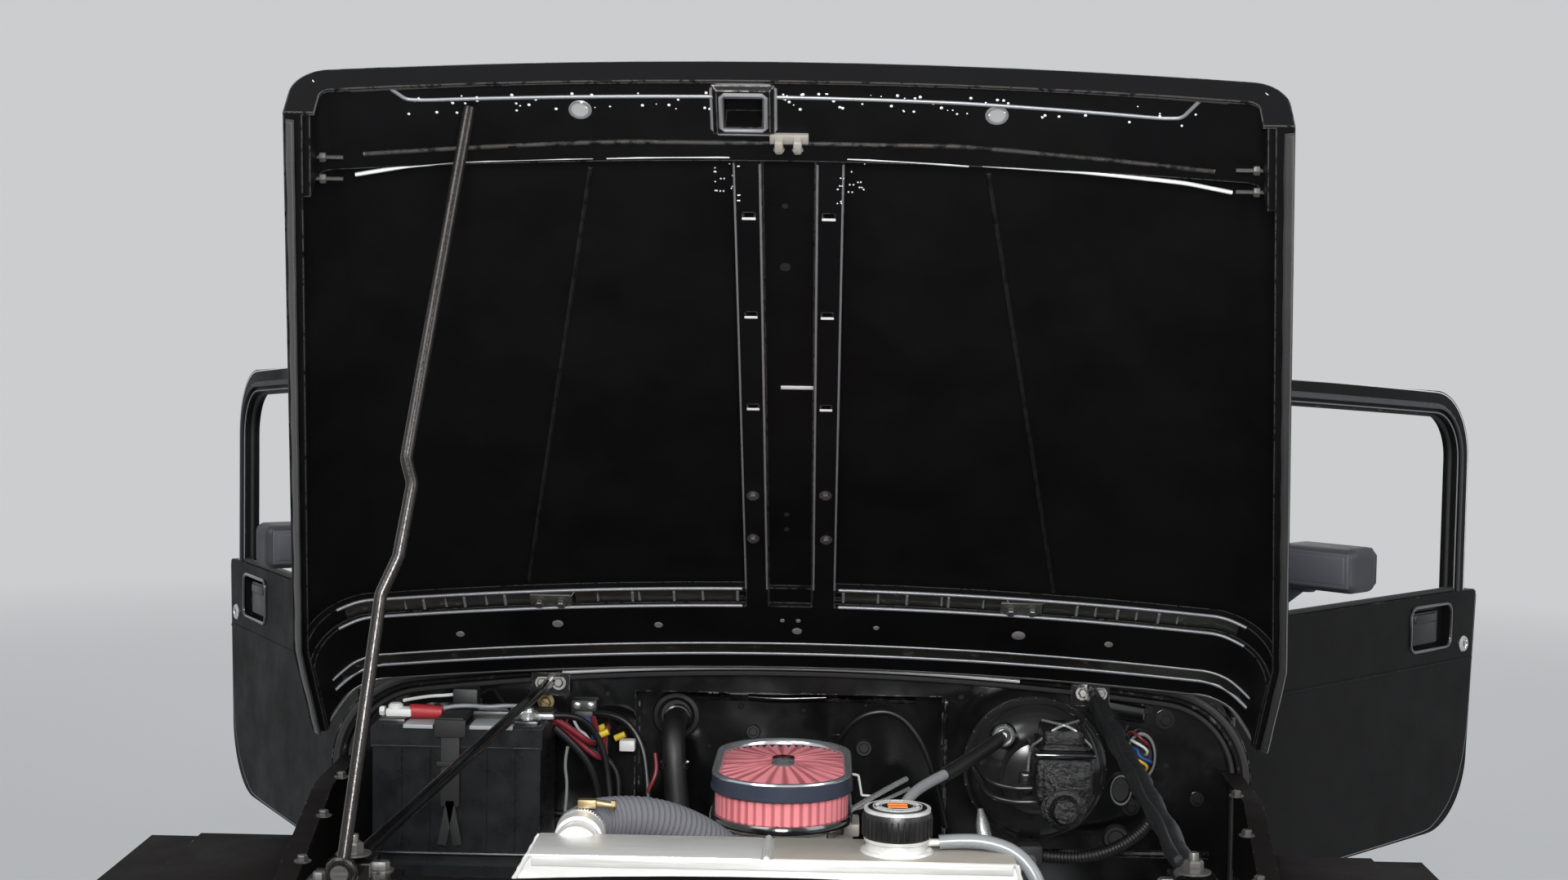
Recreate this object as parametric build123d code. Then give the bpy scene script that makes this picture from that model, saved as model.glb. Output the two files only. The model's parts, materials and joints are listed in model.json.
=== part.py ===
from build123d import *
import math
import os

# A short-wheelbase open off-road vehicle with its bonnet propped up and both doors open.
# Working frame, in millimetres: x to the vehicle's left, y to its rear, z up from the floor,
# with y = 0 on the bonnet's hinge line. Everything is moved to the part's own frame at export.
# Names say left and right as the driver sees them.

# Stance
wheelbase = 2375
track = 1430
tyre_radius = 390
tyre_width = 262
bonnet_length = 1154
grille_rear_y = -bonnet_length - 4
front_axle_y = -750
rear_axle_y = front_axle_y + wheelbase

# Wheels
rim_radius = 190
rim_width = 216
rim_wall = 7
tyre_wall = 13
lug_height = 14
lug_count = 20
wheel_hole_count = 8
wheel_hole_radius = 24
wheel_hole_circle = 122
spindle_radius = 22
running_gap = 0.3
seat_gap = 0.3

# Steering
kingpin_x = track / 2 - 140
kingpin_half = 62
yoke_thick = 20
knuckle_radius = 26
steer_arm = 150
brake_disc_radius = 138
brake_disc_thick = 22
tie_rod_radius = 13
axle_radius = 40
yoke_reach = 46
front_diff_x = -190
front_diff_radius = 118
rear_diff_radius = 130
pinion_radius = 46
pinion_long = 200
pinion_rise = 20
drum_radius = 132
drum_wide = 70
leaf_half = 30
leaf_pack = 22
front_leaf = 440
rear_leaf = 520

# Frame
rail_x = 352
rail_wide = 62
rail_high = 96
rail_front_y = grille_rear_y - 142
rail_rear_y = 2180
rail_low_z = 545
rail_axle_z = 590
rail_end_z = 560

rail_path = ((rail_front_y, rail_end_z), (front_axle_y - 290, rail_end_z), (front_axle_y - 140, rail_axle_z),
             (front_axle_y + 150, rail_axle_z), (front_axle_y + 410, rail_low_z), (rear_axle_y - 405, rail_low_z),
             (rear_axle_y - 185, rail_axle_z), (rear_axle_y + 195, rail_axle_z), (rear_axle_y + 315, rail_end_z),
             (rail_rear_y, rail_end_z))

# Body tub
tub_half = 757
tub_wall = 25
tub_rear_y = 2225
sill_z = 560
floor_z = 585
floor_thick = 20
rear_floor_z = 690
rear_floor_y = rear_axle_y - 460
belt_z = 1120
side_top_z = 1085
door_front_y = 431
door_rear_y = 1325
arch_reach = 404
arch_top_half = 212
arch_top_z = 840
wheel_box_foot = 340
wheel_box_half = 270
rear_low_z = 600
wheel_box_x = 500
wheel_box_top = 900
rear_panel_x = 445

# Cowl and bonnet cross-section
cowl_top_z = 1120
cowl_crown = 35
cowl_corner = 150
cowl_wall = 20
cowl_half = tub_half - 35
windscreen_y = 318
dash_y = 362
dash_thick = 24
bonnet_slope = 2.0
bonnet_open = 45.3
bonnet_lean = 58
bonnet_wall = 4
bonnet_lip = 36
bonnet_flange = 18
bonnet_gap = 8
bulkhead_y = 16
bulkhead_thick = 12
pocket_x = 255
pocket_y = 92
bonnet_hinge_x = 350
bonnet_hinge_half = 28
bonnet_hinge_radius = 8
bonnet_hinge_pin = 4
bonnet_hinge_y = 1
bonnet_hinge_z = 1115
# Bonnet sections: distance ahead of the hinge line, half width, crown, corner radius, skirt depth below the top
bonnet_sections = ((0, cowl_half, 35, 108, 160), (200, cowl_half - 5, 34, 106, 156),
                   (bonnet_length, 568, 26, 42, 104))

# Bonnet inner panels
front_panel_v = bonnet_length - 124
front_panel_deep = 26
rear_panel_v = 158
rear_panel_deep = 20
channel_deep = 20
channel_half = 66
channel_web_half = 32
channel_web_deep = 6
channel_slots = (bonnet_length - 216, bonnet_length - 385, bonnet_length - 558)
channel_slot = (14, 9)
hinge_strip_wide = 34
hinge_strip_deep = 12
hinge_strip_slots = (-200, -77, 77, 200)
hinge_strip_slot = (56, 18)
hinge_bump = (60, 30)
latch_collar = 36
latch_collar_high = 7
latch_hole = 44
latch_hole_x = -52
round_hole_radius = 11
round_hole_x = 242
hole_v = bonnet_length - 46
hook_v = bonnet_length - 36
hook_x = -368

# Doors
door_thick = 42
door_gap = 4
door_sill_z = 636
door_top_z = 1560
door_top_fall = 32
door_top_corner = 16
door_lean = 22
door_frame_wide = 46
door_frame_thick = 30
door_frame_back = 42
door_frame_lean = 14
door_frame_corner = 140
door_frame_root = 20
door_corner = 150
hinge_out = 12
hinge_radius = 9
hinge_pin = 5
hinge_heights = (720, 980)
door_open_left = 45.0
door_open_right = 31.6
handle_y = door_rear_y - 185
handle_half = 78
handle_low_z = 1010
handle_high_z = 1098
handle_deep = 16
paddle_inset = 12
paddle_long = 96
paddle_deep = 11
inner_trim_deep = 14
inner_trim = (door_front_y + 130, door_rear_y - 200, 700, 990)
mirror_back = 85
mirror_rise = 73
mirror_size = (150, 80, 78)
mirror_round = 16
mirror_arm = 12
# How far each mirror reaches beyond the body; the right one is folded in
mirror_out = {"left": 146, "right": 96}

# Grille and front wings
grille_top_z = 1078
grille_bottom_z = 590
grille_thick = 34
grille_half = 562
slot_count = 9
slot_wide = 34
slot_pitch = 62
slot_low_z = 690
slot_high_z = 960
headlamp_x = 415
headlamp_z = 890
headlamp_radius = 92
headlamp_deep = 40
side_lamp_z = 745
side_lamp_radius = 34
# Tail lamps: distance of the middle from the corner, depth, lowest and highest
tail_lamp = (75, 45, 860, 1000)
wing_outer = 800
wing_wall = 8
wing_skirt = 60
flare_outer = 868
inner_wing_top = 950
inner_wing_low = 800

# Engine bay, placed from the photograph
radiator_y = grille_rear_y + 203
radiator_half = 290
radiator_x = -10
radiator_top_z = 1056
radiator_core_thick = 58
radiator_tank_deep = 96
radiator_tank_high = 62
engine_front_y = -740
engine_rear_y = -140
hose_points = ((-224, radiator_y + 89, 1030), (-224, radiator_y + 128, 1034), (-120, radiator_y + 178, 1030),
               (-40, radiator_y + 255, 962), (-30, radiator_y + 315, 930))
cap_x = 137
cap_radius = 37
cap_high = 34
air_cleaner_y = -475
air_cleaner_long = 310
air_cleaner_wide = 186
air_cleaner_top = 1056
air_cleaner_high = 88
air_cleaner_base = 12
air_cleaner_rim = 16
air_cleaner_step = 7
battery_x = 270 - tub_half
battery_y = -120
battery_size = (254, 172, 205)
battery_top = 1040
battery_lid = 34
battery_ledge = 3
battery_rib_pitch = 42
battery_post_radius = 9
tray_lip = 14
booster_x = 374
booster_z = 972
booster_radius = 108
booster_deep = 118
booster_stand = 60
booster_crimp = 6
master_x = booster_x + 22
master_z = booster_z - 14
master_radius = 26
master_long = 150
master_nose = 14
master_flange = 52
reservoir_half = 40
reservoir_long = 114
reservoir_high = 66
reservoir_lid = 8
reservoir_dome = 30
valve_x = booster_x - 56
valve_z = booster_z + 66
valve_long = 44
heater_x = -180
heater_z = 1012
heater_radius = 18
vacuum_radius = 8
rocker_size = (500, 96, 62)
rocker_x = 196
rocker_z = 842
brace_radius = 8
brace_head_left = 467
brace_head_right = 375
brace_head_z = 1074
brace_foot_x = 455
brace_foot_z = 1046
brace_foot_y = grille_rear_y + 149
prop_radius = 7
prop_foot_y = grille_rear_y + 102
prop_pin = 4
prop_foot_x = -brace_foot_x - 2
prop_foot_z = brace_foot_z
prop_eye_half = 6
prop_lug_half = 10
shelf_z = 1030
shelf_thick = 10
prop_hook_deep = 47.9
prop_bend = 20
prop_eye = 12
# Bends of the rod: share of the way up, and how far aside of the straight line
prop_bends = ((0.345, -8), (0.394, 4.5), (0.489, 6.5), (0.521, -5))

# Cabin
windscreen_top_z = 1640
windscreen_rake = 12
windscreen_half = cowl_half - 16
windscreen_bar = 48
windscreen_thick = 34
windscreen_corner = 60
glass_thick = 6
exhaust_x = 215
exhaust_z = 440
exhaust_radius = 26
silencer_y = 1055
silencer_long = 275
silencer_radius = 68
roll_radius = 24
roll_half = tub_half - 147
roll_y = rear_axle_y - 238
roll_top_z = 1610
roll_bend = 130
roll_stay_foot = (roll_half - 20, rear_axle_y + 195)
seat_wide = 450
seat_deep = 470
seat_x = 345
seat_y = 875
seat_low = 700
seat_top = 830
seat_back_top = 1340
bench_y = 1560
bench_deep = 400
bench_low = 850
bench_top = 960
bench_back_top = 1300
steering_x = 345
steering_radius = 190
steering_rim = 14
column_radius = 26
column_pin = 10

# Rear
spare_x = 0
spare_gap = 60
spare_z = 950
tailgate_thick = 24.5
tailgate_hinge_x = -450
tailgate_hinges = (740, 1000)
bumper_high = 110
bumper_deep = 70
bumper_half = 690
bumper_wall = 8
hitch_hole_radius = 12.7

parts = {}
sides = (("left", 1), ("right", -1))


def block(x0, x1, y0, y1, z0, z1):
    """A box between two corners."""
    size = (abs(x1 - x0), abs(y1 - y0), abs(z1 - z0))
    return Pos((x0 + x1) / 2, (y0 + y1) / 2, (z0 + z1) / 2) * Box(*size)


def bar(start, end, radius):
    """A round bar from one point to another."""
    start, end = Vector(start), Vector(end)
    along = end - start
    return Part() + Solid.make_cylinder(radius, along.length, Plane(origin=start, z_dir=along))


def pipe(points, radius, bend):
    """A round bar or pipe along straight runs joined by arcs."""
    path = FilletPolyline(*points, radius=bend)
    section = Plane(origin=path @ 0, z_dir=path % 0) * Circle(radius)
    return sweep(section, path=path)


def side_shape(points, x0, x1):
    """A closed outline of (y, z) points, extruded across the vehicle."""
    face = make_face(Polyline(*points, close=True))
    low, high = min(x0, x1), max(x0, x1)
    return extrude(Plane.YZ.offset(low) * face, high - low)


def front_shape(points, y0, y1):
    """A closed outline of (x, z) points, extruded along the vehicle."""
    face = make_face(Polyline(*points, close=True))
    plane = Plane(origin=(0, y1, 0), x_dir=(1, 0, 0), z_dir=(0, -1, 0))
    return extrude(plane * face, y1 - y0)


def plan_shape(points, z0, z1):
    """A closed outline of (x, y) points, extruded upwards."""
    face = make_face(Polyline(*points, close=True))
    return extrude(Plane.XY.offset(z0) * face, z1 - z0)


def mirrored(shape):
    """The same shape on the other side of the vehicle."""
    return mirror(shape, about=Plane.YZ)


def arch_face(half, top, bottom, corner, crown, y):
    """The bonnet's and cowl's cross-section: a crowned top, round corners and upright sides."""
    shoulder = half - corner
    spring = top - crown
    turn = corner * math.sqrt(0.5)
    centre = spring - corner
    right = [(half, bottom), (half, centre)]
    edges = [
        Line(right[0], right[1]),
        ThreePointArc((half, centre), (shoulder + turn, centre + turn), (shoulder, spring)),
        ThreePointArc((shoulder, spring), (0, top), (-shoulder, spring)),
        ThreePointArc((-shoulder, spring), (-shoulder - turn, centre + turn), (-half, centre)),
        Line((-half, centre), (-half, bottom)),
        Line((-half, bottom), (half, bottom)),
    ]
    plane = Plane(origin=(0, y, 0), x_dir=(1, 0, 0), z_dir=(0, -1, 0))
    return plane * make_face(edges)


def bonnet_section(v):
    """Half width, crown, corner radius and skirt depth of the bonnet at a distance ahead of the hinge."""
    for near, far in zip(bonnet_sections, bonnet_sections[1:]):
        if v <= far[0] or far is bonnet_sections[-1]:
            share = (v - near[0]) / (far[0] - near[0])
            return [a + (b - a) * share for a, b in zip(near[1:], far[1:])]


def bonnet_solid(inset, below, v0, v1):
    """The bonnet's outline taken in by inset, from v0 to v1, with its underside below the skirt's edge."""
    stations = sorted({v0, v1} | {s[0] for s in bonnet_sections if v0 < s[0] < v1})
    faces = []
    for v in stations:
        half, crown, corner, skirt = bonnet_section(v)
        faces.append(arch_face(half - inset, -inset, -skirt - below, max(corner - inset, 12), crown, -v))
    return loft(faces, ruled=True)


def bonnet_outer_skin():
    """The pressed skin: crowned top, side skirts with an inward flange, and a shallow front lip."""
    outer = bonnet_solid(0, 0, 3, bonnet_length)
    cavity = bonnet_solid(bonnet_wall, -bonnet_wall, -1, bonnet_length - bonnet_wall)
    mouth = bonnet_solid(bonnet_wall + bonnet_flange, 1, -2, bonnet_length - bonnet_wall)
    front = bonnet_solid(bonnet_lip, 1, bonnet_length - bonnet_wall - 1, bonnet_length + 1)
    return outer - cavity - mouth - front


def bonnet_band(deep, v0, v1):
    """A layer of the given depth under the skin, from v0 to v1."""
    start = bonnet_wall + seat_gap
    whole = bonnet_solid(start, -bonnet_wall - seat_gap, v0, v1)
    return whole - bonnet_solid(start + deep, 1, v0 - 1, v1 + 1)


def bonnet_inner_panels():
    """The inner stampings: a front panel with its latch opening, a centre channel and a rear hinge panel."""
    lip_room = bonnet_length - bonnet_wall - seat_gap
    front = bonnet_band(front_panel_deep, front_panel_v, lip_room)
    rear = bonnet_band(rear_panel_deep, 2, rear_panel_v)
    strip_end = rear_panel_v + hinge_strip_wide
    strip = bonnet_band(hinge_strip_deep, rear_panel_v, strip_end)
    middle = bonnet_band(channel_deep, rear_panel_v, front_panel_v)
    channel = middle & block(-channel_half, channel_half, -front_panel_v, -rear_panel_v, -90, 0)
    web_top = -bonnet_wall - seat_gap - channel_web_deep
    channel -= block(-channel_web_half, channel_web_half, -front_panel_v, -rear_panel_v, web_top - 90, web_top)
    rib_x = (channel_half + channel_web_half) / 2
    wide, deep = channel_slot
    for v in channel_slots:
        for x in (-rib_x, rib_x):
            channel -= block(x - wide / 2, x + wide / 2, -v - deep / 2, -v + deep / 2, -90, web_top)
    strip_v = rear_panel_v + hinge_strip_wide / 2
    strip_low = -bonnet_wall - seat_gap - hinge_strip_deep
    wide, deep = hinge_strip_slot
    for x in hinge_strip_slots:
        strip -= block(x - wide / 2, x + wide / 2, -strip_v - deep / 2, -strip_v + deep / 2, -90, strip_low + 5)
    wide, deep = hinge_bump
    for x in (-bonnet_hinge_x, bonnet_hinge_x):
        crown = bonnet_section(strip_v)[1] * (x / cowl_half) ** 2
        bump = block(x - wide / 2, x + wide / 2, -strip_v - deep / 2, -strip_v + deep / 2,
                     strip_low - crown - 8, strip_low - crown + 6)
        strip += chamfer(bump.edges().group_by(Axis.Z)[0], 6)
    panels = front + rear + strip + channel
    hole = latch_hole / 2
    low = -bonnet_wall - seat_gap - front_panel_deep
    collar = block(latch_hole_x - latch_collar, latch_hole_x + latch_collar, -hole_v - latch_collar,
                   -hole_v + latch_collar, low - latch_collar_high, low + 6)
    panels += chamfer(collar.edges().group_by(Axis.Z)[0], 5)
    panels -= block(latch_hole_x - hole, latch_hole_x + hole, -hole_v - hole, -hole_v + hole, -90, 0)
    for x in (-round_hole_x, round_hole_x):
        panels -= bar((x, -hole_v, -90), (x, -hole_v, 0), round_hole_radius)
    return panels


def on_bonnet(shape):
    """Moves a shape from the bonnet's own flat frame to its propped place."""
    return Pos(0, 0, cowl_top_z) * Rot(-bonnet_open, 0, 0) * shape


def bonnet_point(x, v, w):
    """A point on the propped bonnet: x across, v ahead of the hinge, w below the top."""
    angle = math.radians(bonnet_open)
    y = -v * math.cos(angle) - w * math.sin(angle)
    z = cowl_top_z + v * math.sin(angle) - w * math.cos(angle)
    return (x, y, z)


def bonnet_hinge_fixed(x):
    """The cowl's half of a bonnet hinge: a leaf, two knuckles and the pin."""
    y, z, half = bonnet_hinge_y, bonnet_hinge_z, bonnet_hinge_half
    leaf = block(x - half, x + half, bonnet_gap + 4, 60, z - 12, z - 2)
    for x0 in (x - half, x + half / 2):
        leaf += bar((x0, y, z), (x0 + half / 2, y, z), bonnet_hinge_radius)
        leaf += block(x0, x0 + half / 2, y, 20, z - 4, z + 4)
    return leaf + bar((x - half, y, z), (x + half, y, z), bonnet_hinge_pin)


def bonnet_hinge_moving(x):
    """The bonnet's half of a bonnet hinge: one knuckle on a leaf that lies on the skin."""
    half = bonnet_hinge_half / 2 - seat_gap
    axis = on_bonnet_frame(bonnet_hinge_y, bonnet_hinge_z)
    barrel = Pos(x, -axis[0], -axis[1]) * Rot(0, 90, 0) * Cylinder(bonnet_hinge_radius, 2 * half)
    leaf = block(x - half, x + half, -60, -axis[0] - 4, -14, -7)
    hole = Pos(x, -axis[0], -axis[1]) * Rot(0, 90, 0) * Cylinder(bonnet_hinge_pin + running_gap, 4 * half)
    return barrel + leaf - hole


def on_bonnet_frame(y, z):
    """A point in the vehicle's frame as distances ahead of the hinge line and below the bonnet's top."""
    angle = math.radians(bonnet_open)
    rise = z - cowl_top_z
    return (-y * math.cos(angle) + rise * math.sin(angle), -y * math.sin(angle) - rise * math.cos(angle))


def make_bonnet():
    """The bonnet and the panels welded inside it."""
    skin = bonnet_outer_skin()
    for x in (-bonnet_hinge_x, bonnet_hinge_x):
        skin += bonnet_hinge_moving(x)
    parts["bonnet"] = on_bonnet(skin)
    parts["bonnet_inner"] = on_bonnet(bonnet_inner_panels())


def make_cowl():
    """The box ahead of the windscreen: arched top, sides to the door openings, and the bulkhead."""
    rear_half = tub_half - 1
    depth = door_front_y
    front = bonnet_gap
    outer = loft([arch_face(cowl_half, cowl_top_z, sill_z, cowl_corner, cowl_crown, front),
                  arch_face(rear_half, cowl_top_z, sill_z, cowl_corner, cowl_crown, depth)], ruled=True)
    inside = loft([arch_face(cowl_half - cowl_wall, cowl_top_z - cowl_wall, sill_z - 1,
                             cowl_corner - cowl_wall, cowl_crown, front - 1),
                   arch_face(rear_half - cowl_wall, cowl_top_z - cowl_wall, sill_z - 1,
                             cowl_corner - cowl_wall, cowl_crown, depth + 1)], ruled=True)
    shell = outer - inside
    shell -= block(-tub_half, tub_half, dash_y + dash_thick + 4, depth + 1, side_top_z, cowl_top_z + 1)
    shell -= block(-tub_half + 60, tub_half - 60, dash_y + dash_thick + 4, depth + 1, 900, cowl_top_z)
    bulkhead = inside & block(-tub_half, tub_half, bulkhead_y, bulkhead_y + bulkhead_thick, floor_z + floor_thick, cowl_top_z)
    pocket = block(-pocket_x, pocket_x, bulkhead_y, pocket_y, floor_z + 100, 1070)
    pocket -= block(-pocket_x + 12, pocket_x - 12, bulkhead_y - 1, pocket_y - bulkhead_thick, floor_z + 99, 1058)
    opening = block(-pocket_x + 12, pocket_x - 12, bulkhead_y - 1, pocket_y - bulkhead_thick, floor_z, 1058)
    cowl = shell + (bulkhead - opening) + pocket
    for x in (-bonnet_hinge_x, bonnet_hinge_x):
        cowl += bonnet_hinge_fixed(x)
    for z in hinge_heights:
        lug = block(tub_half - 14, tub_half + hinge_out, door_front_y - 34, door_front_y - 8, z - 41, z - 20.3)
        lug += block(tub_half, tub_half + hinge_out, door_front_y - 12, door_front_y, z - 41, z - 20.3)
        lug += bar((tub_half + hinge_out, door_front_y, z - 41), (tub_half + hinge_out, door_front_y, z - 20.3),
                   hinge_radius)
        lug += bar((tub_half + hinge_out, door_front_y, z - 22), (tub_half + hinge_out, door_front_y, z + 4),
                   hinge_pin)
        cowl += lug + mirrored(lug)
    parts["cowl"] = cowl


def make_floor():
    """The cabin floor: toe board, flat front floor, raised rear floor and the gearbox hump."""
    top, low = floor_z + floor_thick, floor_z
    rise = rear_floor_z
    thick = floor_thick
    outline = [(30, 760), (30, 735), (210, low), (rear_floor_y, low), (rear_floor_y, rise - thick),
               (tub_rear_y - tub_wall, rise - thick), (tub_rear_y - tub_wall, rise),
               (rear_floor_y - thick, rise), (rear_floor_y - thick, top), (222, top), (50, 760)]
    half = tub_half - tub_wall - seat_gap
    narrow = cowl_half - cowl_wall - seat_gap
    well = wheel_box_x - seat_gap
    well_front, well_rear = rear_axle_y - wheel_box_foot - seat_gap, rear_axle_y + wheel_box_foot + seat_gap
    plan = [(narrow, 20), (half, door_front_y), (half, well_front), (well, well_front), (well, well_rear),
            (half, well_rear), (half, tub_rear_y)]
    plan += [(-x, y) for x, y in plan[::-1]]
    floor = side_shape(outline, -half, half) & plan_shape(plan, low - 1, 800)
    hump_y = 640
    wide, top_wide, hump_top = 190, 140, 700
    hump = front_shape([(-wide, low), (-top_wide, hump_top), (top_wide, hump_top), (wide, low)], pocket_y + seat_gap, hump_y)
    inner_wide = wide - 18
    void = front_shape([(-inner_wide, low - 1), (-top_wide + 14, hump_top - 16),
                        (top_wide - 14, hump_top - 16), (inner_wide, low - 1)], 20, hump_y - 16)
    cut = block(-pocket_x - seat_gap, pocket_x + seat_gap, 0, pocket_y + seat_gap, low, 800)
    door_room = block(tub_half - door_thick - door_gap, half + 1, door_front_y, door_rear_y,
                      door_sill_z - door_gap, rise + 1)
    parts["floor"] = floor + hump - void - cut - door_room - mirrored(door_room)


def wheel_box_outline(inset, low):
    """The wheel box's side outline, narrower at the top, taken in by inset."""
    foot, half, top = wheel_box_foot - inset, wheel_box_half - inset, wheel_box_top - inset
    y = rear_axle_y
    return [(y - foot, low), (y - half, top), (y + half, top), (y + foot, low)]


def make_side(name, side):
    """One side of the tub: sill, door opening, quarter panel, wheel box, top rail and rear corner."""
    inner = tub_half - tub_wall
    y = rear_axle_y
    rise = (rear_low_z - sill_z) / (arch_top_z - sill_z)
    rear_reach = arch_reach - (arch_reach - arch_top_half) * rise
    outline = [(door_front_y + 1, sill_z), (door_front_y + 1, side_top_z), (tub_rear_y, side_top_z),
               (tub_rear_y, rear_low_z), (y + rear_reach, rear_low_z), (y + arch_top_half, arch_top_z),
               (y - arch_top_half, arch_top_z), (y - arch_reach, sill_z)]
    panel = side_shape(outline, inner, tub_half)
    panel -= extrude(Plane.YZ.offset(inner - 1) * door_outline(door_gap), tub_wall + 2)
    box = side_shape(wheel_box_outline(0, rear_floor_z), wheel_box_x, inner)
    hollow = side_shape(wheel_box_outline(14, rear_floor_z - 30), wheel_box_x + 14, inner)
    rail = block(inner - 30, inner, door_rear_y, tub_rear_y, side_top_z - 34, side_top_z)
    corner = block(rear_panel_x, inner, tub_rear_y - tub_wall, tub_rear_y, rear_low_z, side_top_z)
    whole = panel + (box - hollow) + rail + corner
    if side < 0:
        for z in tailgate_hinges:
            y, x = tub_rear_y + 9, -tailgate_hinge_x
            whole += block(x + 3, x + 70, tub_rear_y - 1, tub_rear_y + 8, z - 41, z - 20.3)
            whole += bar((x, y, z - 41), (x, y, z - 20.3), hinge_radius)
            whole += bar((x, y, z - 22), (x, y, z - 1), hinge_pin)
    parts["side_" + name] = whole if side > 0 else mirrored(whole)


def door_outline(grow):
    """The door's lower panel as seen from the side, or its opening when grown by the gap."""
    front, rear = door_front_y + door_gap - grow, door_rear_y - door_gap + grow
    low, top = door_sill_z - grow, belt_z + grow
    lean = door_lean
    turn = door_corner + grow
    start = (rear - lean, low + turn)
    middle = (rear - lean - turn * (1 - math.sqrt(0.5)), low + turn * (1 - math.sqrt(0.5)))
    end = (rear - lean - turn, low)
    return make_face([
        Line((front, low), (front, top)),
        Line((front, top), (rear, top)),
        Line((rear, top), start),
        ThreePointArc(start, middle, end),
        Line(end, (front, low)),
    ])


def window_outline(inset):
    """The window frame's side outline, taken in by inset; its top falls a little towards the rear."""
    front = door_front_y + door_gap + 6 + inset
    rear = door_rear_y - door_gap - door_frame_back - inset
    top, low, turn = door_top_z - inset, belt_z - door_frame_root - inset / 2, door_frame_corner - inset
    side = turn * (1 - math.sqrt(0.5))
    rear_top = top - door_top_fall
    return make_face([
        Line((front, low), (front + door_frame_lean, top)),
        Line((front + door_frame_lean, top), (rear - turn, rear_top)),
        ThreePointArc((rear - turn, rear_top), (rear - side, rear_top - side), (rear, rear_top - turn)),
        Line((rear, rear_top - turn), (rear, low)),
        Line((rear, low), (front, low)),
    ])


def door_frame():
    """The window frame above the door's belt, one ring open at the belt."""
    low = tub_half - (door_thick + door_frame_thick) / 2
    ring = extrude(Plane.YZ.offset(low) * window_outline(0), door_frame_thick)
    return ring - extrude(Plane.YZ.offset(low - 1) * window_outline(door_frame_wide), door_frame_thick + 2)


def door_place(side):
    """The turn that opens a left-hand door about its hinge line, then mirrors it if it is the right one."""
    angle = door_open_left if side > 0 else door_open_right
    pivot = Pos(tub_half + hinge_out, door_front_y, 0)
    return pivot * Rot(0, 0, -angle) * pivot.inverse()


def make_door(name, side):
    """A full steel door with its window frame, handle recess, hinge leaves and a mirror."""
    place = door_place(side)
    low = tub_half - door_thick
    panel = extrude(Plane.YZ.offset(low) * door_outline(0), door_thick)
    corners = panel.edges().filter_by(Axis.X).group_by(Axis.Z)[-1]
    panel = fillet(corners.sort_by(Axis.Y)[-1], door_top_corner)
    recess = tub_half - handle_deep
    handle = block(recess, tub_half + 1, handle_y - handle_half, handle_y + handle_half, handle_low_z, handle_high_z)
    trim = block(low - 1, low + inner_trim_deep, *inner_trim)
    shell = panel - handle - trim + door_frame()
    shell += block(recess, recess + paddle_deep, handle_y - handle_half + paddle_inset,
                   handle_y - handle_half + paddle_inset + paddle_long, handle_low_z + paddle_inset,
                   handle_high_z - paddle_inset)
    for z in hinge_heights:
        shell += block(tub_half - 6, tub_half + 5, door_front_y + 16, door_front_y + 120, z - 20, z)
        shell += bar((tub_half + hinge_out, door_front_y, z - 20), (tub_half + hinge_out, door_front_y, z),
                     hinge_radius)
        shell += block(tub_half + 1, tub_half + hinge_out + 5, door_front_y + 2, door_front_y + 30, z - 20, z)
        shell -= bar((tub_half + hinge_out, door_front_y, z - 21), (tub_half + hinge_out, door_front_y, z + 5),
                     hinge_pin + running_gap)
    long, deep, high = mirror_size
    y = door_front_y + mirror_back
    x = tub_half + mirror_out[name]
    z = belt_z + mirror_rise
    head = block(x - long / 2, x + long / 2, y - deep / 2, y + deep / 2, z, z + high)
    head = fillet(head.edges(), mirror_round)
    arm = bar((tub_half - 20, y, belt_z - 12), (x - 30, y, z + 20), mirror_arm)
    arm += block(tub_half - 34, tub_half + 8, y - 30, y + 30, belt_z - 30, belt_z + 4)
    mirror_piece = head + arm - panel
    for key, shape in (("door_" + name, shell), ("mirror_" + name, mirror_piece - shell)):
        moved = place * shape
        parts[key] = moved if side > 0 else mirrored(moved)


def make_grille():
    """The flat front panel with plain upright slots and two round lamp openings."""
    plate = extrude(arch_face(grille_half, grille_top_z, grille_bottom_z, 66, 26, grille_rear_y),
                    grille_thick)
    for i in range(slot_count):
        x = (i - (slot_count - 1) / 2) * slot_pitch
        hole = block(x - slot_wide / 2, x + slot_wide / 2, -bonnet_length - 60, -bonnet_length, slot_low_z,
                     slot_high_z)
        plate -= fillet(hole.edges().filter_by(Axis.Y), slot_wide / 2 - 1)
    for x in (-headlamp_x, headlamp_x):
        plate -= bar((x, -bonnet_length - 60, headlamp_z), (x, -bonnet_length, headlamp_z), headlamp_radius)
    shelf_end, low = grille_half - 60, shelf_z - shelf_thick
    shelf = block(-shelf_end, shelf_end, grille_rear_y - 1, radiator_y - radiator_tank_deep / 2 - seat_gap,
                  low, shelf_z)
    for side in (-1, 1):
        shelf += block(side * (brace_foot_x - 50), side * shelf_end, brace_foot_y - 31, brace_foot_y + 30, low, shelf_z)
    foot_x, z = prop_foot_x, prop_foot_z
    near = prop_eye_half + seat_gap
    shelf += block(foot_x - prop_lug_half, foot_x + prop_lug_half, prop_foot_y + near, prop_foot_y + 13, shelf_z - 1,
                   z + prop_lug_half)
    shelf += bar((foot_x, prop_foot_y + 10, z), (foot_x, prop_foot_y - 9, z), prop_pin)
    shelf += bar((foot_x, prop_foot_y - near, z), (foot_x, prop_foot_y - 10, z), 2 * prop_pin)
    parts["grille"] = plate + shelf


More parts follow.
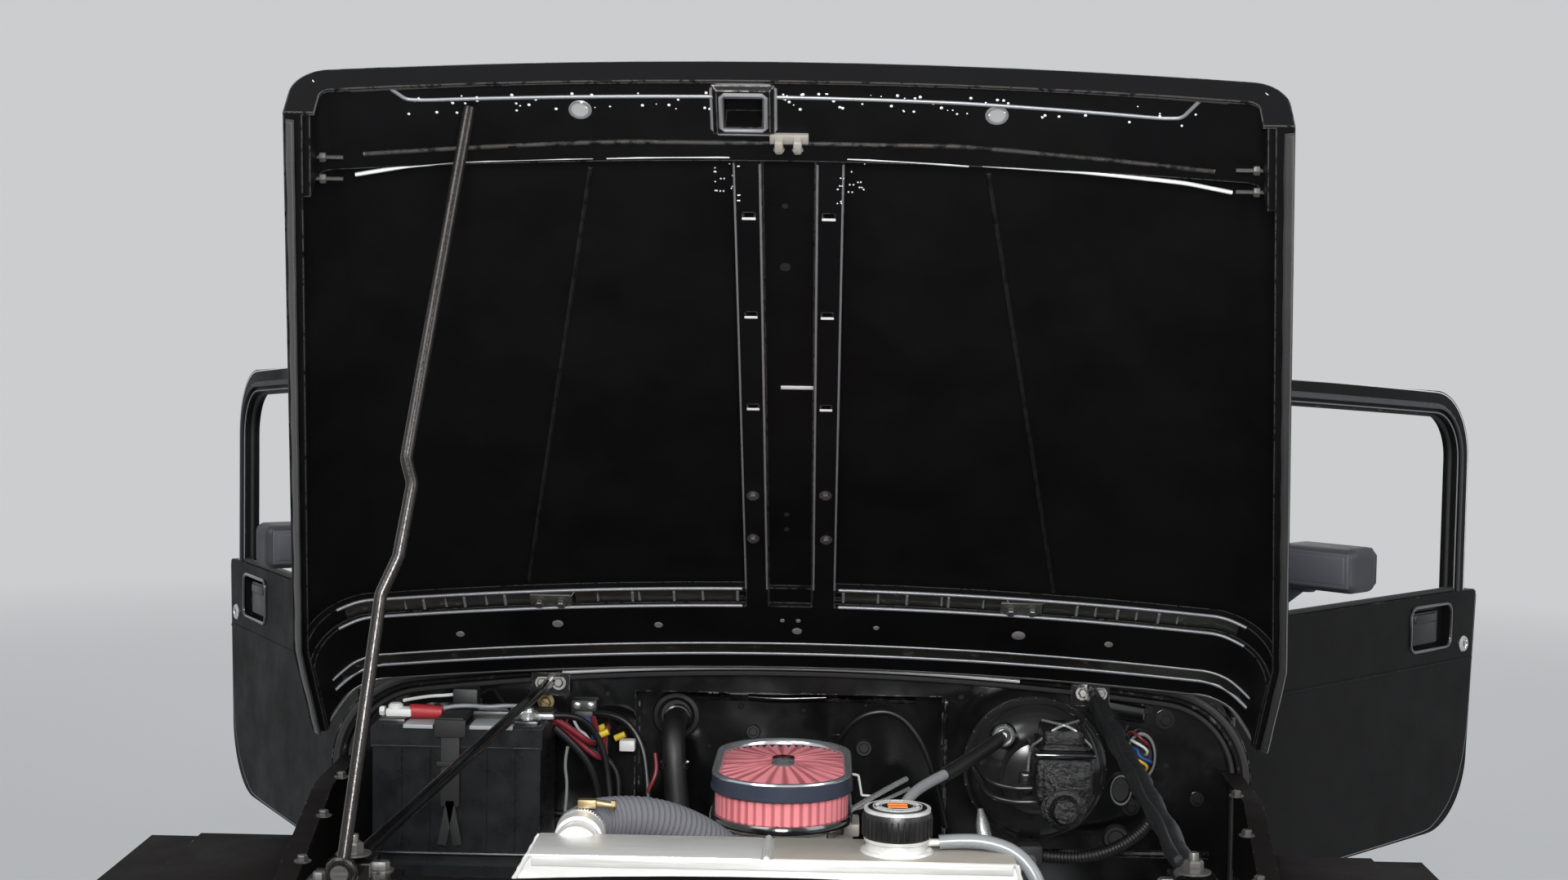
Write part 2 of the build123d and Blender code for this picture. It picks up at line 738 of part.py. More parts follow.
def make_lamps():
    """Head lamps in the grille, side lamps beside them and tail lamps on the rear corners."""
    face_y = grille_rear_y - grille_thick
    lamps = Part()
    for x in (-headlamp_x, headlamp_x):
        lamps += bar((x, face_y - 6, headlamp_z), (x, face_y + grille_thick + headlamp_deep, headlamp_z),
                     headlamp_radius - seat_gap)
        lamps += bar((x, face_y - 12, side_lamp_z), (x, face_y - seat_gap, side_lamp_z), side_lamp_radius)
    wide, deep, low, top = tail_lamp
    for x in (wide - tub_half, tub_half - wide):
        lamps += block(x - wide + 15, x + wide - 15, tub_rear_y + seat_gap, tub_rear_y + deep, low, top)
    parts["lamps"] = lamps


def wing_top(offset):
    """The side outline of a front wing's top, moved inwards by offset."""
    nose = grille_rear_y - 18
    return [(nose + offset, 700), (nose + 11 + offset, 790), (nose + 56 + offset * 0.8, 870 - offset * 0.5),
            (front_axle_y - 300, 912 - offset), (front_axle_y + 330 - offset * 0.3, 926 - offset),
            (-60 - offset * 0.9, 720), (12 - offset, 640)]


def make_wing(name, side):
    """A front wing: curved top, outer skirt, rubber flare and the inner panel beside the engine."""
    band = wing_top(0) + wing_top(wing_wall)[::-1]
    top = side_shape(band, 540, wing_outer)
    skirt = wing_top(0) + wing_top(wing_skirt)[::-1]
    outer = side_shape(skirt, wing_outer - wing_wall, wing_outer)
    flare = side_shape(wing_top(4) + wing_top(4 + wing_wall)[::-1], wing_outer, flare_outer)
    flare += side_shape(wing_top(4) + wing_top(40)[::-1], flare_outer - wing_wall, flare_outer)
    inner_line = [(704, bonnet_gap - seat_gap), (698, -200), (550, grille_rear_y + seat_gap)]
    inner_face = inner_line + [(x - wing_wall, y) for x, y in inner_line[::-1]]
    inner = plan_shape(inner_face, inner_wing_low, inner_wing_top)
    ledge = plan_shape(inner_line + [(x - 28, y) for x, y in inner_line[::-1]], inner_wing_top - 6,
                       inner_wing_top)
    front = grille_rear_y
    side_x = grille_half + seat_gap
    keep = plan_shape([(725, 20), (725, 0), (698, -6), (692, -200), (546, front + 18), (side_x, front + 6),
                       (side_x, front - 42), (900, front - 42), (900, 20)], 600, 1100)
    wing = (top & keep) + outer + flare + inner + ledge
    parts["wing_" + name] = wing if side > 0 else mirrored(wing)


def make_frame():
    """Two side rails that rise over the axles, and the members between them."""
    outline = list(rail_path) + [(y, z - rail_high) for y, z in rail_path[::-1]]
    rail = side_shape(outline, rail_x - rail_wide / 2, rail_x + rail_wide / 2)
    for y, floor_low in ((240, floor_z), (1000, floor_z), (2050, rear_floor_z - floor_thick)):
        top = rail_underside(y) + rail_high - 22
        rail += bar((rail_x, y, top), (rail_x, y, floor_low - seat_gap), 26)
    parts["frame_rails"] = rail + mirrored(rail)
    inner = rail_x - rail_wide / 2
    members = Part()
    # Cross members: front edge, rear edge, top and bottom
    for y0, y1, top, low in ((grille_rear_y - 52, grille_rear_y + 28, rail_end_z - 8, rail_end_z - 80),
                             (960, 1020, rail_low_z - 8, rail_low_z - 56),
                             (rail_rear_y - 60, rail_rear_y, rail_end_z - 4, rail_end_z - 90)):
        members += block(-inner, inner, y0, y1, low, top)
    sling = [(inner, rail_low_z - 20), (inner, rail_low_z - 96), (inner - 80, 372), (inner - 80, 399.7),
             (inner - 26, rail_low_z - 96), (inner - 26, rail_low_z - 20)]
    low_line = [sling[0], sling[1], sling[2], (-sling[2][0], sling[2][1]), (-sling[1][0], sling[1][1]),
                (-sling[0][0], sling[0][1]), (-sling[5][0], sling[5][1]), (-sling[4][0], sling[4][1]),
                (-sling[3][0], sling[3][1]), sling[3], sling[4], sling[5]]
    members += front_shape(low_line, 400, 560)
    mount_y = grille_rear_y - grille_thick / 2
    members += bar((0, mount_y, rail_end_z - 10), (0, mount_y, grille_bottom_z - seat_gap), 15)
    parts["frame_members"] = members


def make_bumpers():
    """Channel bumpers at both ends; the rear one has a hole for a tow ball."""
    front_y = rail_front_y - seat_gap
    half, wall = bumper_half, bumper_wall
    top, low = rail_end_z + 5, rail_end_z + 5 - bumper_high
    front = block(-half, half, front_y - bumper_deep, front_y, low, top)
    front = fillet(front.edges().filter_by(Axis.Z), 18)
    for x0, x1 in ((-half + 10, -rail_x - 60), (-rail_x + 60, rail_x - 60), (rail_x + 60, half - 10)):
        front -= block(x0, x1, front_y - bumper_deep + wall, front_y + 1, low + wall, top - wall)
    rear_y = rail_rear_y + seat_gap
    step = rail_end_z - 60
    rear = block(-half, half, rear_y, rear_y + 100, step, rail_end_z + 10)
    rear += block(-75, 75, rear_y + 60, rear_y + 170, step, step + 2 * wall)
    hole_y = rear_y + 135
    rear -= bar((0, hole_y, rail_end_z - 70), (0, hole_y, rail_end_z - 30), hitch_hole_radius)
    parts["bumpers"] = front + rear


def wheel_profile(points):
    """Turns a closed outline of (x, radius) points about the axle line."""
    face = make_face(Polyline(*points, close=True))
    return revolve(face, axis=Axis.X)


def tyre():
    """A tyre centred on its own axis: bulged walls, a flat tread and tall lugs."""
    half = tyre_width / 2
    tread = tyre_radius - lug_height
    bead = rim_radius + 1
    outer = [(half - 30, bead), (half - 29, bead + 15), (half - 12, bead + 26), (half, bead + 90), (half - 4, tread - 48),
             (half - 16, tread - 14), (half - 34, tread)]
    inner = [(x - tyre_wall, r) for x, r in (outer[0], outer[1], outer[3])]
    inner += [(x - tyre_wall, r - tyre_wall + 2) for x, r in outer[4:6]] + [(outer[6][0] - 8, tread - tyre_wall)]
    ring = outer + [(-x, r) for x, r in outer[::-1]] + [(-x, r) for x, r in inner] + inner[::-1]
    body = wheel_profile(ring)
    step = 360 / lug_count
    lug_half = 0.3 * 2 * math.pi * tyre_radius / lug_count
    top = math.sqrt(tyre_radius ** 2 - lug_half ** 2)
    shoulder = [(28, tread - 6), (28, top), (half - 26, top), (half - 10, tread - 16),
                (half - 16, tread - 34)]
    lug = front_shape(shoulder, -lug_half, lug_half)
    other = Rot(step / 2, 0, 0) * mirrored(lug)
    lugs = [Rot(step * i, 0, 0) * piece for i in range(lug_count) for piece in (lug, other)]
    return body + lugs


def rim():
    """A pressed steel wheel with round holes, a hub and its blind spindle bore."""
    half = rim_width / 2
    flange = rim_radius + 14
    out = [(-half, flange), (-half, rim_radius), (-half + 30, rim_radius), (-30, rim_radius - 22),
           (30, rim_radius - 22), (half - 30, rim_radius), (half, rim_radius), (half, flange)]
    back = [(x * 0.96, r - rim_wall) for x, r in out[1:-1]]
    ring = wheel_profile([(-half - 6, flange), (-half - 6, rim_radius - rim_wall)] + back
                         + [(half + 6, rim_radius - rim_wall), (half + 6, flange)] + out[::-1])
    disc_x = 16
    dish = [(disc_x, 0), (disc_x, 90), (disc_x + 26, 112), (disc_x + 26, 140), (disc_x - 20, rim_radius - 26),
            (disc_x - 30, rim_radius - 26), (disc_x + 16, 138), (disc_x + 16, 116), (disc_x - 10, 94),
            (disc_x - 10, 0)]
    disc = wheel_profile(dish)
    for i in range(wheel_hole_count):
        angle = 2 * math.pi * i / wheel_hole_count
        y, z = wheel_hole_circle * math.cos(angle), wheel_hole_circle * math.sin(angle)
        disc -= bar((-60, y, z), (80, y, z), wheel_hole_radius)
    hub = bar((-40, 0, 0), (disc_x + 60, 0, 0), 52)
    bore = bar((-41, 0, 0), (disc_x + 20, 0, 0), spindle_radius + running_gap)
    return ring + disc + hub - bore


def make_wheels():
    """Four road wheels and the spare on the tailgate."""
    one_tyre, one_rim = tyre(), rim()
    for end, y in (("front", front_axle_y), ("rear", rear_axle_y)):
        for name, side in sides:
            place = Pos(side * track / 2, y, tyre_radius)
            turned = place if side > 0 else place * Rot(0, 0, 180)
            parts[f"tyre_{end}_{name}"] = turned * one_tyre
            parts[f"rim_{end}_{name}"] = turned * one_rim
    spare = Pos(spare_x, tub_rear_y + spare_gap + tyre_width / 2, spare_z) * Rot(0, 0, 90)
    parts["tyre_spare"] = spare * one_tyre
    parts["rim_spare"] = spare * one_rim


def make_tailgate():
    """The swing tailgate with the bracket that carries the spare wheel."""
    gap = 5
    half = rear_panel_x - gap
    y1 = tub_rear_y
    gate = block(-half, half, y1 - tailgate_thick, y1, sill_z + 45, side_top_z)
    gate -= block(-half + 60, half - 60, y1 - tailgate_thick - 1, y1 - tailgate_thick + 10, 700, 1020)
    y2 = y1 + spare_gap + tyre_width / 2 + 36 - seat_gap
    post = bar((spare_x, y1 - 2, spare_z), (spare_x, y2, spare_z), spindle_radius)
    plate = block(spare_x - 120, spare_x + 120, y1 - 1, y1 + 12, spare_z - 90, spare_z + 90)
    hinges = Part()
    for z in tailgate_hinges:
        hinges += block(tailgate_hinge_x + 3, -half + 110, y1 + seat_gap, y1 + 8, z - 20, z)
        hinges += block(-half + 5, -half + 110, y1 - 1, y1 + 1, z - 20, z)
        hinges += bar((tailgate_hinge_x, y1 + 9, z - 20), (tailgate_hinge_x, y1 + 9, z), hinge_radius)
        hinges -= bar((tailgate_hinge_x, y1 + 9, z - 21), (tailgate_hinge_x, y1 + 9, z + 1), hinge_pin + running_gap)
    parts["tailgate"] = gate + plate + post + hinges


def make_axles():
    """Solid axles with their differential housings; the front one ends in yokes for the knuckles."""
    z = tyre_radius
    end = kingpin_x - yoke_reach
    rise = pinion_rise
    front = bar((-end, front_axle_y, z), (end, front_axle_y, z), axle_radius)
    front += Pos(front_diff_x, front_axle_y, z) * Sphere(front_diff_radius)
    nose_y = front_axle_y + pinion_long - 10
    front += bar((front_diff_x, front_axle_y, z), (front_diff_x, nose_y, z + rise), pinion_radius)
    for side in (1, -1):
        front += block(side * (end - 8), side * (end + 10), front_axle_y - knuckle_radius,
                       front_axle_y + knuckle_radius, z - kingpin_half - yoke_thick, z + kingpin_half + yoke_thick)
        for low in (z - kingpin_half - yoke_thick, z + kingpin_half):
            front += block(side * end, side * kingpin_x, front_axle_y - knuckle_radius,
                           front_axle_y + knuckle_radius, low, low + yoke_thick)
            front += bar((side * kingpin_x, front_axle_y, low), (side * kingpin_x, front_axle_y, low + yoke_thick),
                         knuckle_radius)
    rear_end = track / 2 - 60
    rear = bar((-rear_end, rear_axle_y, z), (rear_end, rear_axle_y, z), axle_radius)
    rear += Pos(0, rear_axle_y, z) * Sphere(rear_diff_radius)
    rear += bar((0, rear_axle_y - pinion_long, z + rise), (0, rear_axle_y, z), pinion_radius)
    for side in (1, -1):
        drum = bar((side * (rear_end - drum_wide), rear_axle_y, z), (side * rear_end, rear_axle_y, z), drum_radius)
        spindle = bar((side * rear_end, rear_axle_y, z), (side * (track / 2 + 10), rear_axle_y, z), spindle_radius)
        rear += drum + spindle
    parts["axles"] = front + rear


def make_knuckle(name, side):
    """A steering knuckle: kingpin post, brake disc, spindle and steering arm."""
    z = tyre_radius
    gap = running_gap
    post = bar((kingpin_x, front_axle_y, z - kingpin_half + gap), (kingpin_x, front_axle_y, z + kingpin_half - gap),
               knuckle_radius)
    disc_x = kingpin_x + knuckle_radius
    spindle = bar((kingpin_x, front_axle_y, z), (track / 2 + 10, front_axle_y, z), spindle_radius)
    hub_face = bar((kingpin_x, front_axle_y, z), (track / 2 - 42, front_axle_y, z), 46)
    disc = bar((disc_x + 6, front_axle_y, z), (disc_x + 6 + brake_disc_thick, front_axle_y, z),
               brake_disc_radius)
    room = block(kingpin_x - 60, kingpin_x + 30, front_axle_y - 60, front_axle_y + 60,
                 z - kingpin_half - yoke_thick - 8, z - kingpin_half + gap)
    room += block(kingpin_x - 60, kingpin_x + 30, front_axle_y - 60, front_axle_y + 60,
                  z + kingpin_half - gap, z + kingpin_half + yoke_thick + 8)
    arm = block(kingpin_x - 16, kingpin_x + 16, front_axle_y, front_axle_y + steer_arm + 16, z - 52, z - 36)
    knuckle = post + spindle + hub_face + disc - room + arm
    parts["knuckle_" + name] = knuckle if side > 0 else mirrored(knuckle)


def make_tie_rod():
    """The track rod just under the ends of both steering arms."""
    z = tyre_radius - 52 - 3 - tie_rod_radius
    y = front_axle_y + steer_arm
    rod = bar((-kingpin_x, y, z), (kingpin_x, y, z), tie_rod_radius)
    parts["tie_rod"] = rod


def make_suspension():
    """Leaf springs under the axles with their clamps, hangers and shackles, and the dampers."""
    springs = Part()
    low = tyre_radius - axle_radius - seat_gap
    wide = leaf_half
    for axle_y, reach in ((front_axle_y, front_leaf), (rear_axle_y, rear_leaf)):
        for side in (1, -1):
            leaf = [(axle_y - reach, low + 44), (axle_y - reach * 0.5, low + 12), (axle_y, low),
                    (axle_y + reach * 0.5, low + 12), (axle_y + reach, low + 44)]
            under = [(axle_y + reach, low + 34), (axle_y + reach * 0.5, low - 4), (axle_y, low - leaf_pack),
                     (axle_y - reach * 0.5, low - 4), (axle_y - reach, low + 34)]
            springs += side_shape(leaf + under, side * (rail_x - wide), side * (rail_x + wide))
            for y in (axle_y - reach, axle_y + reach):
                top = rail_underside(y)
                springs += block(side * (rail_x - wide + 8), side * (rail_x + wide - 8), y - 16, y + 16, low + 30, top)
            for y in (axle_y - 60, axle_y + 48):
                springs += block(side * (rail_x - wide), side * (rail_x + wide), y, y + 12, low - 20, tyre_radius + 6)
    rails = parts["frame_rails"]
    parts["suspension"] = springs - rails


def rail_underside(y):
    """A height inside the frame rail at a place along the vehicle."""
    for (y0, z0), (y1, z1) in zip(rail_path, rail_path[1:]):
        if y0 <= y <= y1:
            return z0 + (z1 - z0) * (y - y0) / (y1 - y0) - rail_high + 20


def make_engine():
    """The engine with its rocker covers, carburettor, pulleys, gearbox and transfer case."""
    front_y, rear_y = engine_front_y, engine_rear_y
    half_outline = [(130, 520), (165, 560), (165, 660), (290, 745), (240, 862), (110, 800), (90, 900)]
    outline = half_outline + [(-x, z) for x, z in half_outline[::-1]]
    engine = front_shape(outline, front_y, rear_y)
    engine += block(-120, 120, front_y + 260, rear_y - 10, 420, 525)
    engine += bar((0, rear_y, 600), (0, rear_y + 140, 600), 180)
    engine += block(-95, 95, rear_y + 139, 560, 490, 650)
    engine += block(-230, 95, 380, 600, 400, 560)
    cleaner_low = air_cleaner_top - air_cleaner_high
    engine += bar((0, air_cleaner_y, 890), (0, air_cleaner_y, cleaner_low), 62)
    engine += block(-95, 95, air_cleaner_y - 110, air_cleaner_y + 110, 890, 915)
    long, wide, high = rocker_size
    for side in (-1, 1):
        cover = Box(wide, long, high)
        cover = fillet(cover.edges().filter_by(Axis.Y).group_by(Axis.Z)[-1], 22)
        middle_y = (front_y + rear_y) / 2
        engine += Pos(side * rocker_x, middle_y, rocker_z) * Rot(0, side * 25, 0) * cover
    engine += bar((0, front_y - 50, 620), (0, front_y + 1, 620), 80)
    engine += bar((0, front_y - 40, 790), (0, front_y + 1, 790), 62)
    engine += bar((175, front_y - 60, 830), (175, front_y + 60, 830), 66)
    end, way = hose_points[-1], (Vector(hose_points[-1]) - Vector(hose_points[-2])).normalized()
    engine += bar(Vector(end) + way * seat_gap, Vector(end) + way * 70, 25)
    mount_x = rail_x - rail_wide / 2 - seat_gap
    for side in (-1, 1):
        engine += block(side * 150, side * mount_x, -420, -340, 600, 640)
        engine += block(side * (mount_x - 40), side * mount_x, -420, -340, rail_low_z - 60, 640)
    parts["engine"] = engine


def make_air_cleaner():
    """The oval air cleaner: a base dish, the pleated ring, and a pleated lid held in a bright rim by its nut."""
    low = air_cleaner_top - air_cleaner_high

    def oval(step, z, high):
        outline = SlotOverall(air_cleaner_long - 2 * step, air_cleaner_wide - 2 * step, rotation=90)
        return extrude(Plane.XY.offset(z) * Pos(0, air_cleaner_y) * outline, high)

    rim_z = air_cleaner_top - air_cleaner_rim
    base = oval(0, low, air_cleaner_base)
    rim = fillet(oval(0, rim_z, air_cleaner_rim).edges().group_by(Axis.Z)[-1], 7)
    body = base + oval(air_cleaner_step, low, air_cleaner_high - 4) + (rim - oval(24, rim_z, 40))
    nut = bar((0, air_cleaner_y, air_cleaner_top - 6), (0, air_cleaner_y, air_cleaner_top + 5), 11)
    parts["air_cleaner"] = body + nut


def make_radiator():
    """The aluminium radiator: core, folded tanks, filler boss and its cap."""
    x0, x1 = radiator_x - radiator_half, radiator_x + radiator_half
    y = radiator_y
    tank = radiator_tank_deep / 2
    top = radiator_top_z
    low = 640
    core = block(x0 + 16, x1 - 16, y - radiator_core_thick / 2, y + radiator_core_thick / 2, low,
                 top - radiator_tank_high)
    header = front_shape([(x0, top - radiator_tank_high), (x0 + 34, top), (x1 - 14, top),
                          (x1, top - radiator_tank_high)], y - tank, y + tank)
    foot = block(x0, x1, y - tank, y + tank, low - 50, low)
    neck = bar((cap_x, y, top - 1), (cap_x, y, top + 16), cap_radius - 4)
    cap = bar((cap_x, y, top + 16), (cap_x, y, top + 16 + cap_high), cap_radius)
    outlet = bar((-224, y, top - 34), (-224, y + tank + 40, top - 26), 19)
    parts["radiator"] = core + header + foot + neck + cap + outlet


def make_hose():
    """The ribbed hose from the radiator to the engine."""
    hose = pipe(hose_points, 22, 30)
    parts["upper_hose"] = hose


def make_battery():
    """The battery with its ribbed case, lid ledge and posts, on a tray bolted to the bulkhead."""
    wide, deep, high = battery_size
    z = battery_top - high
    x0, x1 = battery_x - wide / 2, battery_x + wide / 2
    y0, y1 = battery_y - deep / 2, battery_y + deep / 2
    ledge = battery_ledge
    case = block(x0 + ledge, x1 - ledge, y0 + ledge, y1 - ledge, z, battery_top)
    case += block(x0, x1, y0, y1, battery_top - battery_lid, battery_top - 4)
    ribs = int((wide - 4 * ledge) / battery_rib_pitch)
    for i in range(ribs):
        x = battery_x + (i - (ribs - 1) / 2) * battery_rib_pitch
        case += block(x - 3, x + 3, y0, y0 + 2 * ledge, z + 20, battery_top - battery_lid)
    tray = block(x0 - tray_lip, x1 + tray_lip, y0 - tray_lip, bulkhead_y - seat_gap, z - 20, z)
    posts = Part()
    for x in (x0 + 28, x1 - 28):
        posts += bar((x, battery_y - 40, battery_top - 5), (x, battery_y - 40, battery_top + 18), battery_post_radius)
    parts["battery"] = case + tray + posts


def make_booster():
    """The brake booster's crimped drum with the master cylinder and its reservoir ahead of it."""
    y1 = bulkhead_y - seat_gap
    y0 = y1 - booster_stand - booster_deep
    rear = y1 - booster_stand
    drum = bar((booster_x, rear, booster_z), (booster_x, y0, booster_z), booster_radius - booster_crimp)
    drum = fillet(drum.edges().group_by(Axis.Y)[0], 34)
    crimp = bar((booster_x, rear - 52, booster_z), (booster_x, rear - 40, booster_z), booster_radius)
    mount = block(booster_x - 55, booster_x + 55, rear - 1, y1, booster_z - 60, booster_z + 60)
    x, z = master_x, master_z
    flange = block(x - master_flange, x + master_flange, y0 - 10, y0 + 14, z - 24, z + 24)
    front = y0 - master_long
    master = bar((x, y0 + 1, z), (x, front, z), master_radius)
    nose = bar((x, front + 1, z), (x, front - master_nose, z), master_radius - 8)
    tank_rear, tank_top = y0 - 24, z + 6 + reservoir_high
    tank_front = tank_rear - reservoir_long
    lid_top = tank_top + reservoir_lid
    tank = block(x - reservoir_half, x + reservoir_half, tank_front, tank_rear, z + 6, tank_top)
    lid = block(x - reservoir_half - 4, x + reservoir_half + 4, tank_front - 4, tank_rear + 4, tank_top, lid_top)
    dome = block(x - 30, x + 30, tank_front + 14, tank_rear - 14, lid_top - 1, lid_top + reservoir_dome)
    dome = fillet(dome.edges().group_by(Axis.Z)[-1], 12)
    start, _ = vacuum_ends()
    valve = bar(start, start + Vector(0, valve_long, 0), vacuum_radius + 5)
    parts["brake_booster"] = drum + crimp + mount + flange + master + nose + tank + lid + dome + valve


def vacuum_ends():
    """Where the vacuum hose starts on the booster's face, and where it meets the carburettor's base."""
    y0 = bulkhead_y - seat_gap - booster_stand - booster_deep
    return Vector(valve_x, y0 - 18, valve_z), Vector(62, air_cleaner_y + 40, 925)


def make_bay_hoses():
    """The heater's elbow and hose, and the booster's vacuum hose."""
    y = pocket_y - bulkhead_thick - seat_gap
    heater = pipe([(heater_x, y, heater_z), (heater_x, -40, heater_z), (heater_x + 10, -50, 860),
                   (heater_x + 30, -90, 790), (heater_x + 30, engine_rear_y + seat_gap, 790)], heater_radius, 26)
    start, end = vacuum_ends()
    gap = Vector(0, seat_gap, 0)
    vacuum = pipe([start - gap, start - Vector(0, 50, 0), start - Vector(90, 130, 50),
                   (150, air_cleaner_y + 90, 935), (110, air_cleaner_y + 40, 925),
                   end + Vector(seat_gap, 0, 0)], vacuum_radius, 20)
    parts["bay_hoses"] = Part() + [heater, vacuum]


def make_braces():
    """The two bars that tie the grille to the cowl, each with its bolted foot."""
    braces = Part()
    for side, top_x, radius in ((-1, brace_head_right, brace_radius), (1, brace_head_left, brace_radius + 4)):
        foot = (side * brace_foot_x, brace_foot_y, brace_foot_z)
        head = (side * top_x, 0, brace_head_z)
        braces += bar(foot, head, radius)
        braces += block(side * brace_foot_x - 24, side * brace_foot_x + 24, brace_foot_y - 26, brace_foot_y + 26,
                        shelf_z + seat_gap, brace_foot_z + 4)
        braces += block(side * top_x - 30, side * top_x + 30, -6, 3.7, brace_head_z - 22, brace_head_z + 14)
    parts["grille_braces"] = braces


def make_prop():
    """The kinked rod that holds the bonnet up, from its foot on the grille to the front panel."""
    foot = (prop_foot_x, prop_foot_y, prop_foot_z)
    hook = bonnet_point(hook_x, hook_v, prop_hook_deep)
    f, h = Vector(*foot), Vector(*hook)
    points = [foot]
    for share, aside in prop_bends:
        points.append(f + (h - f) * share + Vector(aside, 0, 0))
    points.append(hook)
    rod = pipe(points, prop_radius, prop_bend)
    x, y, z = foot
    half = prop_eye_half
    rod += bar((x, y - half, z), (x, y + half, z), prop_eye)
    for near, far in ((y + half, y + 20), (y - 20, y - half)):
        rod -= block(x - 30, x + 30, near, far, z - 30, z + 16)
    parts["prop_rod"] = rod - bar((x, y - 8, z), (x, y + 8, z), prop_pin + running_gap)


def make_windscreen():
    """The windscreen's frame and its glass, leaning back on the cowl."""
    high = (windscreen_top_z - cowl_top_z) / math.cos(math.radians(windscreen_rake))
    half, wide, thick = windscreen_half, windscreen_bar, windscreen_thick
    turn = windscreen_corner
    frame = Pos(0, 0, high / 2) * Box(2 * half, thick, high)
    frame = fillet(frame.edges().filter_by(Axis.Y), turn)
    hole = Pos(0, 0, high / 2 + 12) * Box(2 * (half - wide), thick + 2, high - 2 * wide - 24)
    hole = fillet(hole.edges().filter_by(Axis.Y), turn * 0.6)
    glass = Pos(0, 0, high / 2 + 12) * Box(2 * (half - wide) - 1, glass_thick, high - 2 * wide - 25)
    glass = fillet(glass.edges().filter_by(Axis.Y), turn * 0.6 - 1)
    place = Pos(0, windscreen_y, cowl_top_z - 4) * Rot(-windscreen_rake, 0, 0)
    cut = block(-tub_half, tub_half, windscreen_y - 60, windscreen_y + 80, cowl_top_z - 60, cowl_top_z + seat_gap)
    parts["windscreen_frame"] = place * (frame - hole) - cut
    parts["windscreen_glass"] = place * glass


def make_dash():
    """The dashboard panel with its cluster hood and the steering column."""
    gap = cowl_wall + seat_gap
    y = dash_y
    share = (y - bonnet_gap) / (door_front_y - bonnet_gap)
    half = cowl_half + (tub_half - 1 - cowl_half) * share
    section = arch_face(half - gap, cowl_top_z - gap, 880, cowl_corner - gap, cowl_crown, y + dash_thick)
    panel = extrude(section, dash_thick)
    top = block(-half + 160, half - 160, y - 40, y + 1, 1020, 1044)
    cluster = bar((steering_x, y + 20, 1000), (steering_x, y + 40, 1000), 60)
    start, end, way = column_points()
    column = bar(start, end, column_radius) + bar(end - way * 5, end + way * 30, column_pin)
    parts["dash"] = panel + top + cluster + column


def column_points():
    """Where the steering column starts and ends, and its direction."""
    y = dash_y
    start, end = Vector(steering_x, y - 10, 930), Vector(steering_x, y + 275, 1060)
    return start, end, (end - start).normalized()


def make_steering_wheel():
    """The steering wheel with three spokes."""
    start, end, way = column_points()
    centre = end + way * (running_gap + 20)
    plane = Plane(origin=centre, x_dir=(1, 0, 0), z_dir=way)
    wheel = plane * Torus(steering_radius, steering_rim)
    wheel += plane * Cylinder(column_radius + 8, 40)
    for angle in (90, 210, 330):
        spoke = Rot(0, 0, angle) * (Pos(steering_radius / 2, 0, 0) * Box(steering_radius - 4, 26, 8))
        wheel += plane * spoke
    parts["steering_wheel"] = wheel - bar(end, end + way * 31, column_pin + running_gap)


def make_seats():
    """Two front bucket seats and a rear bench, each a cushion and a back on a plinth."""
    seats = Part()
    floor_top = floor_z + floor_thick
    for side in (1, -1):
        x0, x1 = side * seat_x - seat_wide / 2, side * seat_x + seat_wide / 2
        y0, y1 = seat_y - seat_deep / 2, seat_y + seat_deep / 2
        seats += block(x0 + 50, x1 - 50, y0 + 60, y1 - 60, floor_top + seat_gap, seat_low + 20)
        cushion = block(x0, x1, y0, y1, seat_low, seat_top)
        seats += fillet(cushion.edges(), 40)
        back = side_shape([(y1 - 110, seat_top - 70), (y1 + 20, seat_back_top), (y1 + 110, seat_back_top - 20),
                           (y1 - 10, seat_top - 90)], x0 + 10, x1 - 10)
        seats += fillet(back.edges(), 30)
    half = wheel_box_x - 20
    y0, y1 = bench_y, bench_y + bench_deep
    seats += block(-half + 60, half - 60, y0 + 30, y1 - 70, rear_floor_z + seat_gap, bench_low + 10)
    seats += fillet(block(-half, half, y0, y1, bench_low, bench_top).edges(), 36)
    bench_back = side_shape([(y1 - 70, bench_top - 60), (y1, bench_back_top), (y1 + 70, bench_back_top - 10),
                             (y1 + 30, bench_top - 70)], -half, half)
    seats += fillet(bench_back.edges(), 26)
    parts["seats"] = seats


def make_roll_bar():
    """The main hoop behind the front seats and its two rear stays."""
    low = wheel_box_top + seat_gap
    hoop_y = roll_y
    points = [(-roll_half, hoop_y, low), (-roll_half, hoop_y, roll_top_z), (roll_half, hoop_y, roll_top_z),
              (roll_half, hoop_y, low)]
    bars = pipe(points, roll_radius, roll_bend)
    stay_x, stay_y = roll_stay_foot
    for side in (1, -1):
        bars += bar((side * (roll_half - 70), hoop_y, roll_top_z - 6), (side * stay_x, stay_y, wheel_box_top - 30),
                    roll_radius - 2)
    parts["roll_bar"] = bars & block(-tub_half, tub_half, hoop_y - 40, 2100, low, 2000)


def make_tank_and_exhaust():
    """The fuel tank behind the rear axle, and the exhaust under the right-hand side."""
    y, x, z = rear_axle_y + 205, exhaust_x, exhaust_z
    tank = block(-300, 300, y, y + 270, 400, rear_floor_z - floor_thick - seat_gap)
    parts["fuel_tank"] = fillet(tank.edges(), 22)
    head_y = engine_rear_y - 280
    points = [(x, head_y, z + 280), (x, head_y, z + 30), (x, head_y + 220, z), (x, silencer_y + 5, z)]
    exhaust = pipe(points, exhaust_radius, 60)
    exhaust += bar((x, silencer_y, z), (x, silencer_y + silencer_long, z), silencer_radius)
    parts["exhaust"] = exhaust - parts["engine"]


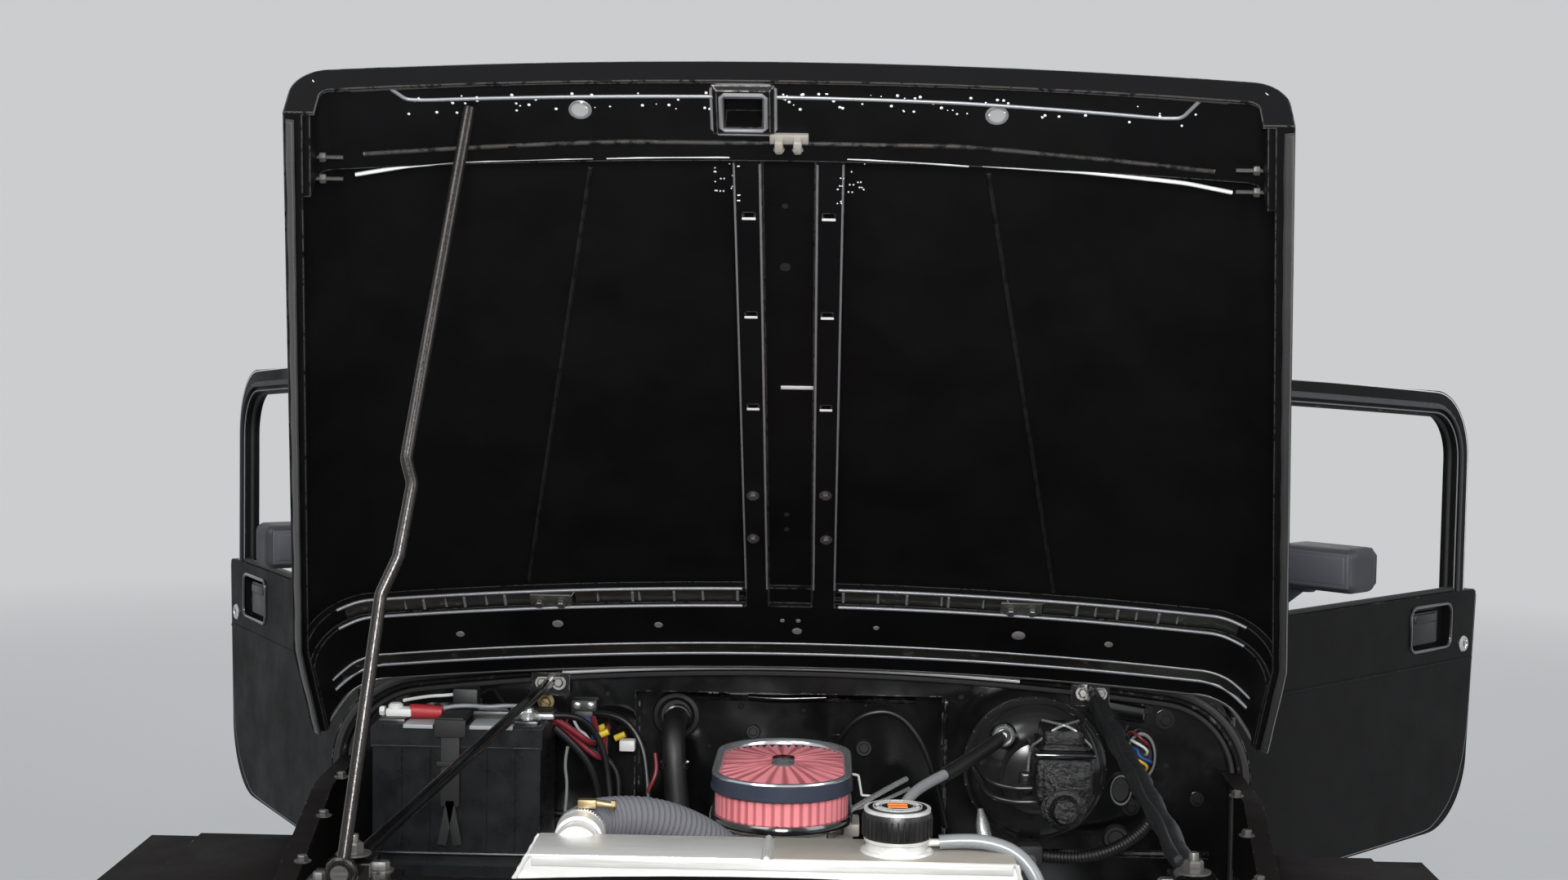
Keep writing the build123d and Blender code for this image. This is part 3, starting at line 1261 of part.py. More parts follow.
def make_shafts():
    """The propeller shafts to both axles."""
    z = tyre_radius + 20
    gap = seat_gap
    front = bar((front_diff_x, front_axle_y + 150, z), (-170, 450, 470), 30)
    rear = bar((0, 560, 480), (0, rear_axle_y - 160, z), 32)
    shafts = front & block(-300, 0, front_axle_y + pinion_long - 5 + gap, 380 - gap, 0, 900)
    shafts += rear & block(-100, 100, 600 + gap, rear_axle_y - pinion_long - 5 - gap, 0, 900)
    parts["propshafts"] = shafts


def build():
    """Makes every node."""
    make_bonnet()
    make_cowl()
    make_floor()
    for name, side in sides:
        make_side(name, side)
        make_door(name, side)
        make_wing(name, side)
        make_knuckle(name, side)
    make_grille()
    make_lamps()
    make_frame()
    make_bumpers()
    make_wheels()
    make_tailgate()
    make_axles()
    make_tie_rod()
    make_suspension()
    make_engine()
    make_air_cleaner()
    make_radiator()
    make_hose()
    make_battery()
    make_booster()
    make_bay_hoses()
    make_braces()
    make_prop()
    make_windscreen()
    make_dash()
    make_steering_wheel()
    make_seats()
    make_roll_bar()
    make_tank_and_exhaust()
    make_shafts()


def place_on_floor():
    """The move that puts the part's frame on the floor at the middle of its bounding box."""
    boxes = [shape.bounding_box() for shape in parts.values()]
    x = (min(b.min.X for b in boxes) + max(b.max.X for b in boxes)) / 2
    y = (min(b.min.Y for b in boxes) + max(b.max.Y for b in boxes)) / 2
    return Pos(-x, -y, 0)


build()
place = place_on_floor()
os.makedirs("parts", exist_ok=True)
for node, shape in parts.items():
    export_step(place * shape, f"parts/{node}.step")
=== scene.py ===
"""Looks of a compact off-road vehicle with its bonnet propped up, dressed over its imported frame."""

import json
import logging
import math
from dataclasses import dataclass
from enum import Enum
from typing import Optional, Sequence

import bmesh
import bpy
from mathutils import Matrix, Vector


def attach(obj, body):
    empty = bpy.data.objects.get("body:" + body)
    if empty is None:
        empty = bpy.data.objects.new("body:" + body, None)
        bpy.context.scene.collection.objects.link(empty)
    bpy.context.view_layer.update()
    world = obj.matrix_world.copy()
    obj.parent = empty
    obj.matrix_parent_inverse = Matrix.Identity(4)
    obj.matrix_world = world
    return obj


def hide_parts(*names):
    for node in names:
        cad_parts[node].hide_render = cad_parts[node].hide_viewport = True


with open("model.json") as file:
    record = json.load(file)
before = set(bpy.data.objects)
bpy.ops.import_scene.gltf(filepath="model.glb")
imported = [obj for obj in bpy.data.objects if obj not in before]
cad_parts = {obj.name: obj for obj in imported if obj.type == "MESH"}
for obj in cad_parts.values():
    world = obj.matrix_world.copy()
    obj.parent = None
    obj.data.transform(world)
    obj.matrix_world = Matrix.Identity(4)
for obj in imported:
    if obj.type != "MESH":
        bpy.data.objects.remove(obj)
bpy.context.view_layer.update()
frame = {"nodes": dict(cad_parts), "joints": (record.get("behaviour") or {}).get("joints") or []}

Point = tuple[float, float, float]
Row = tuple[float, ...]
Bmesh = bmesh.types.BMesh
Socket = bpy.types.NodeSocket
Tree = bpy.types.NodeTree

log = logging.getLogger("vehicle")

UP, FORWARD, REARWARD, ACROSS = (0, 0, 1), (0, -1, 0), (0, 1, 0), (1, 0, 0)


class Side(Enum):
    """The vehicle's two sides, as its driver sees them, with the sign of their X."""

    LEFT = 1
    RIGHT = -1


class Coat(Enum):
    """How paint catches the light: its roughness, the strength of its clear coat, and its specular level."""

    WET = (0.16, 0.9, 0.5)
    GLOSS = (0.30, 0.25, 0.4)
    SATIN = (0.50, 0.0, 0.10)
    DULL = (0.66, 0.0, 0.05)
    CHASSIS = (0.58, 0.0, 0.25)


# The frame's origin is under the middle of the bounding box. The builder of the solids measured from the
# middle of the vehicle at the bonnet's hinge line, so pieces are placed from there and moved by this much.
HINGE = next(j["pos_m"] for j in frame["joints"] if j["name"] == "bonnet_swing")
MIDDLE = Vector((HINGE[0], HINGE[1] - 0.001, 0.0))


def linear(colour: str, alpha: float = 1.0) -> tuple[float, float, float, float]:
    """Turns an sRGB hex colour into linear light.

    Args:
        colour: six hex digits after a hash.
        alpha: the fourth channel.

    Returns:
        Red, green, blue and alpha for a node socket.
    """
    values = [int(colour[i:i + 2], 16) / 255 for i in (1, 3, 5)]
    light = [v / 12.92 if v <= 0.04045 else ((v + 0.055) / 1.055) ** 2.4 for v in values]
    return (light[0], light[1], light[2], alpha)


def add_node(tree: Tree, kind: str, settings: Optional[dict] = None, links: Optional[dict] = None,
             values: Optional[dict] = None) -> bpy.types.Node:
    """Adds a shader node.

    Args:
        tree: the material's node tree.
        kind: the node's type, such as "ShaderNodeMix".
        settings: attributes of the node itself.
        links: input name or number to the output socket that feeds it.
        values: input name or number to its plain value.

    Returns:
        The new node.
    """
    item = tree.nodes.new(kind)
    for key, value in (settings or {}).items():
        setattr(item, key, value)
    for key, value in (values or {}).items():
        item.inputs[key].default_value = value
    for key, socket in (links or {}).items():
        tree.links.new(socket, item.inputs[key])
    return item


def ramp(tree: Tree, factor: Socket, stops: Sequence[tuple[float, float]]) -> Socket:
    """Maps a factor through grey stops.

    Args:
        tree: the material's node tree.
        factor: what is mapped.
        stops: position and grey level of each stop.

    Returns:
        The ramp's colour output.
    """
    item = add_node(tree, "ShaderNodeValToRGB", links={"Fac": factor})
    ends = item.color_ramp.elements
    for i, (place, level) in enumerate(stops):
        stop = ends[i] if i < len(ends) else ends.new(place)
        stop.position = place
        stop.color = (level, level, level, 1)
    return item.outputs["Color"]


@dataclass(frozen=True)
class Finish:
    """One surface finish: what it is made of, and how its maker left it."""

    name: str
    colour: str
    roughness: float = 0.5
    metallic: float = 0.0

    def material(self) -> bpy.types.Material:
        """Returns the finish's material, made on first use."""
        made = bpy.data.materials.get(self.name)
        if made:
            return made
        made = bpy.data.materials.new(self.name)
        made.use_nodes = True
        tree = made.node_tree
        shader = tree.nodes["Principled BSDF"]
        shader.inputs["Base Color"].default_value = linear(self.colour)
        shader.inputs["Roughness"].default_value = self.roughness
        shader.inputs["Metallic"].default_value = self.metallic
        made.diffuse_color = linear(self.colour)
        self.detail(tree, shader)
        return made

    def detail(self, tree: Tree, shader: bpy.types.Node) -> None:
        """Adds what this kind of surface shows up close; a plain finish adds fine unevenness."""
        self.unevenness(tree, shader, 40.0, 0.05)

    def place(self, tree: Tree) -> Socket:
        """Returns the object coordinates, in metres."""
        return add_node(tree, "ShaderNodeTexCoord").outputs["Object"]

    def noise(self, tree: Tree, scale: float, detail: float = 4.0, rough: float = 0.6) -> Socket:
        """Returns noise with this many features to the metre."""
        item = add_node(tree, "ShaderNodeTexNoise", links={"Vector": self.place(tree)},
                        values={"Scale": scale, "Detail": detail, "Roughness": rough})
        return item.outputs["Fac"]

    def bump(self, tree: Tree, shader: bpy.types.Node, height: Socket, depth: float) -> None:
        """Bends the shader's normal by a height map of this depth in metres."""
        item = add_node(tree, "ShaderNodeBump", links={"Height": height},
                        values={"Strength": 1.0, "Distance": depth})
        tree.links.new(item.outputs["Normal"], shader.inputs["Normal"])

    def unevenness(self, tree: Tree, shader: bpy.types.Node, scale: float, spread: float) -> None:
        """Varies the roughness a little, as handling and dust do."""
        level = add_node(tree, "ShaderNodeMapRange", links={"Value": self.noise(tree, scale)},
                         values={"From Min": 0.3, "From Max": 0.7, "To Min": self.roughness - spread,
                                 "To Max": self.roughness + spread})
        tree.links.new(level.outputs["Result"], shader.inputs["Roughness"])


@dataclass(frozen=True)
class PaintedSteel(Finish):
    """Sprayed enamel on pressed steel: faint orange peel, dust, and bare metal where edges are knocked."""

    coat: Coat = Coat.SATIN
    wear: float = 0.5
    edge: float = 0.0025
    wave: float = 0.0

    def detail(self, tree: Tree, shader: bpy.types.Node) -> None:
        """Adds orange peel of about 3 mm, a dusty unevenness, and specks of metal along the edges.

        Args:
            tree: the material's node tree.
            shader: its principled shader.
        """
        rough, clear, specular = self.coat.value
        shader.inputs["Coat Weight"].default_value = clear
        shader.inputs["Specular IOR Level"].default_value = specular
        shader.inputs["Coat Roughness"].default_value = 0.12
        self.bump(tree, shader, self.noise(tree, 320.0, 2.0), 0.00012)
        if self.wave:
            peel = shader.inputs["Normal"].links[0].from_node
            panel = add_node(tree, "ShaderNodeBump", links={"Height": self.noise(tree, 7.0, 1.0, 0.3)},
                             values={"Strength": 1.0, "Distance": self.wave})
            tree.links.new(panel.outputs["Normal"], peel.inputs["Normal"])
        worn = self.worn_edges(tree)
        dust = self.noise(tree, 9.0, 6.0)
        level = add_node(tree, "ShaderNodeMapRange", links={"Value": dust},
                         values={"From Min": 0.35, "From Max": 0.7, "To Min": rough - 0.06,
                                 "To Max": rough + 0.12})
        mix_rough = add_node(tree, "ShaderNodeMix", {"data_type": "FLOAT"},
                             {0: worn, 2: level.outputs["Result"]}, {3: 0.42})
        tree.links.new(mix_rough.outputs[0], shader.inputs["Roughness"])
        film = add_node(tree, "ShaderNodeMix", {"data_type": "RGBA"}, {0: dust},
                        {6: linear(self.colour), 7: self.dusty()})
        paint = add_node(tree, "ShaderNodeMix", {"data_type": "RGBA"},
                         {0: worn, 6: film.outputs[2]}, {7: linear("#8d8a85")})
        tree.links.new(paint.outputs[2], shader.inputs["Base Color"])
        tree.links.new(worn, shader.inputs["Metallic"])

    def dusty(self) -> tuple[float, float, float, float]:
        """Returns the paint's colour under a film of dust."""
        r, g, b, a = linear(self.colour)
        return (r * 1.4 + 0.002, g * 1.4 + 0.002, b * 1.4 + 0.002, a)

    def worn_edges(self, tree: Tree) -> Socket:
        """Returns a mask of knocked edges: where a rounded normal leaves the true one, broken up by noise.

        Args:
            tree: the material's node tree.

        Returns:
            The mask, 1 where the metal is bare.
        """
        soft = add_node(tree, "ShaderNodeBevel", {"samples": 4}, values={"Radius": self.edge})
        true = add_node(tree, "ShaderNodeNewGeometry")
        dot = add_node(tree, "ShaderNodeVectorMath", {"operation": "DOT_PRODUCT"},
                       {0: soft.outputs["Normal"], 1: true.outputs["Normal"]})
        edge = add_node(tree, "ShaderNodeMapRange", links={"Value": dot.outputs["Value"]},
                        values={"From Min": 0.995, "From Max": 0.9, "To Min": 0.0, "To Max": 1.0})
        stops = ((0.62 - 0.22 * self.wear, 0.0), (0.70 - 0.20 * self.wear, 1.0))
        patches = ramp(tree, self.noise(tree, 55.0, 8.0, 0.75), stops)
        both = add_node(tree, "ShaderNodeMath", {"operation": "MULTIPLY"},
                        {0: edge.outputs["Result"], 1: patches})
        return both.outputs[0]


@dataclass(frozen=True)
class Moulded(Finish):
    """Injection-moulded plastic with a fine spark-eroded grain of about 1 mm, drawn 2 mm to show."""

    grain: float = 0.0002

    def detail(self, tree: Tree, shader: bpy.types.Node) -> None:
        """Adds the grain and a slight unevenness."""
        self.unevenness(tree, shader, 30.0, 0.06)
        self.bump(tree, shader, self.noise(tree, 600.0, 3.0), self.grain)


@dataclass(frozen=True)
class TyreRubber(Finish):
    """Carbon-black tyre rubber: dull, a little grey with dust, and finely pitted."""

    def detail(self, tree: Tree, shader: bpy.types.Node) -> None:
        """Adds dust in broad patches and pits of a millimetre.

        Args:
            tree: the material's node tree.
            shader: its principled shader.
        """
        dust = ramp(tree, self.noise(tree, 14.0, 8.0), ((0.4, 0.0), (0.75, 0.55)))
        colour = add_node(tree, "ShaderNodeMix", {"data_type": "RGBA"}, {0: dust},
                          {6: linear(self.colour), 7: linear("#3a3836")})
        tree.links.new(colour.outputs[2], shader.inputs["Base Color"])
        self.bump(tree, shader, self.noise(tree, 500.0, 4.0), 0.0003)


@dataclass(frozen=True)
class Brushed(Finish):
    """Bare metal with drawn or sanded lines of about half a millimetre along one axis."""

    stretch: Point = (0.02, 1.0, 1.0)
    stain: float = 0.15

    def detail(self, tree: Tree, shader: bpy.types.Node) -> None:
        """Adds the lines as bump and roughness, and blotches where hands and heat have stained it.

        Args:
            tree: the material's node tree.
            shader: its principled shader.
        """
        lines = add_node(tree, "ShaderNodeMapping", links={"Vector": self.place(tree)},
                         values={"Scale": self.stretch})
        grain = add_node(tree, "ShaderNodeTexNoise", links={"Vector": lines.outputs["Vector"]},
                         values={"Scale": 900.0, "Detail": 2.0})
        level = add_node(tree, "ShaderNodeMapRange", links={"Value": grain.outputs["Fac"]},
                         values={"From Min": 0.3, "From Max": 0.7, "To Min": self.roughness - 0.1,
                                 "To Max": self.roughness + 0.12})
        tree.links.new(level.outputs["Result"], shader.inputs["Roughness"])
        self.bump(tree, shader, grain.outputs["Fac"], 0.00006)
        r, g, b, a = linear(self.colour)
        dull = 1 - self.stain
        blot = add_node(tree, "ShaderNodeMix", {"data_type": "RGBA"}, {0: self.noise(tree, 22.0, 6.0)},
                        {6: (r, g, b, a), 7: (r * dull, g * dull, b * dull * 0.97, a)})
        tree.links.new(blot.outputs[2], shader.inputs["Base Color"])


@dataclass(frozen=True)
class CastIron(Finish):
    """Sand-cast iron under thin paint and oil: grains of 2 to 4 mm, and oily patches."""

    grains: float = 380.0
    depth: float = 0.0006

    def detail(self, tree: Tree, shader: bpy.types.Node) -> None:
        """Adds casting grain and oil stains."""
        self.bump(tree, shader, self.noise(tree, self.grains, 5.0), self.depth)
        self.unevenness(tree, shader, 18.0, 0.16)


@dataclass(frozen=True)
class Vinyl(Finish):
    """Grained seat vinyl: creases of 3 mm and a soft sheen where it is sat on."""

    def detail(self, tree: Tree, shader: bpy.types.Node) -> None:
        """Adds the pressed leather grain.

        Args:
            tree: the material's node tree.
            shader: its principled shader.
        """
        cells = add_node(tree, "ShaderNodeTexVoronoi", {"feature": "DISTANCE_TO_EDGE"},
                         {"Vector": self.place(tree)}, {"Scale": 330.0})
        self.bump(tree, shader, cells.outputs["Distance"], 0.0012)
        self.unevenness(tree, shader, 12.0, 0.08)


@dataclass(frozen=True)
class PleatedCotton(Finish):
    """Oiled red gauze over wire mesh: a weave of 1.5 mm, and painted shade darkening the folds that fan out."""

    fan: tuple[float, float] = (0.0, 0.0)
    folds: float = 34.0
    shade: str = "#74262c"

    def detail(self, tree: Tree, shader: bpy.types.Node) -> None:
        """Adds the wire mesh as a fine check, and painted shade between the folds.

        Args:
            tree: the material's node tree.
            shader: its principled shader.
        """
        weave = add_node(tree, "ShaderNodeTexChecker", links={"Vector": self.place(tree)},
                         values={"Scale": 650.0})
        self.bump(tree, shader, weave.outputs["Fac"], 0.0003)
        spot = add_node(tree, "ShaderNodeVectorMath", {"operation": "SUBTRACT"}, {0: self.place(tree)},
                        {1: (self.fan[0] + MIDDLE.x, self.fan[1] + MIDDLE.y, 0.0)})
        parts = add_node(tree, "ShaderNodeSeparateXYZ", links={0: spot.outputs[0]})
        turn = add_node(tree, "ShaderNodeMath", {"operation": "ARCTAN2"},
                        {0: parts.outputs[1], 1: parts.outputs[0]})
        count = add_node(tree, "ShaderNodeMath", {"operation": "MULTIPLY"}, {0: turn.outputs[0]},
                         {1: self.folds})
        wave = add_node(tree, "ShaderNodeMath", {"operation": "SINE"}, {0: count.outputs[0]})
        fold = add_node(tree, "ShaderNodeMapRange", links={"Value": wave.outputs[0]},
                        values={"From Min": -0.2, "From Max": 0.9, "To Min": 0.0, "To Max": 0.8})
        # The darker colour mixed in along the folds is painted shade.
        oil = add_node(tree, "ShaderNodeMix", {"data_type": "RGBA"}, {0: fold.outputs["Result"]},
                       {6: linear(self.colour), 7: linear(self.shade)})
        tree.links.new(oil.outputs[2], shader.inputs["Base Color"])


@dataclass(frozen=True)
class ClearGlass(Finish):
    """Float glass or a clear lens, faintly tinted."""

    tint: float = 0.9

    def detail(self, tree: Tree, shader: bpy.types.Node) -> None:
        """Lets the light through and dusts the surface.

        Args:
            tree: the material's node tree.
            shader: its principled shader.
        """
        shader.inputs["Transmission Weight"].default_value = self.tint
        shader.inputs["IOR"].default_value = 1.5
        self.unevenness(tree, shader, 6.0, 0.02)


@dataclass(frozen=True)
class Chrome(Finish):
    """Electroplated chrome: mirror bright with faint haze."""

    def detail(self, tree: Tree, shader: bpy.types.Node) -> None:
        """Adds the haze of fine scratches."""
        self.unevenness(tree, shader, 80.0, 0.03)


# Sprayed enamel over pressed steel, blacker the glossier it is, with bare metal where its edges are knocked.
BONNET_PAINT = PaintedSteel("bonnet_black_enamel", "#060607", coat=Coat.SATIN, wear=0.9, edge=0.003)
WING_PAINT = PaintedSteel("wing_brown_black_enamel", "#0c0908", coat=Coat.DULL, wear=0.3)
BODY_PAINT = PaintedSteel("body_black_enamel", "#090808", coat=Coat.GLOSS, wear=0.25)
SATIN_PAINT = PaintedSteel("satin_black_enamel", "#0a0a0b", coat=Coat.SATIN, wear=0.35)
BAY_PAINT = PaintedSteel("bay_black_enamel", "#050506", coat=Coat.WET, wear=0.6, edge=0.003, wave=0.010)
CHASSIS_PAINT = PaintedSteel("chassis_black", "#101010", coat=Coat.CHASSIS, wear=0.5)
WHEEL_PAINT = PaintedSteel("wheel_black", "#131314", coat=Coat.SATIN, wear=0.2)
BOOSTER_PAINT = PaintedSteel("booster_black", "#070708", coat=Coat.WET, wear=0.45)
GLOSS_BLACK = PaintedSteel("gloss_black_enamel", "#08080a", coat=Coat.WET, wear=0.15)
# The strip and hem enamels are lighter grey than the bonnet's own: a painted sheen along the strips and hems,
# over real bare-metal wear.
PAINTED_SHEEN_STRIP = PaintedSteel("strip_enamel", "#4a4a4c", coat=Coat.GLOSS, wear=1.4, edge=0.003)
WORN_HEM_SHEEN = PaintedSteel("worn_hem_enamel", "#333334", coat=Coat.GLOSS, wear=1.8, edge=0.005)
# Enamel rubbed through to the steel along a fold is dull grey metal, lightened into a painted highlight along
# the folds; the near-white lips are painted highlights on bare steel, the holes are discs of painted shadow,
# and the plugs are plain.
RUBBED_EDGE_HIGHLIGHT = Finish("rubbed_edge_steel", "#808184", 0.42, 0.45)
BARE_STEEL_HIGHLIGHT = Finish("bare_lip_steel", "#dcdddd", 0.45, 0.35)
PAINTED_HOLE_SHADOW = Finish("hole_shadow", "#020202", 0.9)
PALE_PLUG = Finish("pale_plug_plastic", "#8f9090", 0.7)
DUSTY_PLUG = Finish("dusty_plug_rubber", "#6a6865", 0.85)
# Rubber, plastics and vinyl are moulded, so they are dull, even and finely grained.
TYRE = TyreRubber("tyre_rubber", "#191918", roughness=0.82)
TRIM = Moulded("black_abs", "#131416", roughness=0.5)
MIRROR_SHELL = Moulded("grey_asa", "#292a30", roughness=0.55)
MIRROR_FACE = Moulded("pale_grey_asa", "#47484f", roughness=0.5)
PALE_PANEL = Moulded("pale_polypropylene", "#8e9296", roughness=0.45)
PALE_PLASTIC = Moulded("natural_nylon", "#c3c4c2", roughness=0.45)
CAP_BAKELITE = Moulded("phenolic_black", "#0d0d0e", roughness=0.35)
STRAP_RUBBER = Moulded("epdm_black", "#0e0e0f", roughness=0.7)
SEAL_RUBBER = Moulded("seal_rubber", "#0b0b0c", roughness=0.6)
CHANNEL_FELT = Moulded("channel_felt", "#3c3d40", roughness=0.9, grain=0.0006)
FOAM_SLEEVE = Moulded("roll_bar_foam", "#161617", roughness=0.85, grain=0.0005)
SEAT_VINYL = Vinyl("seat_vinyl", "#1a1918", roughness=0.48)
PIPING = Vinyl("seat_piping", "#2b2a28", roughness=0.45)
# Brushed and drawn metals catch the light in lines; castings stay rough under their paint.
ALUMINIUM = Brushed("brushed_aluminium", "#dddddb", roughness=0.38, metallic=0.55)
DULL_ALUMINIUM = Brushed("weathered_aluminium", "#a8a39b", roughness=0.5, metallic=0.4, stain=0.3)
STAINLESS = Brushed("drawn_stainless", "#c8c9ca", roughness=0.28, metallic=0.8, stain=0.1)
BRASS = Brushed("turned_brass", "#9c8a68", roughness=0.38, metallic=0.85, stain=0.3)
WORN_STEEL = Brushed("zinc_plated_steel", "#6e6d6a", roughness=0.42, metallic=0.75, stain=0.5)
ROD_STEEL = Brushed("rubbed_rod", "#33302f", roughness=0.24, metallic=0.6, stretch=(1.0, 1.0, 0.05), stain=0.6)
EXHAUST = Brushed("heated_steel", "#7b7570", roughness=0.45, metallic=1.0, stain=0.4)
IRON = CastIron("cast_iron_painted", "#1b1b1d", roughness=0.55, metallic=0.2)
ROUGH_CASTING = CastIron("wet_black_casting", "#141415", roughness=0.24, metallic=0.3, grains=125.0,
                         depth=0.0045)
# The filter's gauze is dyed by its oil, with painted shade darkening its folds. Hoses and leads are extruded,
# so almost smooth.
COTTON = PleatedCotton("filter_cotton", "#d97f86", roughness=0.75, fan=(0.0, -0.475), folds=76.0,
                       shade="#96454b")
LID_COTTON = PleatedCotton("filter_lid_cotton", "#dd858d", roughness=0.7, fan=(0.0, -0.475), folds=32.0,
                           shade="#8a3c42")
HOSE = Moulded("hose_rubber", "#47484a", roughness=0.6, grain=0.0001)
HOSE_BLACK = Moulded("hose_black_rubber", "#101011", roughness=0.5, grain=0.0001)
LOOM_TAPE = Moulded("loom_tape", "#151617", roughness=0.45, grain=0.0003)
CABLE_BLACK, CABLE_RED, CABLE_GREY, CABLE_WHITE, CABLE_BLUE, CABLE_YELLOW, YELLOW_SLEEVE, RED_SLEEVE = (
    Moulded(f"pvc_{name}", colour, roughness=0.4, grain=0.00005) for name, colour in (
        ("black", "#0e0e0f"), ("red", "#6a1c24"), ("grey", "#77797b"), ("white", "#c9cac8"),
        ("blue", "#24529c"),
        ("yellow", "#c4a324"), ("yellow_sleeve", "#c9ab28"), ("red_sleeve", "#96262c")))
PALE_PRINT = Moulded("pale_print", "#9a9b9a", roughness=0.5)
ORANGE_PRINT = Moulded("orange_print", "#c86a2a", roughness=0.5)
# Plated parts mirror the room, and glass and lenses let it through.
CHROME = Chrome("chrome_plate", "#c9ccd0", roughness=0.16, metallic=0.85)
# The band's chrome has a dark blue-grey base colour: a painted reflection of the dark bay around it.
BAND_CHROME = Chrome("blued_chrome", "#4a5160", roughness=0.24, metallic=0.6)
CLEAR = ClearGlass("float_glass", "#eef4f2", roughness=0.03)
LENS = ClearGlass("lamp_glass", "#f2f4f4", roughness=0.08, tint=0.7)
RED_LENS = ClearGlass("red_acrylic", "#a01018", roughness=0.1, tint=0.35)
AMBER_LENS = ClearGlass("amber_acrylic", "#d87a10", roughness=0.1, tint=0.35)
CLEAR_HOSE = ClearGlass("clear_pvc_hose", "#84888a", roughness=0.3, tint=0.35)
BATTERY_CASE = Moulded("battery_polypropylene", "#0d0e10", roughness=0.3)

NODE_FINISHES: dict[str, Finish] = {
    "air_cleaner": COTTON, "axles": CHASSIS_PAINT, "bay_hoses": HOSE_BLACK, "battery": BATTERY_CASE,
    "bonnet": BONNET_PAINT,
    "bonnet_inner": BONNET_PAINT, "brake_booster": BOOSTER_PAINT, "bumpers": CHASSIS_PAINT,
    "cowl": BAY_PAINT, "dash": TRIM, "door_left": SATIN_PAINT, "door_right": SATIN_PAINT, "engine": IRON,
    "exhaust": EXHAUST, "floor": SATIN_PAINT, "frame_members": CHASSIS_PAINT, "frame_rails": CHASSIS_PAINT,
    "fuel_tank": TRIM, "grille": BODY_PAINT, "grille_braces": BAY_PAINT, "knuckle_left": CHASSIS_PAINT,
    "knuckle_right": CHASSIS_PAINT, "lamps": LENS, "mirror_left": MIRROR_SHELL, "mirror_right": MIRROR_SHELL,
    "prop_rod": ROD_STEEL, "propshafts": CHASSIS_PAINT, "radiator": ALUMINIUM, "roll_bar": SATIN_PAINT,
    "seats": SEAT_VINYL, "side_left": BODY_PAINT, "side_right": BODY_PAINT, "steering_wheel": TRIM,
    "suspension": CHASSIS_PAINT, "tailgate": BODY_PAINT, "tie_rod": CHASSIS_PAINT, "upper_hose": HOSE,
    "windscreen_frame": BODY_PAINT, "windscreen_glass": CLEAR, "wing_left": WING_PAINT,
    "wing_right": WING_PAINT,
}


def finish_for(node: str) -> Finish:
    """Returns the finish of a CAD node by its name.

    Args:
        node: the node's name.

    Returns:
        Its finish.
    """
    if node.startswith("tyre"):
        return TYRE
    if node.startswith("rim"):
        return WHEEL_PAINT
    return NODE_FINISHES[node]


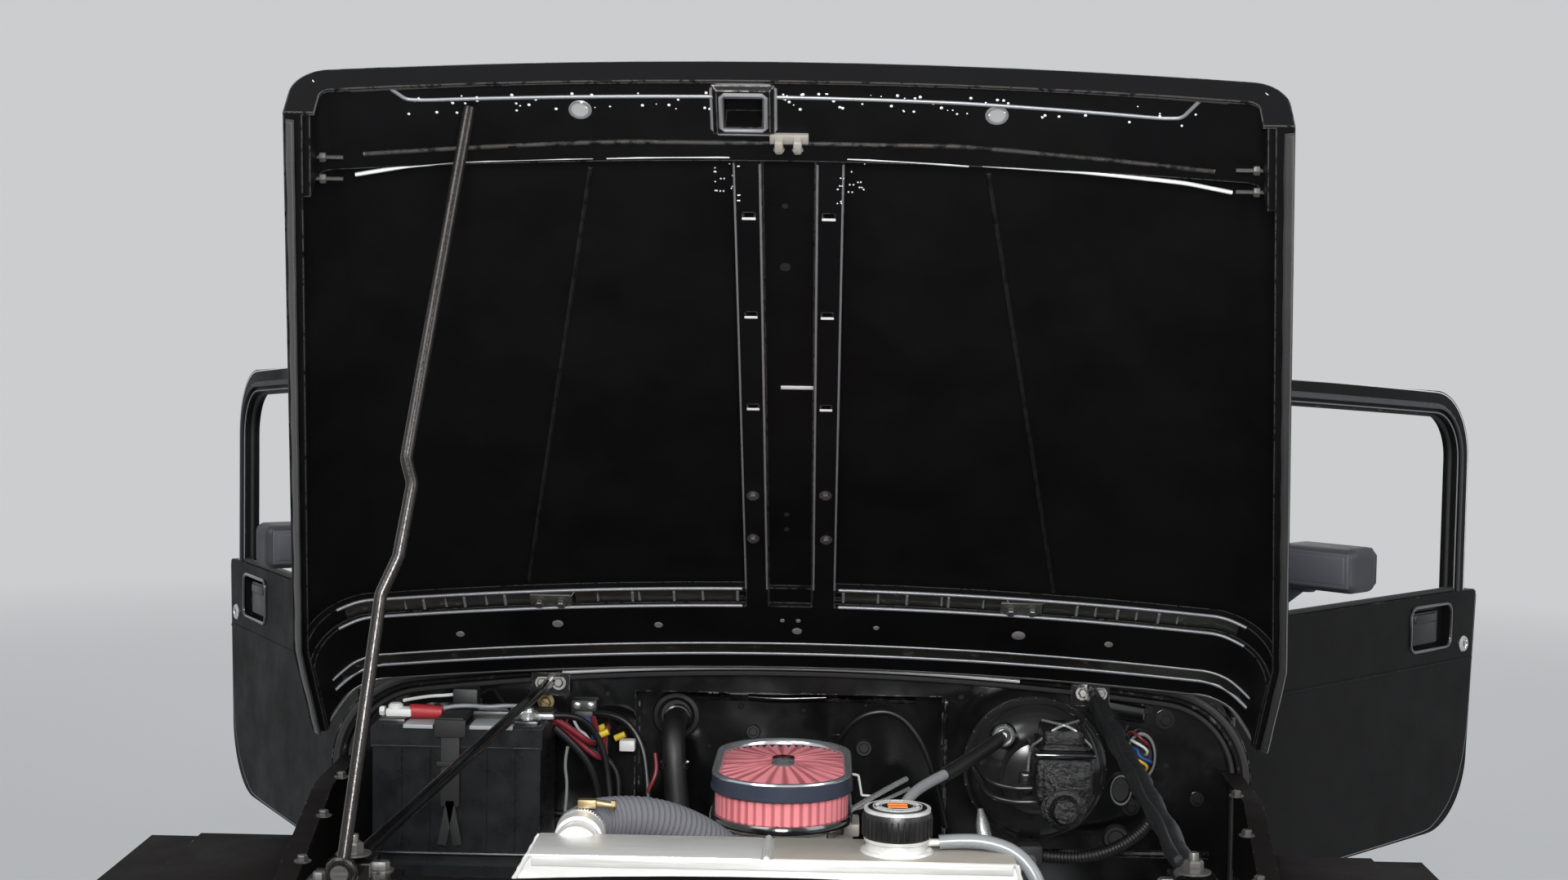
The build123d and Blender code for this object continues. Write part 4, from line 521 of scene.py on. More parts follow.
@dataclass
class Studio:
    """The plain studio: floor, backdrop, soft lamps and the camera where the photographer stood."""

    eye: Point = (0.0553, -3.2494, 1.6352)
    yaw: float = -1.2625
    pitch: float = -3.1115
    roll: float = 0.9321
    lens: float = 48.1
    sensor: float = 36.0
    floor_half: float = 30.0
    fade: tuple[float, float] = (3.5, 10.0)
    floor_colour: str = "#bdbfc1"
    backdrop: str = "#cbcdcf"
    sky: str = "#e4e6e8"
    sky_strength: float = 0.5

    def build(self) -> None:
        """Makes everything that isn't the vehicle."""
        self.make_floor()
        self.make_world()
        self.make_lamps()
        self.make_camera()

    def make_floor(self) -> None:
        """Lays the pale floor, which passes into the backdrop's colour further out."""
        mesh = bmesh.new()
        bmesh.ops.create_grid(mesh, x_segments=1, y_segments=1, size=self.floor_half)
        floor = Shop.piece("studio_floor", mesh, Finish("studio_floor", self.floor_colour, 0.6),
                           Mount("", Matrix()))
        tree = floor.data.materials[0].node_tree
        out, shader = tree.nodes["Material Output"], tree.nodes["Principled BSDF"]
        reach = add_node(tree, "ShaderNodeVectorMath", {"operation": "LENGTH"},
                         {0: add_node(tree, "ShaderNodeTexCoord").outputs["Object"]})
        far = add_node(tree, "ShaderNodeMapRange", links={"Value": reach.outputs["Value"]},
                       values={"From Min": self.fade[0], "From Max": self.fade[1]})
        glow = add_node(tree, "ShaderNodeEmission", values={"Color": linear(self.backdrop)})
        both = add_node(tree, "ShaderNodeMixShader", links={0: far.outputs["Result"], 1: shader.outputs[0],
                                                            2: glow.outputs[0]})
        tree.links.new(both.outputs[0], out.inputs["Surface"])

    def make_world(self) -> None:
        """Gives a pale even sky, and shows the backdrop's colour to the camera and in metal and glass."""
        world = bpy.data.worlds.new("studio")
        bpy.context.scene.world = world
        world.use_nodes = True
        tree = world.node_tree
        sky = tree.nodes["Background"]
        sky.inputs["Color"].default_value = linear(self.sky)
        sky.inputs["Strength"].default_value = self.sky_strength
        seen = add_node(tree, "ShaderNodeBackground", values={"Color": linear(self.backdrop), "Strength": 1.0})
        path = add_node(tree, "ShaderNodeLightPath")
        some = add_node(tree, "ShaderNodeMath", {"operation": "MAXIMUM"},
                        {0: path.outputs["Is Camera Ray"], 1: path.outputs["Is Transmission Ray"]})
        either = add_node(tree, "ShaderNodeMath", {"operation": "MAXIMUM"},
                          {0: some.outputs[0], 1: path.outputs["Is Glossy Ray"]})
        both = add_node(tree, "ShaderNodeMixShader",
                        links={0: either.outputs[0], 1: sky.outputs[0], 2: seen.outputs[0]})
        tree.links.new(both.outputs[0], tree.nodes["World Output"].inputs["Surface"])

    def make_lamps(self) -> None:
        """Hangs two wide soft lamps overhead and one by the camera."""
        table = (
            ("key", (-3.0, -5.0, 5.0), (0.0, 0.0, 1.0), 3.0, 200.0),
            ("fill", (4.5, -3.5, 3.6), (0.0, 0.0, 1.0), 3.0, 120.0),
            ("rear", (0.0, 5.5, 5.0), (0.0, 0.5, 0.8), 4.0, 170.0),
            ("flash", (0.0, -3.5, 1.90), (0.0, -0.4, 1.1), 0.7, 72.0),
        )
        for name, place, target, size, watts in table:
            lamp = bpy.data.lights.new(name, "AREA")
            lamp.size = size
            lamp.energy = watts
            item = bpy.data.objects.new(name, lamp)
            bpy.context.scene.collection.objects.link(item)
            item.location = Vector(place)
            item.rotation_euler = (Vector(target) - Vector(place)).to_track_quat("-Z", "Y").to_euler()

    def make_camera(self) -> None:
        """Sets the camera where the photograph was taken."""
        yaw, pitch, roll = (math.radians(a) for a in (self.yaw, self.pitch, self.roll))
        turn_yaw = Matrix(((math.cos(yaw), -math.sin(yaw), 0), (math.sin(yaw), math.cos(yaw), 0), (0, 0, 1)))
        turn_pitch = Matrix(((1, 0, 0), (0, math.cos(pitch), math.sin(pitch)),
                             (0, -math.sin(pitch), math.cos(pitch))))
        turn_roll = Matrix(((math.cos(roll), 0, math.sin(roll)), (0, 1, 0),
                            (-math.sin(roll), 0, math.cos(roll))))
        view = turn_roll @ turn_pitch @ turn_yaw
        right, ahead, up = (Vector(row) for row in view)
        camera = bpy.data.cameras.new("photographer")
        camera.lens = self.lens
        camera.sensor_width = self.sensor
        item = bpy.data.objects.new("photographer", camera)
        bpy.context.scene.collection.objects.link(item)
        axes = Matrix((right, up, -ahead)).transposed()
        item.matrix_world = Matrix.Translation(Vector(self.eye) + MIDDLE) @ axes.to_4x4()
        bpy.context.scene.camera = item


@dataclass(frozen=True)
class Mount:
    """Where pieces are drawn and what they ride on: a body, and the place that their own numbers start from."""

    body: str
    place: Matrix


def swung(joint: str, closed: int = 0) -> Matrix:
    """Returns the turn that takes a hinged part from one end of its range to where it stands at rest.

    Args:
        joint: the joint's name.
        closed: 0 when the closed end of the range is its lowest, 1 when it is its highest.

    Returns:
        The turn about the joint's pin.
    """
    row = next(j for j in frame["joints"] if j["name"] == joint)
    angle = -math.radians(row["range_deg"][closed])
    pin = Matrix.Translation(Vector(row["pos_m"]))
    return pin @ Matrix.Rotation(angle, 4, Vector(row["axis"])) @ pin.inverted()


BONNET_CROWN, BONNET_OPEN = 1.120, 45.3
# The bonnet's own numbers are: across, ahead of its hinge line, and down below its crown.
BONNET_PLACE = (Matrix.Translation(MIDDLE + Vector((0, 0, BONNET_CROWN)))
                @ Matrix.Rotation(-math.radians(BONNET_OPEN), 4, "X") @ Matrix.Diagonal((1, -1, -1, 1)))
STANDING = Matrix.Translation(MIDDLE)
VEHICLE = Mount("vehicle", STANDING)
BONNET = Mount("bonnet", BONNET_PLACE)
PROP = Mount("prop", STANDING)
TAILGATE = Mount("tailgate", STANDING)
FLIP = Matrix.Diagonal((-1, 1, 1, 1))
DOORS = {side: Mount(f"door_{side.name.lower()}", swung(f"door_{side.name.lower()}_swing") @ STANDING
                     @ (FLIP if side is Side.RIGHT else Matrix())) for side in Side}


class Shop:
    """The workshop's common jobs: starting shapes, bending tubes, and fixing finished pieces to a body."""

    @staticmethod
    def piece(name: str, mesh: Bmesh, finish: Finish, on: Mount = VEHICLE,
              sharp: float = 34.0) -> bpy.types.Object:
        """Turns a bmesh into a smooth-shaded object that rides on a body.

        Args:
            name: the piece's plain name.
            mesh: its shape in the mount's own numbers; it is freed here.
            finish: its surface.
            on: what carries it.
            sharp: edges that turn by more degrees than this stay crisp.

        Returns:
            The new object.
        """
        bmesh.ops.transform(mesh, matrix=on.place, verts=mesh.verts)
        bmesh.ops.recalc_face_normals(mesh, faces=mesh.faces)
        for face in mesh.faces:
            face.smooth = True
        for edge in mesh.edges:
            edge.smooth = len(edge.link_faces) == 2 and edge.calc_face_angle(0.0) < math.radians(sharp)
        data = bpy.data.meshes.new(name)
        mesh.to_mesh(data)
        mesh.free()
        item = bpy.data.objects.new(name, data)
        bpy.context.scene.collection.objects.link(item)
        data.materials.append(finish.material())
        if on.body:
            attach(item, on.body)
        log.info("%s: %d faces in %s", name, len(data.polygons), finish.name)
        return item

    @staticmethod
    def add_block(mesh: Bmesh, corners: Row, bevel: float = 0.0, turn: Optional[Matrix] = None,
                  segments: int = 2) -> None:
        """Adds a box with its edges rounded.

        Args:
            mesh: the bmesh it joins.
            corners: its lowest corner and its highest, six numbers.
            bevel: width of the rounded edges.
            turn: a move made afterwards.
            segments: faces in each rounding.
        """
        low, high = Vector(corners[:3]), Vector(corners[3:])
        made = bmesh.ops.create_cube(mesh, size=1.0)["verts"]
        bmesh.ops.scale(mesh, vec=high - low, verts=made)
        bmesh.ops.translate(mesh, vec=(high + low) / 2, verts=made)
        if turn:
            bmesh.ops.transform(mesh, matrix=turn, verts=made)
        if bevel:
            edges = list({e for v in made for e in v.link_edges})
            bmesh.ops.bevel(mesh, geom=edges, offset=bevel, affect="EDGES", segments=segments, profile=0.5,
                            material=-1)

    @staticmethod
    def add_turned(mesh: Bmesh, profile: Sequence[tuple[float, float]], place: Matrix, steps: int = 32) -> None:
        """Turns a profile of (radius, height) about the Z axis of a place.

        Args:
            mesh: the bmesh it joins.
            profile: radius and height of each point, from one end to the other.
            place: where the axis stands.
            steps: how many flats the circle has.
        """
        part = bmesh.new()
        verts = [part.verts.new((radius, 0.0, height)) for radius, height in profile]
        edges = [part.edges.new(pair) for pair in zip(verts, verts[1:])]
        bmesh.ops.spin(part, geom=verts + edges, cent=(0, 0, 0), axis=UP, angle=math.tau, steps=steps,
                       use_merge=True)
        bmesh.ops.remove_doubles(part, verts=part.verts, dist=1e-6)
        bmesh.ops.transform(part, matrix=place, verts=part.verts)
        Shop.join(mesh, part)

    @staticmethod
    def join(mesh: Bmesh, part: Bmesh) -> None:
        """Adds a finished bmesh to another and frees it.

        Args:
            mesh: the bmesh it joins.
            part: the bmesh that is used up.
        """
        data = bpy.data.meshes.new("part")
        part.to_mesh(data)
        part.free()
        mesh.from_mesh(data)
        bpy.data.meshes.remove(data)

    @staticmethod
    def stand(origin: Sequence[float], up: Sequence[float] = UP) -> Matrix:
        """Returns the place whose origin and Z axis are given."""
        turn = Vector(up).normalized().to_track_quat("Z", "Y")
        return Matrix.Translation(Vector(origin)) @ turn.to_matrix().to_4x4()

    @staticmethod
    def add_tube(mesh: Bmesh, points: Sequence[Sequence[float]], radii: Sequence[float] | float,
                 sides: int = 12, flat: float = 1.0, closed: bool = False) -> None:
        """Joins rings along a path, each as large as its radius.

        Args:
            mesh: the bmesh it joins.
            points: the path.
            radii: one radius, or one for each point.
            sides: how many flats a ring has.
            flat: how high a ring is for its width.
            closed: whether the path ends where it starts.
        """
        line = [Vector(p) for p in points]
        sizes = [radii] * len(line) if isinstance(radii, (int, float)) else list(radii)
        last = len(line) - 1
        normal = (line[1] - line[0]).orthogonal().normalized()
        rings = []
        for i, (point, radius) in enumerate(zip(line, sizes)):
            before = line[i - 1 if closed or i else 0]
            after = line[(i + 1) % len(line) if closed or i < last else last]
            ahead = (after - before).normalized()
            normal = (normal - ahead * normal.dot(ahead)).normalized()
            turn = Matrix((normal, ahead.cross(normal), ahead)).transposed().to_4x4()
            made = bmesh.ops.create_circle(mesh, segments=sides, radius=radius,
                                           cap_ends=not closed and i in (0, last),
                                           matrix=Matrix.Translation(point) @ turn
                                           @ Matrix.Diagonal((1, flat, 1, 1)))
            rings.append(list({e for v in made["verts"] for e in v.link_edges}))
        for near, far in zip(rings, rings[1:]):
            bmesh.ops.bridge_loops(mesh, edges=near + far)
        if closed:
            bmesh.ops.bridge_loops(mesh, edges=rings[-1] + rings[0])

    @staticmethod
    def rounded_loop(low: Sequence[float], high: Sequence[float], corner: float, radius: float,
                     count: int) -> list[tuple[float, float]]:
        """Goes round a rectangle with rounded corners.

        Args:
            low: its lowest corner.
            high: its highest corner.
            corner: how far the roundings' centres lie inside it.
            radius: the radius of each rounding.
            count: how many points a rounding has.

        Returns:
            The loop's points.
        """
        loop = []
        for x, y, start in ((low[0], low[1], 180), (high[0], low[1], 270), (high[0], high[1], 0),
                            (low[0], high[1], 90)):
            cx, cy = (x + corner if x == low[0] else x - corner), (y + corner if y == low[1] else y - corner)
            for i in range(count):
                angle = math.radians(start + 90 / (count - 1) * i)
                loop.append((cx + radius * math.cos(angle), cy + radius * math.sin(angle)))
        return loop

    @staticmethod
    def smooth_path(points: Sequence[Sequence[float]], step: float) -> list[Vector]:
        """Reads evenly spaced points from the smooth spline that a few points steer.

        Args:
            points: the spline's control points.
            step: distance between the points that come back.

        Returns:
            Points along the spline, ends included.
        """
        curve = bpy.data.curves.new("path", "CURVE")
        curve.dimensions = "3D"
        curve.resolution_u = 24
        spline = curve.splines.new("NURBS")
        spline.points.add(len(points) - 1)
        for item, point in zip(spline.points, points):
            item.co = (*point, 1.0)
        spline.order_u = 3
        spline.use_endpoint_u = True
        item = bpy.data.objects.new("path", curve)
        data = bpy.data.meshes.new_from_object(item)
        line = [v.co.copy() for v in data.vertices]
        bpy.data.objects.remove(item)
        bpy.data.curves.remove(curve)
        bpy.data.meshes.remove(data)
        length = sum((b - a).length for a, b in zip(line, line[1:]))
        count = max(round(length / step), 2)
        out, place, gone = [line[0]], 0, 0.0
        for i in range(1, count):
            want = length * i / count
            while gone + (line[place + 1] - line[place]).length < want:
                gone += (line[place + 1] - line[place]).length
                place += 1
            share = (want - gone) / (line[place + 1] - line[place]).length
            out.append(line[place].lerp(line[place + 1], share))
        return out + [line[-1]]

    @staticmethod
    def hose(name: str, finish: Finish, radius: float, route: Sequence[Sequence[float]], ribs: float = 0.0,
             pitch: float = 0.006, sides: int = 12, on: Mount = VEHICLE, flat: float = 1.0) -> bpy.types.Object:
        """Makes a smooth or corrugated hose, cable or bead along a smooth spline.

        Args:
            name: the piece's name.
            finish: its surface.
            radius: its outer radius.
            route: the spline's control points.
            ribs: how deep the corrugations are, or nothing for a smooth hose.
            pitch: distance between corrugations.
            sides: how many flats a ring has.
            on: what carries it.
            flat: how high its section is for its width.

        Returns:
            The finished piece.
        """
        mesh = bmesh.new()
        path = Shop.smooth_path(route, pitch / 4 if ribs else max(radius * 1.2, 0.004))
        radii = [radius - ribs * (0.0, 0.0, 1.0, 1.0)[i % 4] for i in range(len(path))]
        Shop.add_tube(mesh, path, radii, sides, flat)
        return Shop.piece(name, mesh, finish, on, 60.0)

    @staticmethod
    def hoses(rows: Sequence[tuple], sides: int = 12, on: Mount = VEHICLE) -> None:
        """Makes a smooth hose of each row: name, finish, radius and route."""
        for name, finish, radius, route in rows:
            Shop.hose(name, finish, radius, route, sides=sides, on=on)

    @staticmethod
    def blocks(name: str, finish: Finish, rows: Sequence[Row], bevel: float = 0.002, on: Mount = VEHICLE,
               segments: int = 2) -> bpy.types.Object:
        """Makes one piece of several rounded boxes, each given by six numbers.

        Args:
            name: the piece's name.
            finish: its surface.
            rows: the boxes' lowest and highest corners.
            bevel: width of the rounded edges.
            on: what carries it.
            segments: faces in each rounding.

        Returns:
            The finished piece.
        """
        mesh = bmesh.new()
        for row in rows:
            Shop.add_block(mesh, row, bevel, segments=segments)
        return Shop.piece(name, mesh, finish, on)

    @staticmethod
    def add_bolt(mesh: Bmesh, origin: Sequence[float], out: Sequence[float], across: float = 0.013,
                 high: float = 0.006, washer: float = 0.0) -> None:
        """Adds a hexagon head, standing on a washer where one is wanted.

        Args:
            mesh: the bmesh it joins.
            origin: where it is bolted down.
            out: the way its head points.
            across: its size across the corners.
            high: the height of its head.
            washer: the washer's radius.
        """
        place = Shop.stand(origin, out)
        base = 0.0018 if washer else 0.0
        if washer:
            Shop.add_turned(mesh, ((0.0, 0.0), (washer, 0.0), (washer, base), (0.0, base)), place, 20)
        half = across / 2
        Shop.add_turned(mesh, ((0.0, base), (half, base), (half, base + high * 0.8), (half * 0.82, base + high),
                               (0.0, base + high)), place, 6)

    @staticmethod
    def bolts(name: str, finish: Finish, rows: Sequence[Row], out: Sequence[float],
              on: Mount = VEHICLE) -> None:
        """Makes one piece of several bolt heads: place, size across the corners, height and washer radius.

        Args:
            name: the piece's name.
            finish: its surface.
            rows: place, size across the corners, height and washer radius of each.
            out: the way the heads point.
            on: what carries it.
        """
        mesh = bmesh.new()
        for row in rows:
            Shop.add_bolt(mesh, row[:3], out, *row[3:])
        Shop.piece(name, mesh, finish, on)

    @staticmethod
    def turned(name: str, finish: Finish, rows: Sequence[tuple], on: Mount = VEHICLE, steps: int = 32) -> None:
        """Makes one piece of several turned parts: origin, axis and profile of each.

        Args:
            name: the piece's name.
            finish: its surface.
            rows: origin, axis and profile of each part.
            on: what carries it.
            steps: how many flats a circle has.
        """
        mesh = bmesh.new()
        for origin, up, profile in rows:
            Shop.add_turned(mesh, profile, Shop.stand(origin, up), steps)
        Shop.piece(name, mesh, finish, on)


@dataclass
class BonnetUnderside:
    """What the pressed underside of the bonnet shows beyond its panels: hems, beads, holes, bolts and wear,
    with painted highlights and sheen along its lips, ridges, hems and strips, and painted shadow in its small
    holes.
    """

    length: float = 1.154
    hem_wide: float = 0.015
    hem_high: float = 0.004
    front_face: float = 0.0300
    rear_face: float = 0.0240
    strip_face: float = 0.0160
    sections: tuple[Row, ...] = ((0.0, 0.722, 0.160, 0.035, 0.108), (0.200, 0.717, 0.156, 0.034, 0.106),
                                 (1.154, 0.568, 0.104, 0.026, 0.042))

    def section(self, v: float) -> Row:
        """Returns the half width, skirt depth, crown and corner radius at a distance ahead of the hinge.

        Args:
            v: the distance ahead of the hinge.

        Returns:
            Half width, skirt depth, crown and corner radius.
        """
        near, far = self.sections[:2] if v <= self.sections[1][0] else self.sections[1:]
        share = (v - near[0]) / (far[0] - near[0])
        return tuple(a + (b - a) * share for a, b in zip(near[1:], far[1:]))

    def below(self, x: float, v: float, face: float) -> Point:
        """Returns the point of a panel face at x and v, following the crown and then the corner.

        Args:
            x: how far across.
            v: how far ahead of the hinge.
            face: the face's depth below the crown.

        Returns:
            The point in the bonnet's own numbers.
        """
        half, _, crown, corner = self.section(v)
        shoulder = half - corner
        over = abs(x) - shoulder
        if over <= 0.0:
            return (x, v, crown * (x / shoulder) ** 2 + face)
        turn = max(corner - face, 0.012)
        return (x, v, crown + face + turn - math.sqrt(turn ** 2 - min(over, turn) ** 2))

    def build(self) -> None:
        """Makes every piece of the underside."""
        for side in Side:
            self.make_hem(side)
            self.make_catch(side)
        self.make_beads()
        self.make_front_panel()
        self.make_channel()
        self.make_rear_panel()
        self.make_spatter()

    def make_hem(self, side: Side) -> None:
        """Folds the worn hem along a side skirt's lower edge.

        Args:
            side: which side.
        """
        mesh = bmesh.new()
        line = []
        for i in range(41):
            v = 0.004 + (self.length - 0.014) * i / 40
            half, skirt = self.section(v)[:2]
            line.append((side.value * (half - self.hem_wide / 2), v,
                         skirt + 0.0002 + 0.0008 * math.sin(i * 1.7)))
        Shop.add_tube(mesh, line, self.hem_wide / 2, 10, self.hem_high / self.hem_wide * 2)
        Shop.piece(f"bonnet_hem_{side.name.lower()}", mesh, WORN_HEM_SHEEN, BONNET)

    def make_catch(self, side: Side) -> None:
        """Bolts the outside catch through the skirt, with two studs and their nuts.

        Args:
            side: which side.
        """
        mesh = bmesh.new()
        for v in (1.058, 1.026):
            half, skirt = self.section(v)[:2]
            foot, tip = ((side.value * (half - inward), v, skirt * 0.62) for inward in (0.0350, 0.0620))
            Shop.add_bolt(mesh, foot, (-side.value, 0, 0), 0.012, 0.007)
            Shop.add_tube(mesh, [(side.value * (half - 0.006), v, foot[2]), tip], 0.0024, 8)
        Shop.piece(f"catch_bolts_{side.name.lower()}", mesh, WORN_STEEL, BONNET)

    def make_beads(self) -> None:
        """Lays the creases, ridges and turned lips along their lines, each bead following the crown."""
        crease = [(0.240 + 0.150 * i / 8, 1.000 - 0.800 * i / 8) for i in range(9)]
        ridge = [(-0.455, 1.146), (-0.440, 1.130), (-0.42, 1.128), (-0.2, 1.127), (0.0, 1.126), (0.2, 1.124),
                 (0.43, 1.117), (0.452, 1.119), (0.468, 1.145)]
        # The ridges, strips, folds, crest, rib edges and lips are pale grey and near-white: rubbed and bare
        # steel, lightened into painted highlights along them. The hems' lighter grey enamel is a painted sheen
        # over real wear.
        rows = (
            ("bonnet_crease_left", crease, 0.0036, 0.0036, BONNET_PAINT),
            ("bonnet_crease_right", [(-x, v) for x, v in crease], 0.0036, 0.0036, BONNET_PAINT),
            ("front_ridge", ridge, self.front_face, 0.0026, RUBBED_EDGE_HIGHLIGHT),
            ("front_crest", [(x / 100, 1.1532) for x in range(-46, 47, 4)], 0.0006, 0.0010, RUBBED_EDGE_HIGHLIGHT),
            ("front_edge", [(-0.50, 1.146), (-0.25, 1.149), (0.0, 1.150), (0.25, 1.149), (0.50, 1.146)],
             self.front_face - 0.001, 0.0030, WORN_HEM_SHEEN),
            *((f"panel_lip_{end}", line, self.front_face - 0.002, radius, BARE_STEEL_HIGHLIGHT) for end, radius, line in (
                ("a", 0.0026, ((-0.515, 1.019), (-0.450, 1.029), (-0.395, 1.033), (-0.232, 1.034))),
                ("b", 0.0028, ((-0.216, 1.034), (-0.140, 1.035), (-0.070, 1.035))),
                ("c", 0.0028, ((0.070, 1.035), (0.140, 1.033), (0.214, 1.030))),
                ("d", 0.0026, ((0.230, 1.031), (0.350, 1.028), (0.470, 1.021), (0.525, 1.012))))),
            ("panel_fold", ((-0.50, 1.052), (-0.2, 1.060), (-0.10, 1.058), (0.10, 1.058), (0.2, 1.060),
                            (0.50, 1.044)),
             self.front_face, 0.0034, BONNET_PAINT),
            *((f"strip_{level}_{side.name.lower()}", ((side.value * 0.072, v), (side.value * 0.67, v)), face,
               0.0026, RUBBED_EDGE_HIGHLIGHT)
              for level, v, face in (("upper", 0.190, self.strip_face), ("lower", 0.159, self.rear_face))
              for side in Side),
            ("rear_ridge", ((-0.69, 0.066), (0.69, 0.066)), self.rear_face, 0.0022, RUBBED_EDGE_HIGHLIGHT),
            ("rear_fold", ((-0.69, 0.040), (0.69, 0.040)), self.rear_face, 0.0030, RUBBED_EDGE_HIGHLIGHT),
            ("rear_edge", ((-0.70, 0.004), (0.70, 0.004)), self.rear_face - 0.002, 0.0034, WORN_HEM_SHEEN),
        )
        for name, line, face, radius, finish in rows:
            path = []
            for (x0, v0), (x1, v1) in zip(line, line[1:]):
                steps = max(2, math.ceil(abs(x1 - x0) / 0.02))
                path += [self.below(x0 + (x1 - x0) * i / steps, v0 + (v1 - v0) * i / steps, face)
                         for i in range(steps)]
            Shop.hose(name, finish, radius, path + [self.below(*line[-1], face)], on=BONNET, sides=8)
        # The flange and hinge strips get thin lighter grey ribbons on their faces: a painted sheen.
        self.add_ribbon("rear_flange_face", self.rear_face + 0.0007, (0.041, 0.065), (-0.680, 0.680))
        for name, ends in (("left", (0.076, 0.660)), ("right", (-0.660, -0.076))):
            self.add_ribbon(f"hinge_strip_{name}", self.strip_face + 0.0006, (0.162, 0.187), ends)
        for side in (-1, 1):
            for x in (0.0345, 0.0655):
                line = [(side * x, 0.200 + 0.820 * i / 4, 0.0238) for i in range(5)]
                Shop.hose(f"rib_edge_{'right' if side < 0 else 'left'}_{int(x * 1000)}", RUBBED_EDGE_HIGHLIGHT, 0.0017,
                          line, on=BONNET, sides=6)

    def add_ribbon(self, name: str, face: float, ahead: tuple[float, float], ends: tuple[float, float]) -> None:
        """Lays a thin folded strip across the bonnet, glossier and a lighter grey than the panel behind it: a
        painted sheen.

        Args:
            name: name of the piece.
            face: height of the face it lies on.
            ahead: its nearest and furthest distance ahead of the hinge.
            ends: its two ends along X.
        """
        mesh, rows = bmesh.new(), []
        for i in range(49):
            x = ends[0] + (ends[1] - ends[0]) * i / 48
            rows.append([mesh.verts.new(self.below(x, v, face)) for v in ahead])
        for (a, b), (c, d) in zip(rows, rows[1:]):
            mesh.faces.new((a, c, d, b))
        bmesh.ops.solidify(mesh, geom=mesh.faces[:], thickness=0.0005)
        bmesh.ops.recalc_face_normals(mesh, faces=mesh.faces[:])
        Shop.piece(name, mesh, PAINTED_SHEEN_STRIP, BONNET)

    def make_front_panel(self) -> None:
        """Frames the latch opening, hangs the bare striker bracket and rings the two round holes."""
        # The latch frame and the hole rims are pale grey: rubbed steel lightened into a painted highlight.
        mesh = bmesh.new()
        x, v, half = -0.052, 1.108, 0.026
        w = self.below(x, v, self.front_face)[2] + 0.0072
        loop = [(x + a * half, v + b * half, w) for a, b in ((-1, -0.85), (-0.85, -1), (0.85, -1), (1, -0.85),
                                                            (1, 0.85), (0.85, 1), (-0.85, 1), (-1, 0.85))]
        Shop.add_tube(mesh, loop, 0.0026, 8, closed=True)
        wide = [(x + a * 1.42 * half, v + b * 1.42 * half, w - 0.007) for a, b in
                ((-1, -0.8), (-0.8, -1), (0.8, -1), (1, -0.8), (1, 0.8), (0.8, 1), (-0.8, 1), (-1, 0.8))]
        Shop.add_tube(mesh, wide, 0.0024, 8, closed=True)
        Shop.piece("latch_frame", mesh, RUBBED_EDGE_HIGHLIGHT, BONNET)
        mesh = bmesh.new()
        Shop.add_block(mesh, (-0.022, 1.060, 0.030, 0.024, 1.074, 0.036), 0.0015)
        for x0 in (-0.016, 0.006):
            Shop.add_block(mesh, (x0, 1.054, 0.034, x0 + 0.010, 1.070, 0.045), 0.002)
            Shop.add_bolt(mesh, (x0 + 0.005, 1.050, 0.0300), UP, 0.013, 0.006)
        Shop.piece("latch_bracket", mesh, DULL_ALUMINIUM, BONNET)
        rows = [(self.below(x, 1.108, self.front_face), UP,
                 ((0.0100, -0.001), (0.0105, 0.0010), (0.0130, 0.0010), (0.0140, 0.0)))
                for x in (-0.242, 0.242)]
        Shop.turned("panel_hole_rims", RUBBED_EDGE_HIGHLIGHT, rows, BONNET)
        Shop.turned("panel_hole_plugs", PALE_PLUG,
                    [(origin, up, ((0.0, -0.0008), (0.0104, -0.0008), (0.0104, -0.004)))
                                                   for origin, up, _ in rows], BONNET)
        # The hem's worn corners are specked near-white: bare steel lightened into painted glints.
        mesh = bmesh.new()
        for side in (-1, 1):
            for i in range(9):
                x, w = side * (0.532 + 0.0038 * i), 0.026 + 0.0072 * i
                place = Matrix.Translation((x, 1.1505 - 0.0006 * (i % 3), w))
                bmesh.ops.create_icosphere(mesh, subdivisions=1, radius=0.0032 + 0.0012 * math.sin(i * 2.7),
                                           matrix=place)
        Shop.piece("hem_corner_wear", mesh, BARE_STEEL_HIGHLIGHT, BONNET)

    def make_channel(self) -> None:
        """Paints the centre channel's small holes as discs of painted shadow, and lines its ribs with slot
        lips, bolts and a scrape whose near-white is bare steel lightened into a painted highlight.
        """
        rows = [((x, v, 0.0102), UP, ((0.0, 0.0006), (radius, 0.0006), (radius, 0.0))) for x, v, radius in
                ((-0.005, 0.942, 0.004), (-0.005, 0.840, 0.007), (-0.005, 0.356, 0.004), (-0.005, 0.323, 0.004),
                 (-0.048, 0.300, 0.003), (0.048, 0.298, 0.003))]
        Shop.turned("channel_holes", PAINTED_HOLE_SHADOW, rows, BONNET, 20)
        Shop.bolts("channel_bolts", WORN_STEEL, [(x, v, 0.0242, 0.013, 0.004, 0.009) for x, v in
                   ((-0.052, 0.413), (0.050, 0.416), (-0.053, 0.318), (0.052, 0.318))], UP, BONNET)
        rows = [(x - 0.0085, v - 0.006, 0.0238, x + 0.0085, v - 0.003, 0.0262) for x in (-0.049, 0.049)
                for v in (0.938, 0.769, 0.596)]
        rows.append((-0.012, 0.617, 0.0098, 0.032, 0.623, 0.0116))
        Shop.blocks("channel_slot_lips", BARE_STEEL_HIGHLIGHT, rows, 0.0006, BONNET)

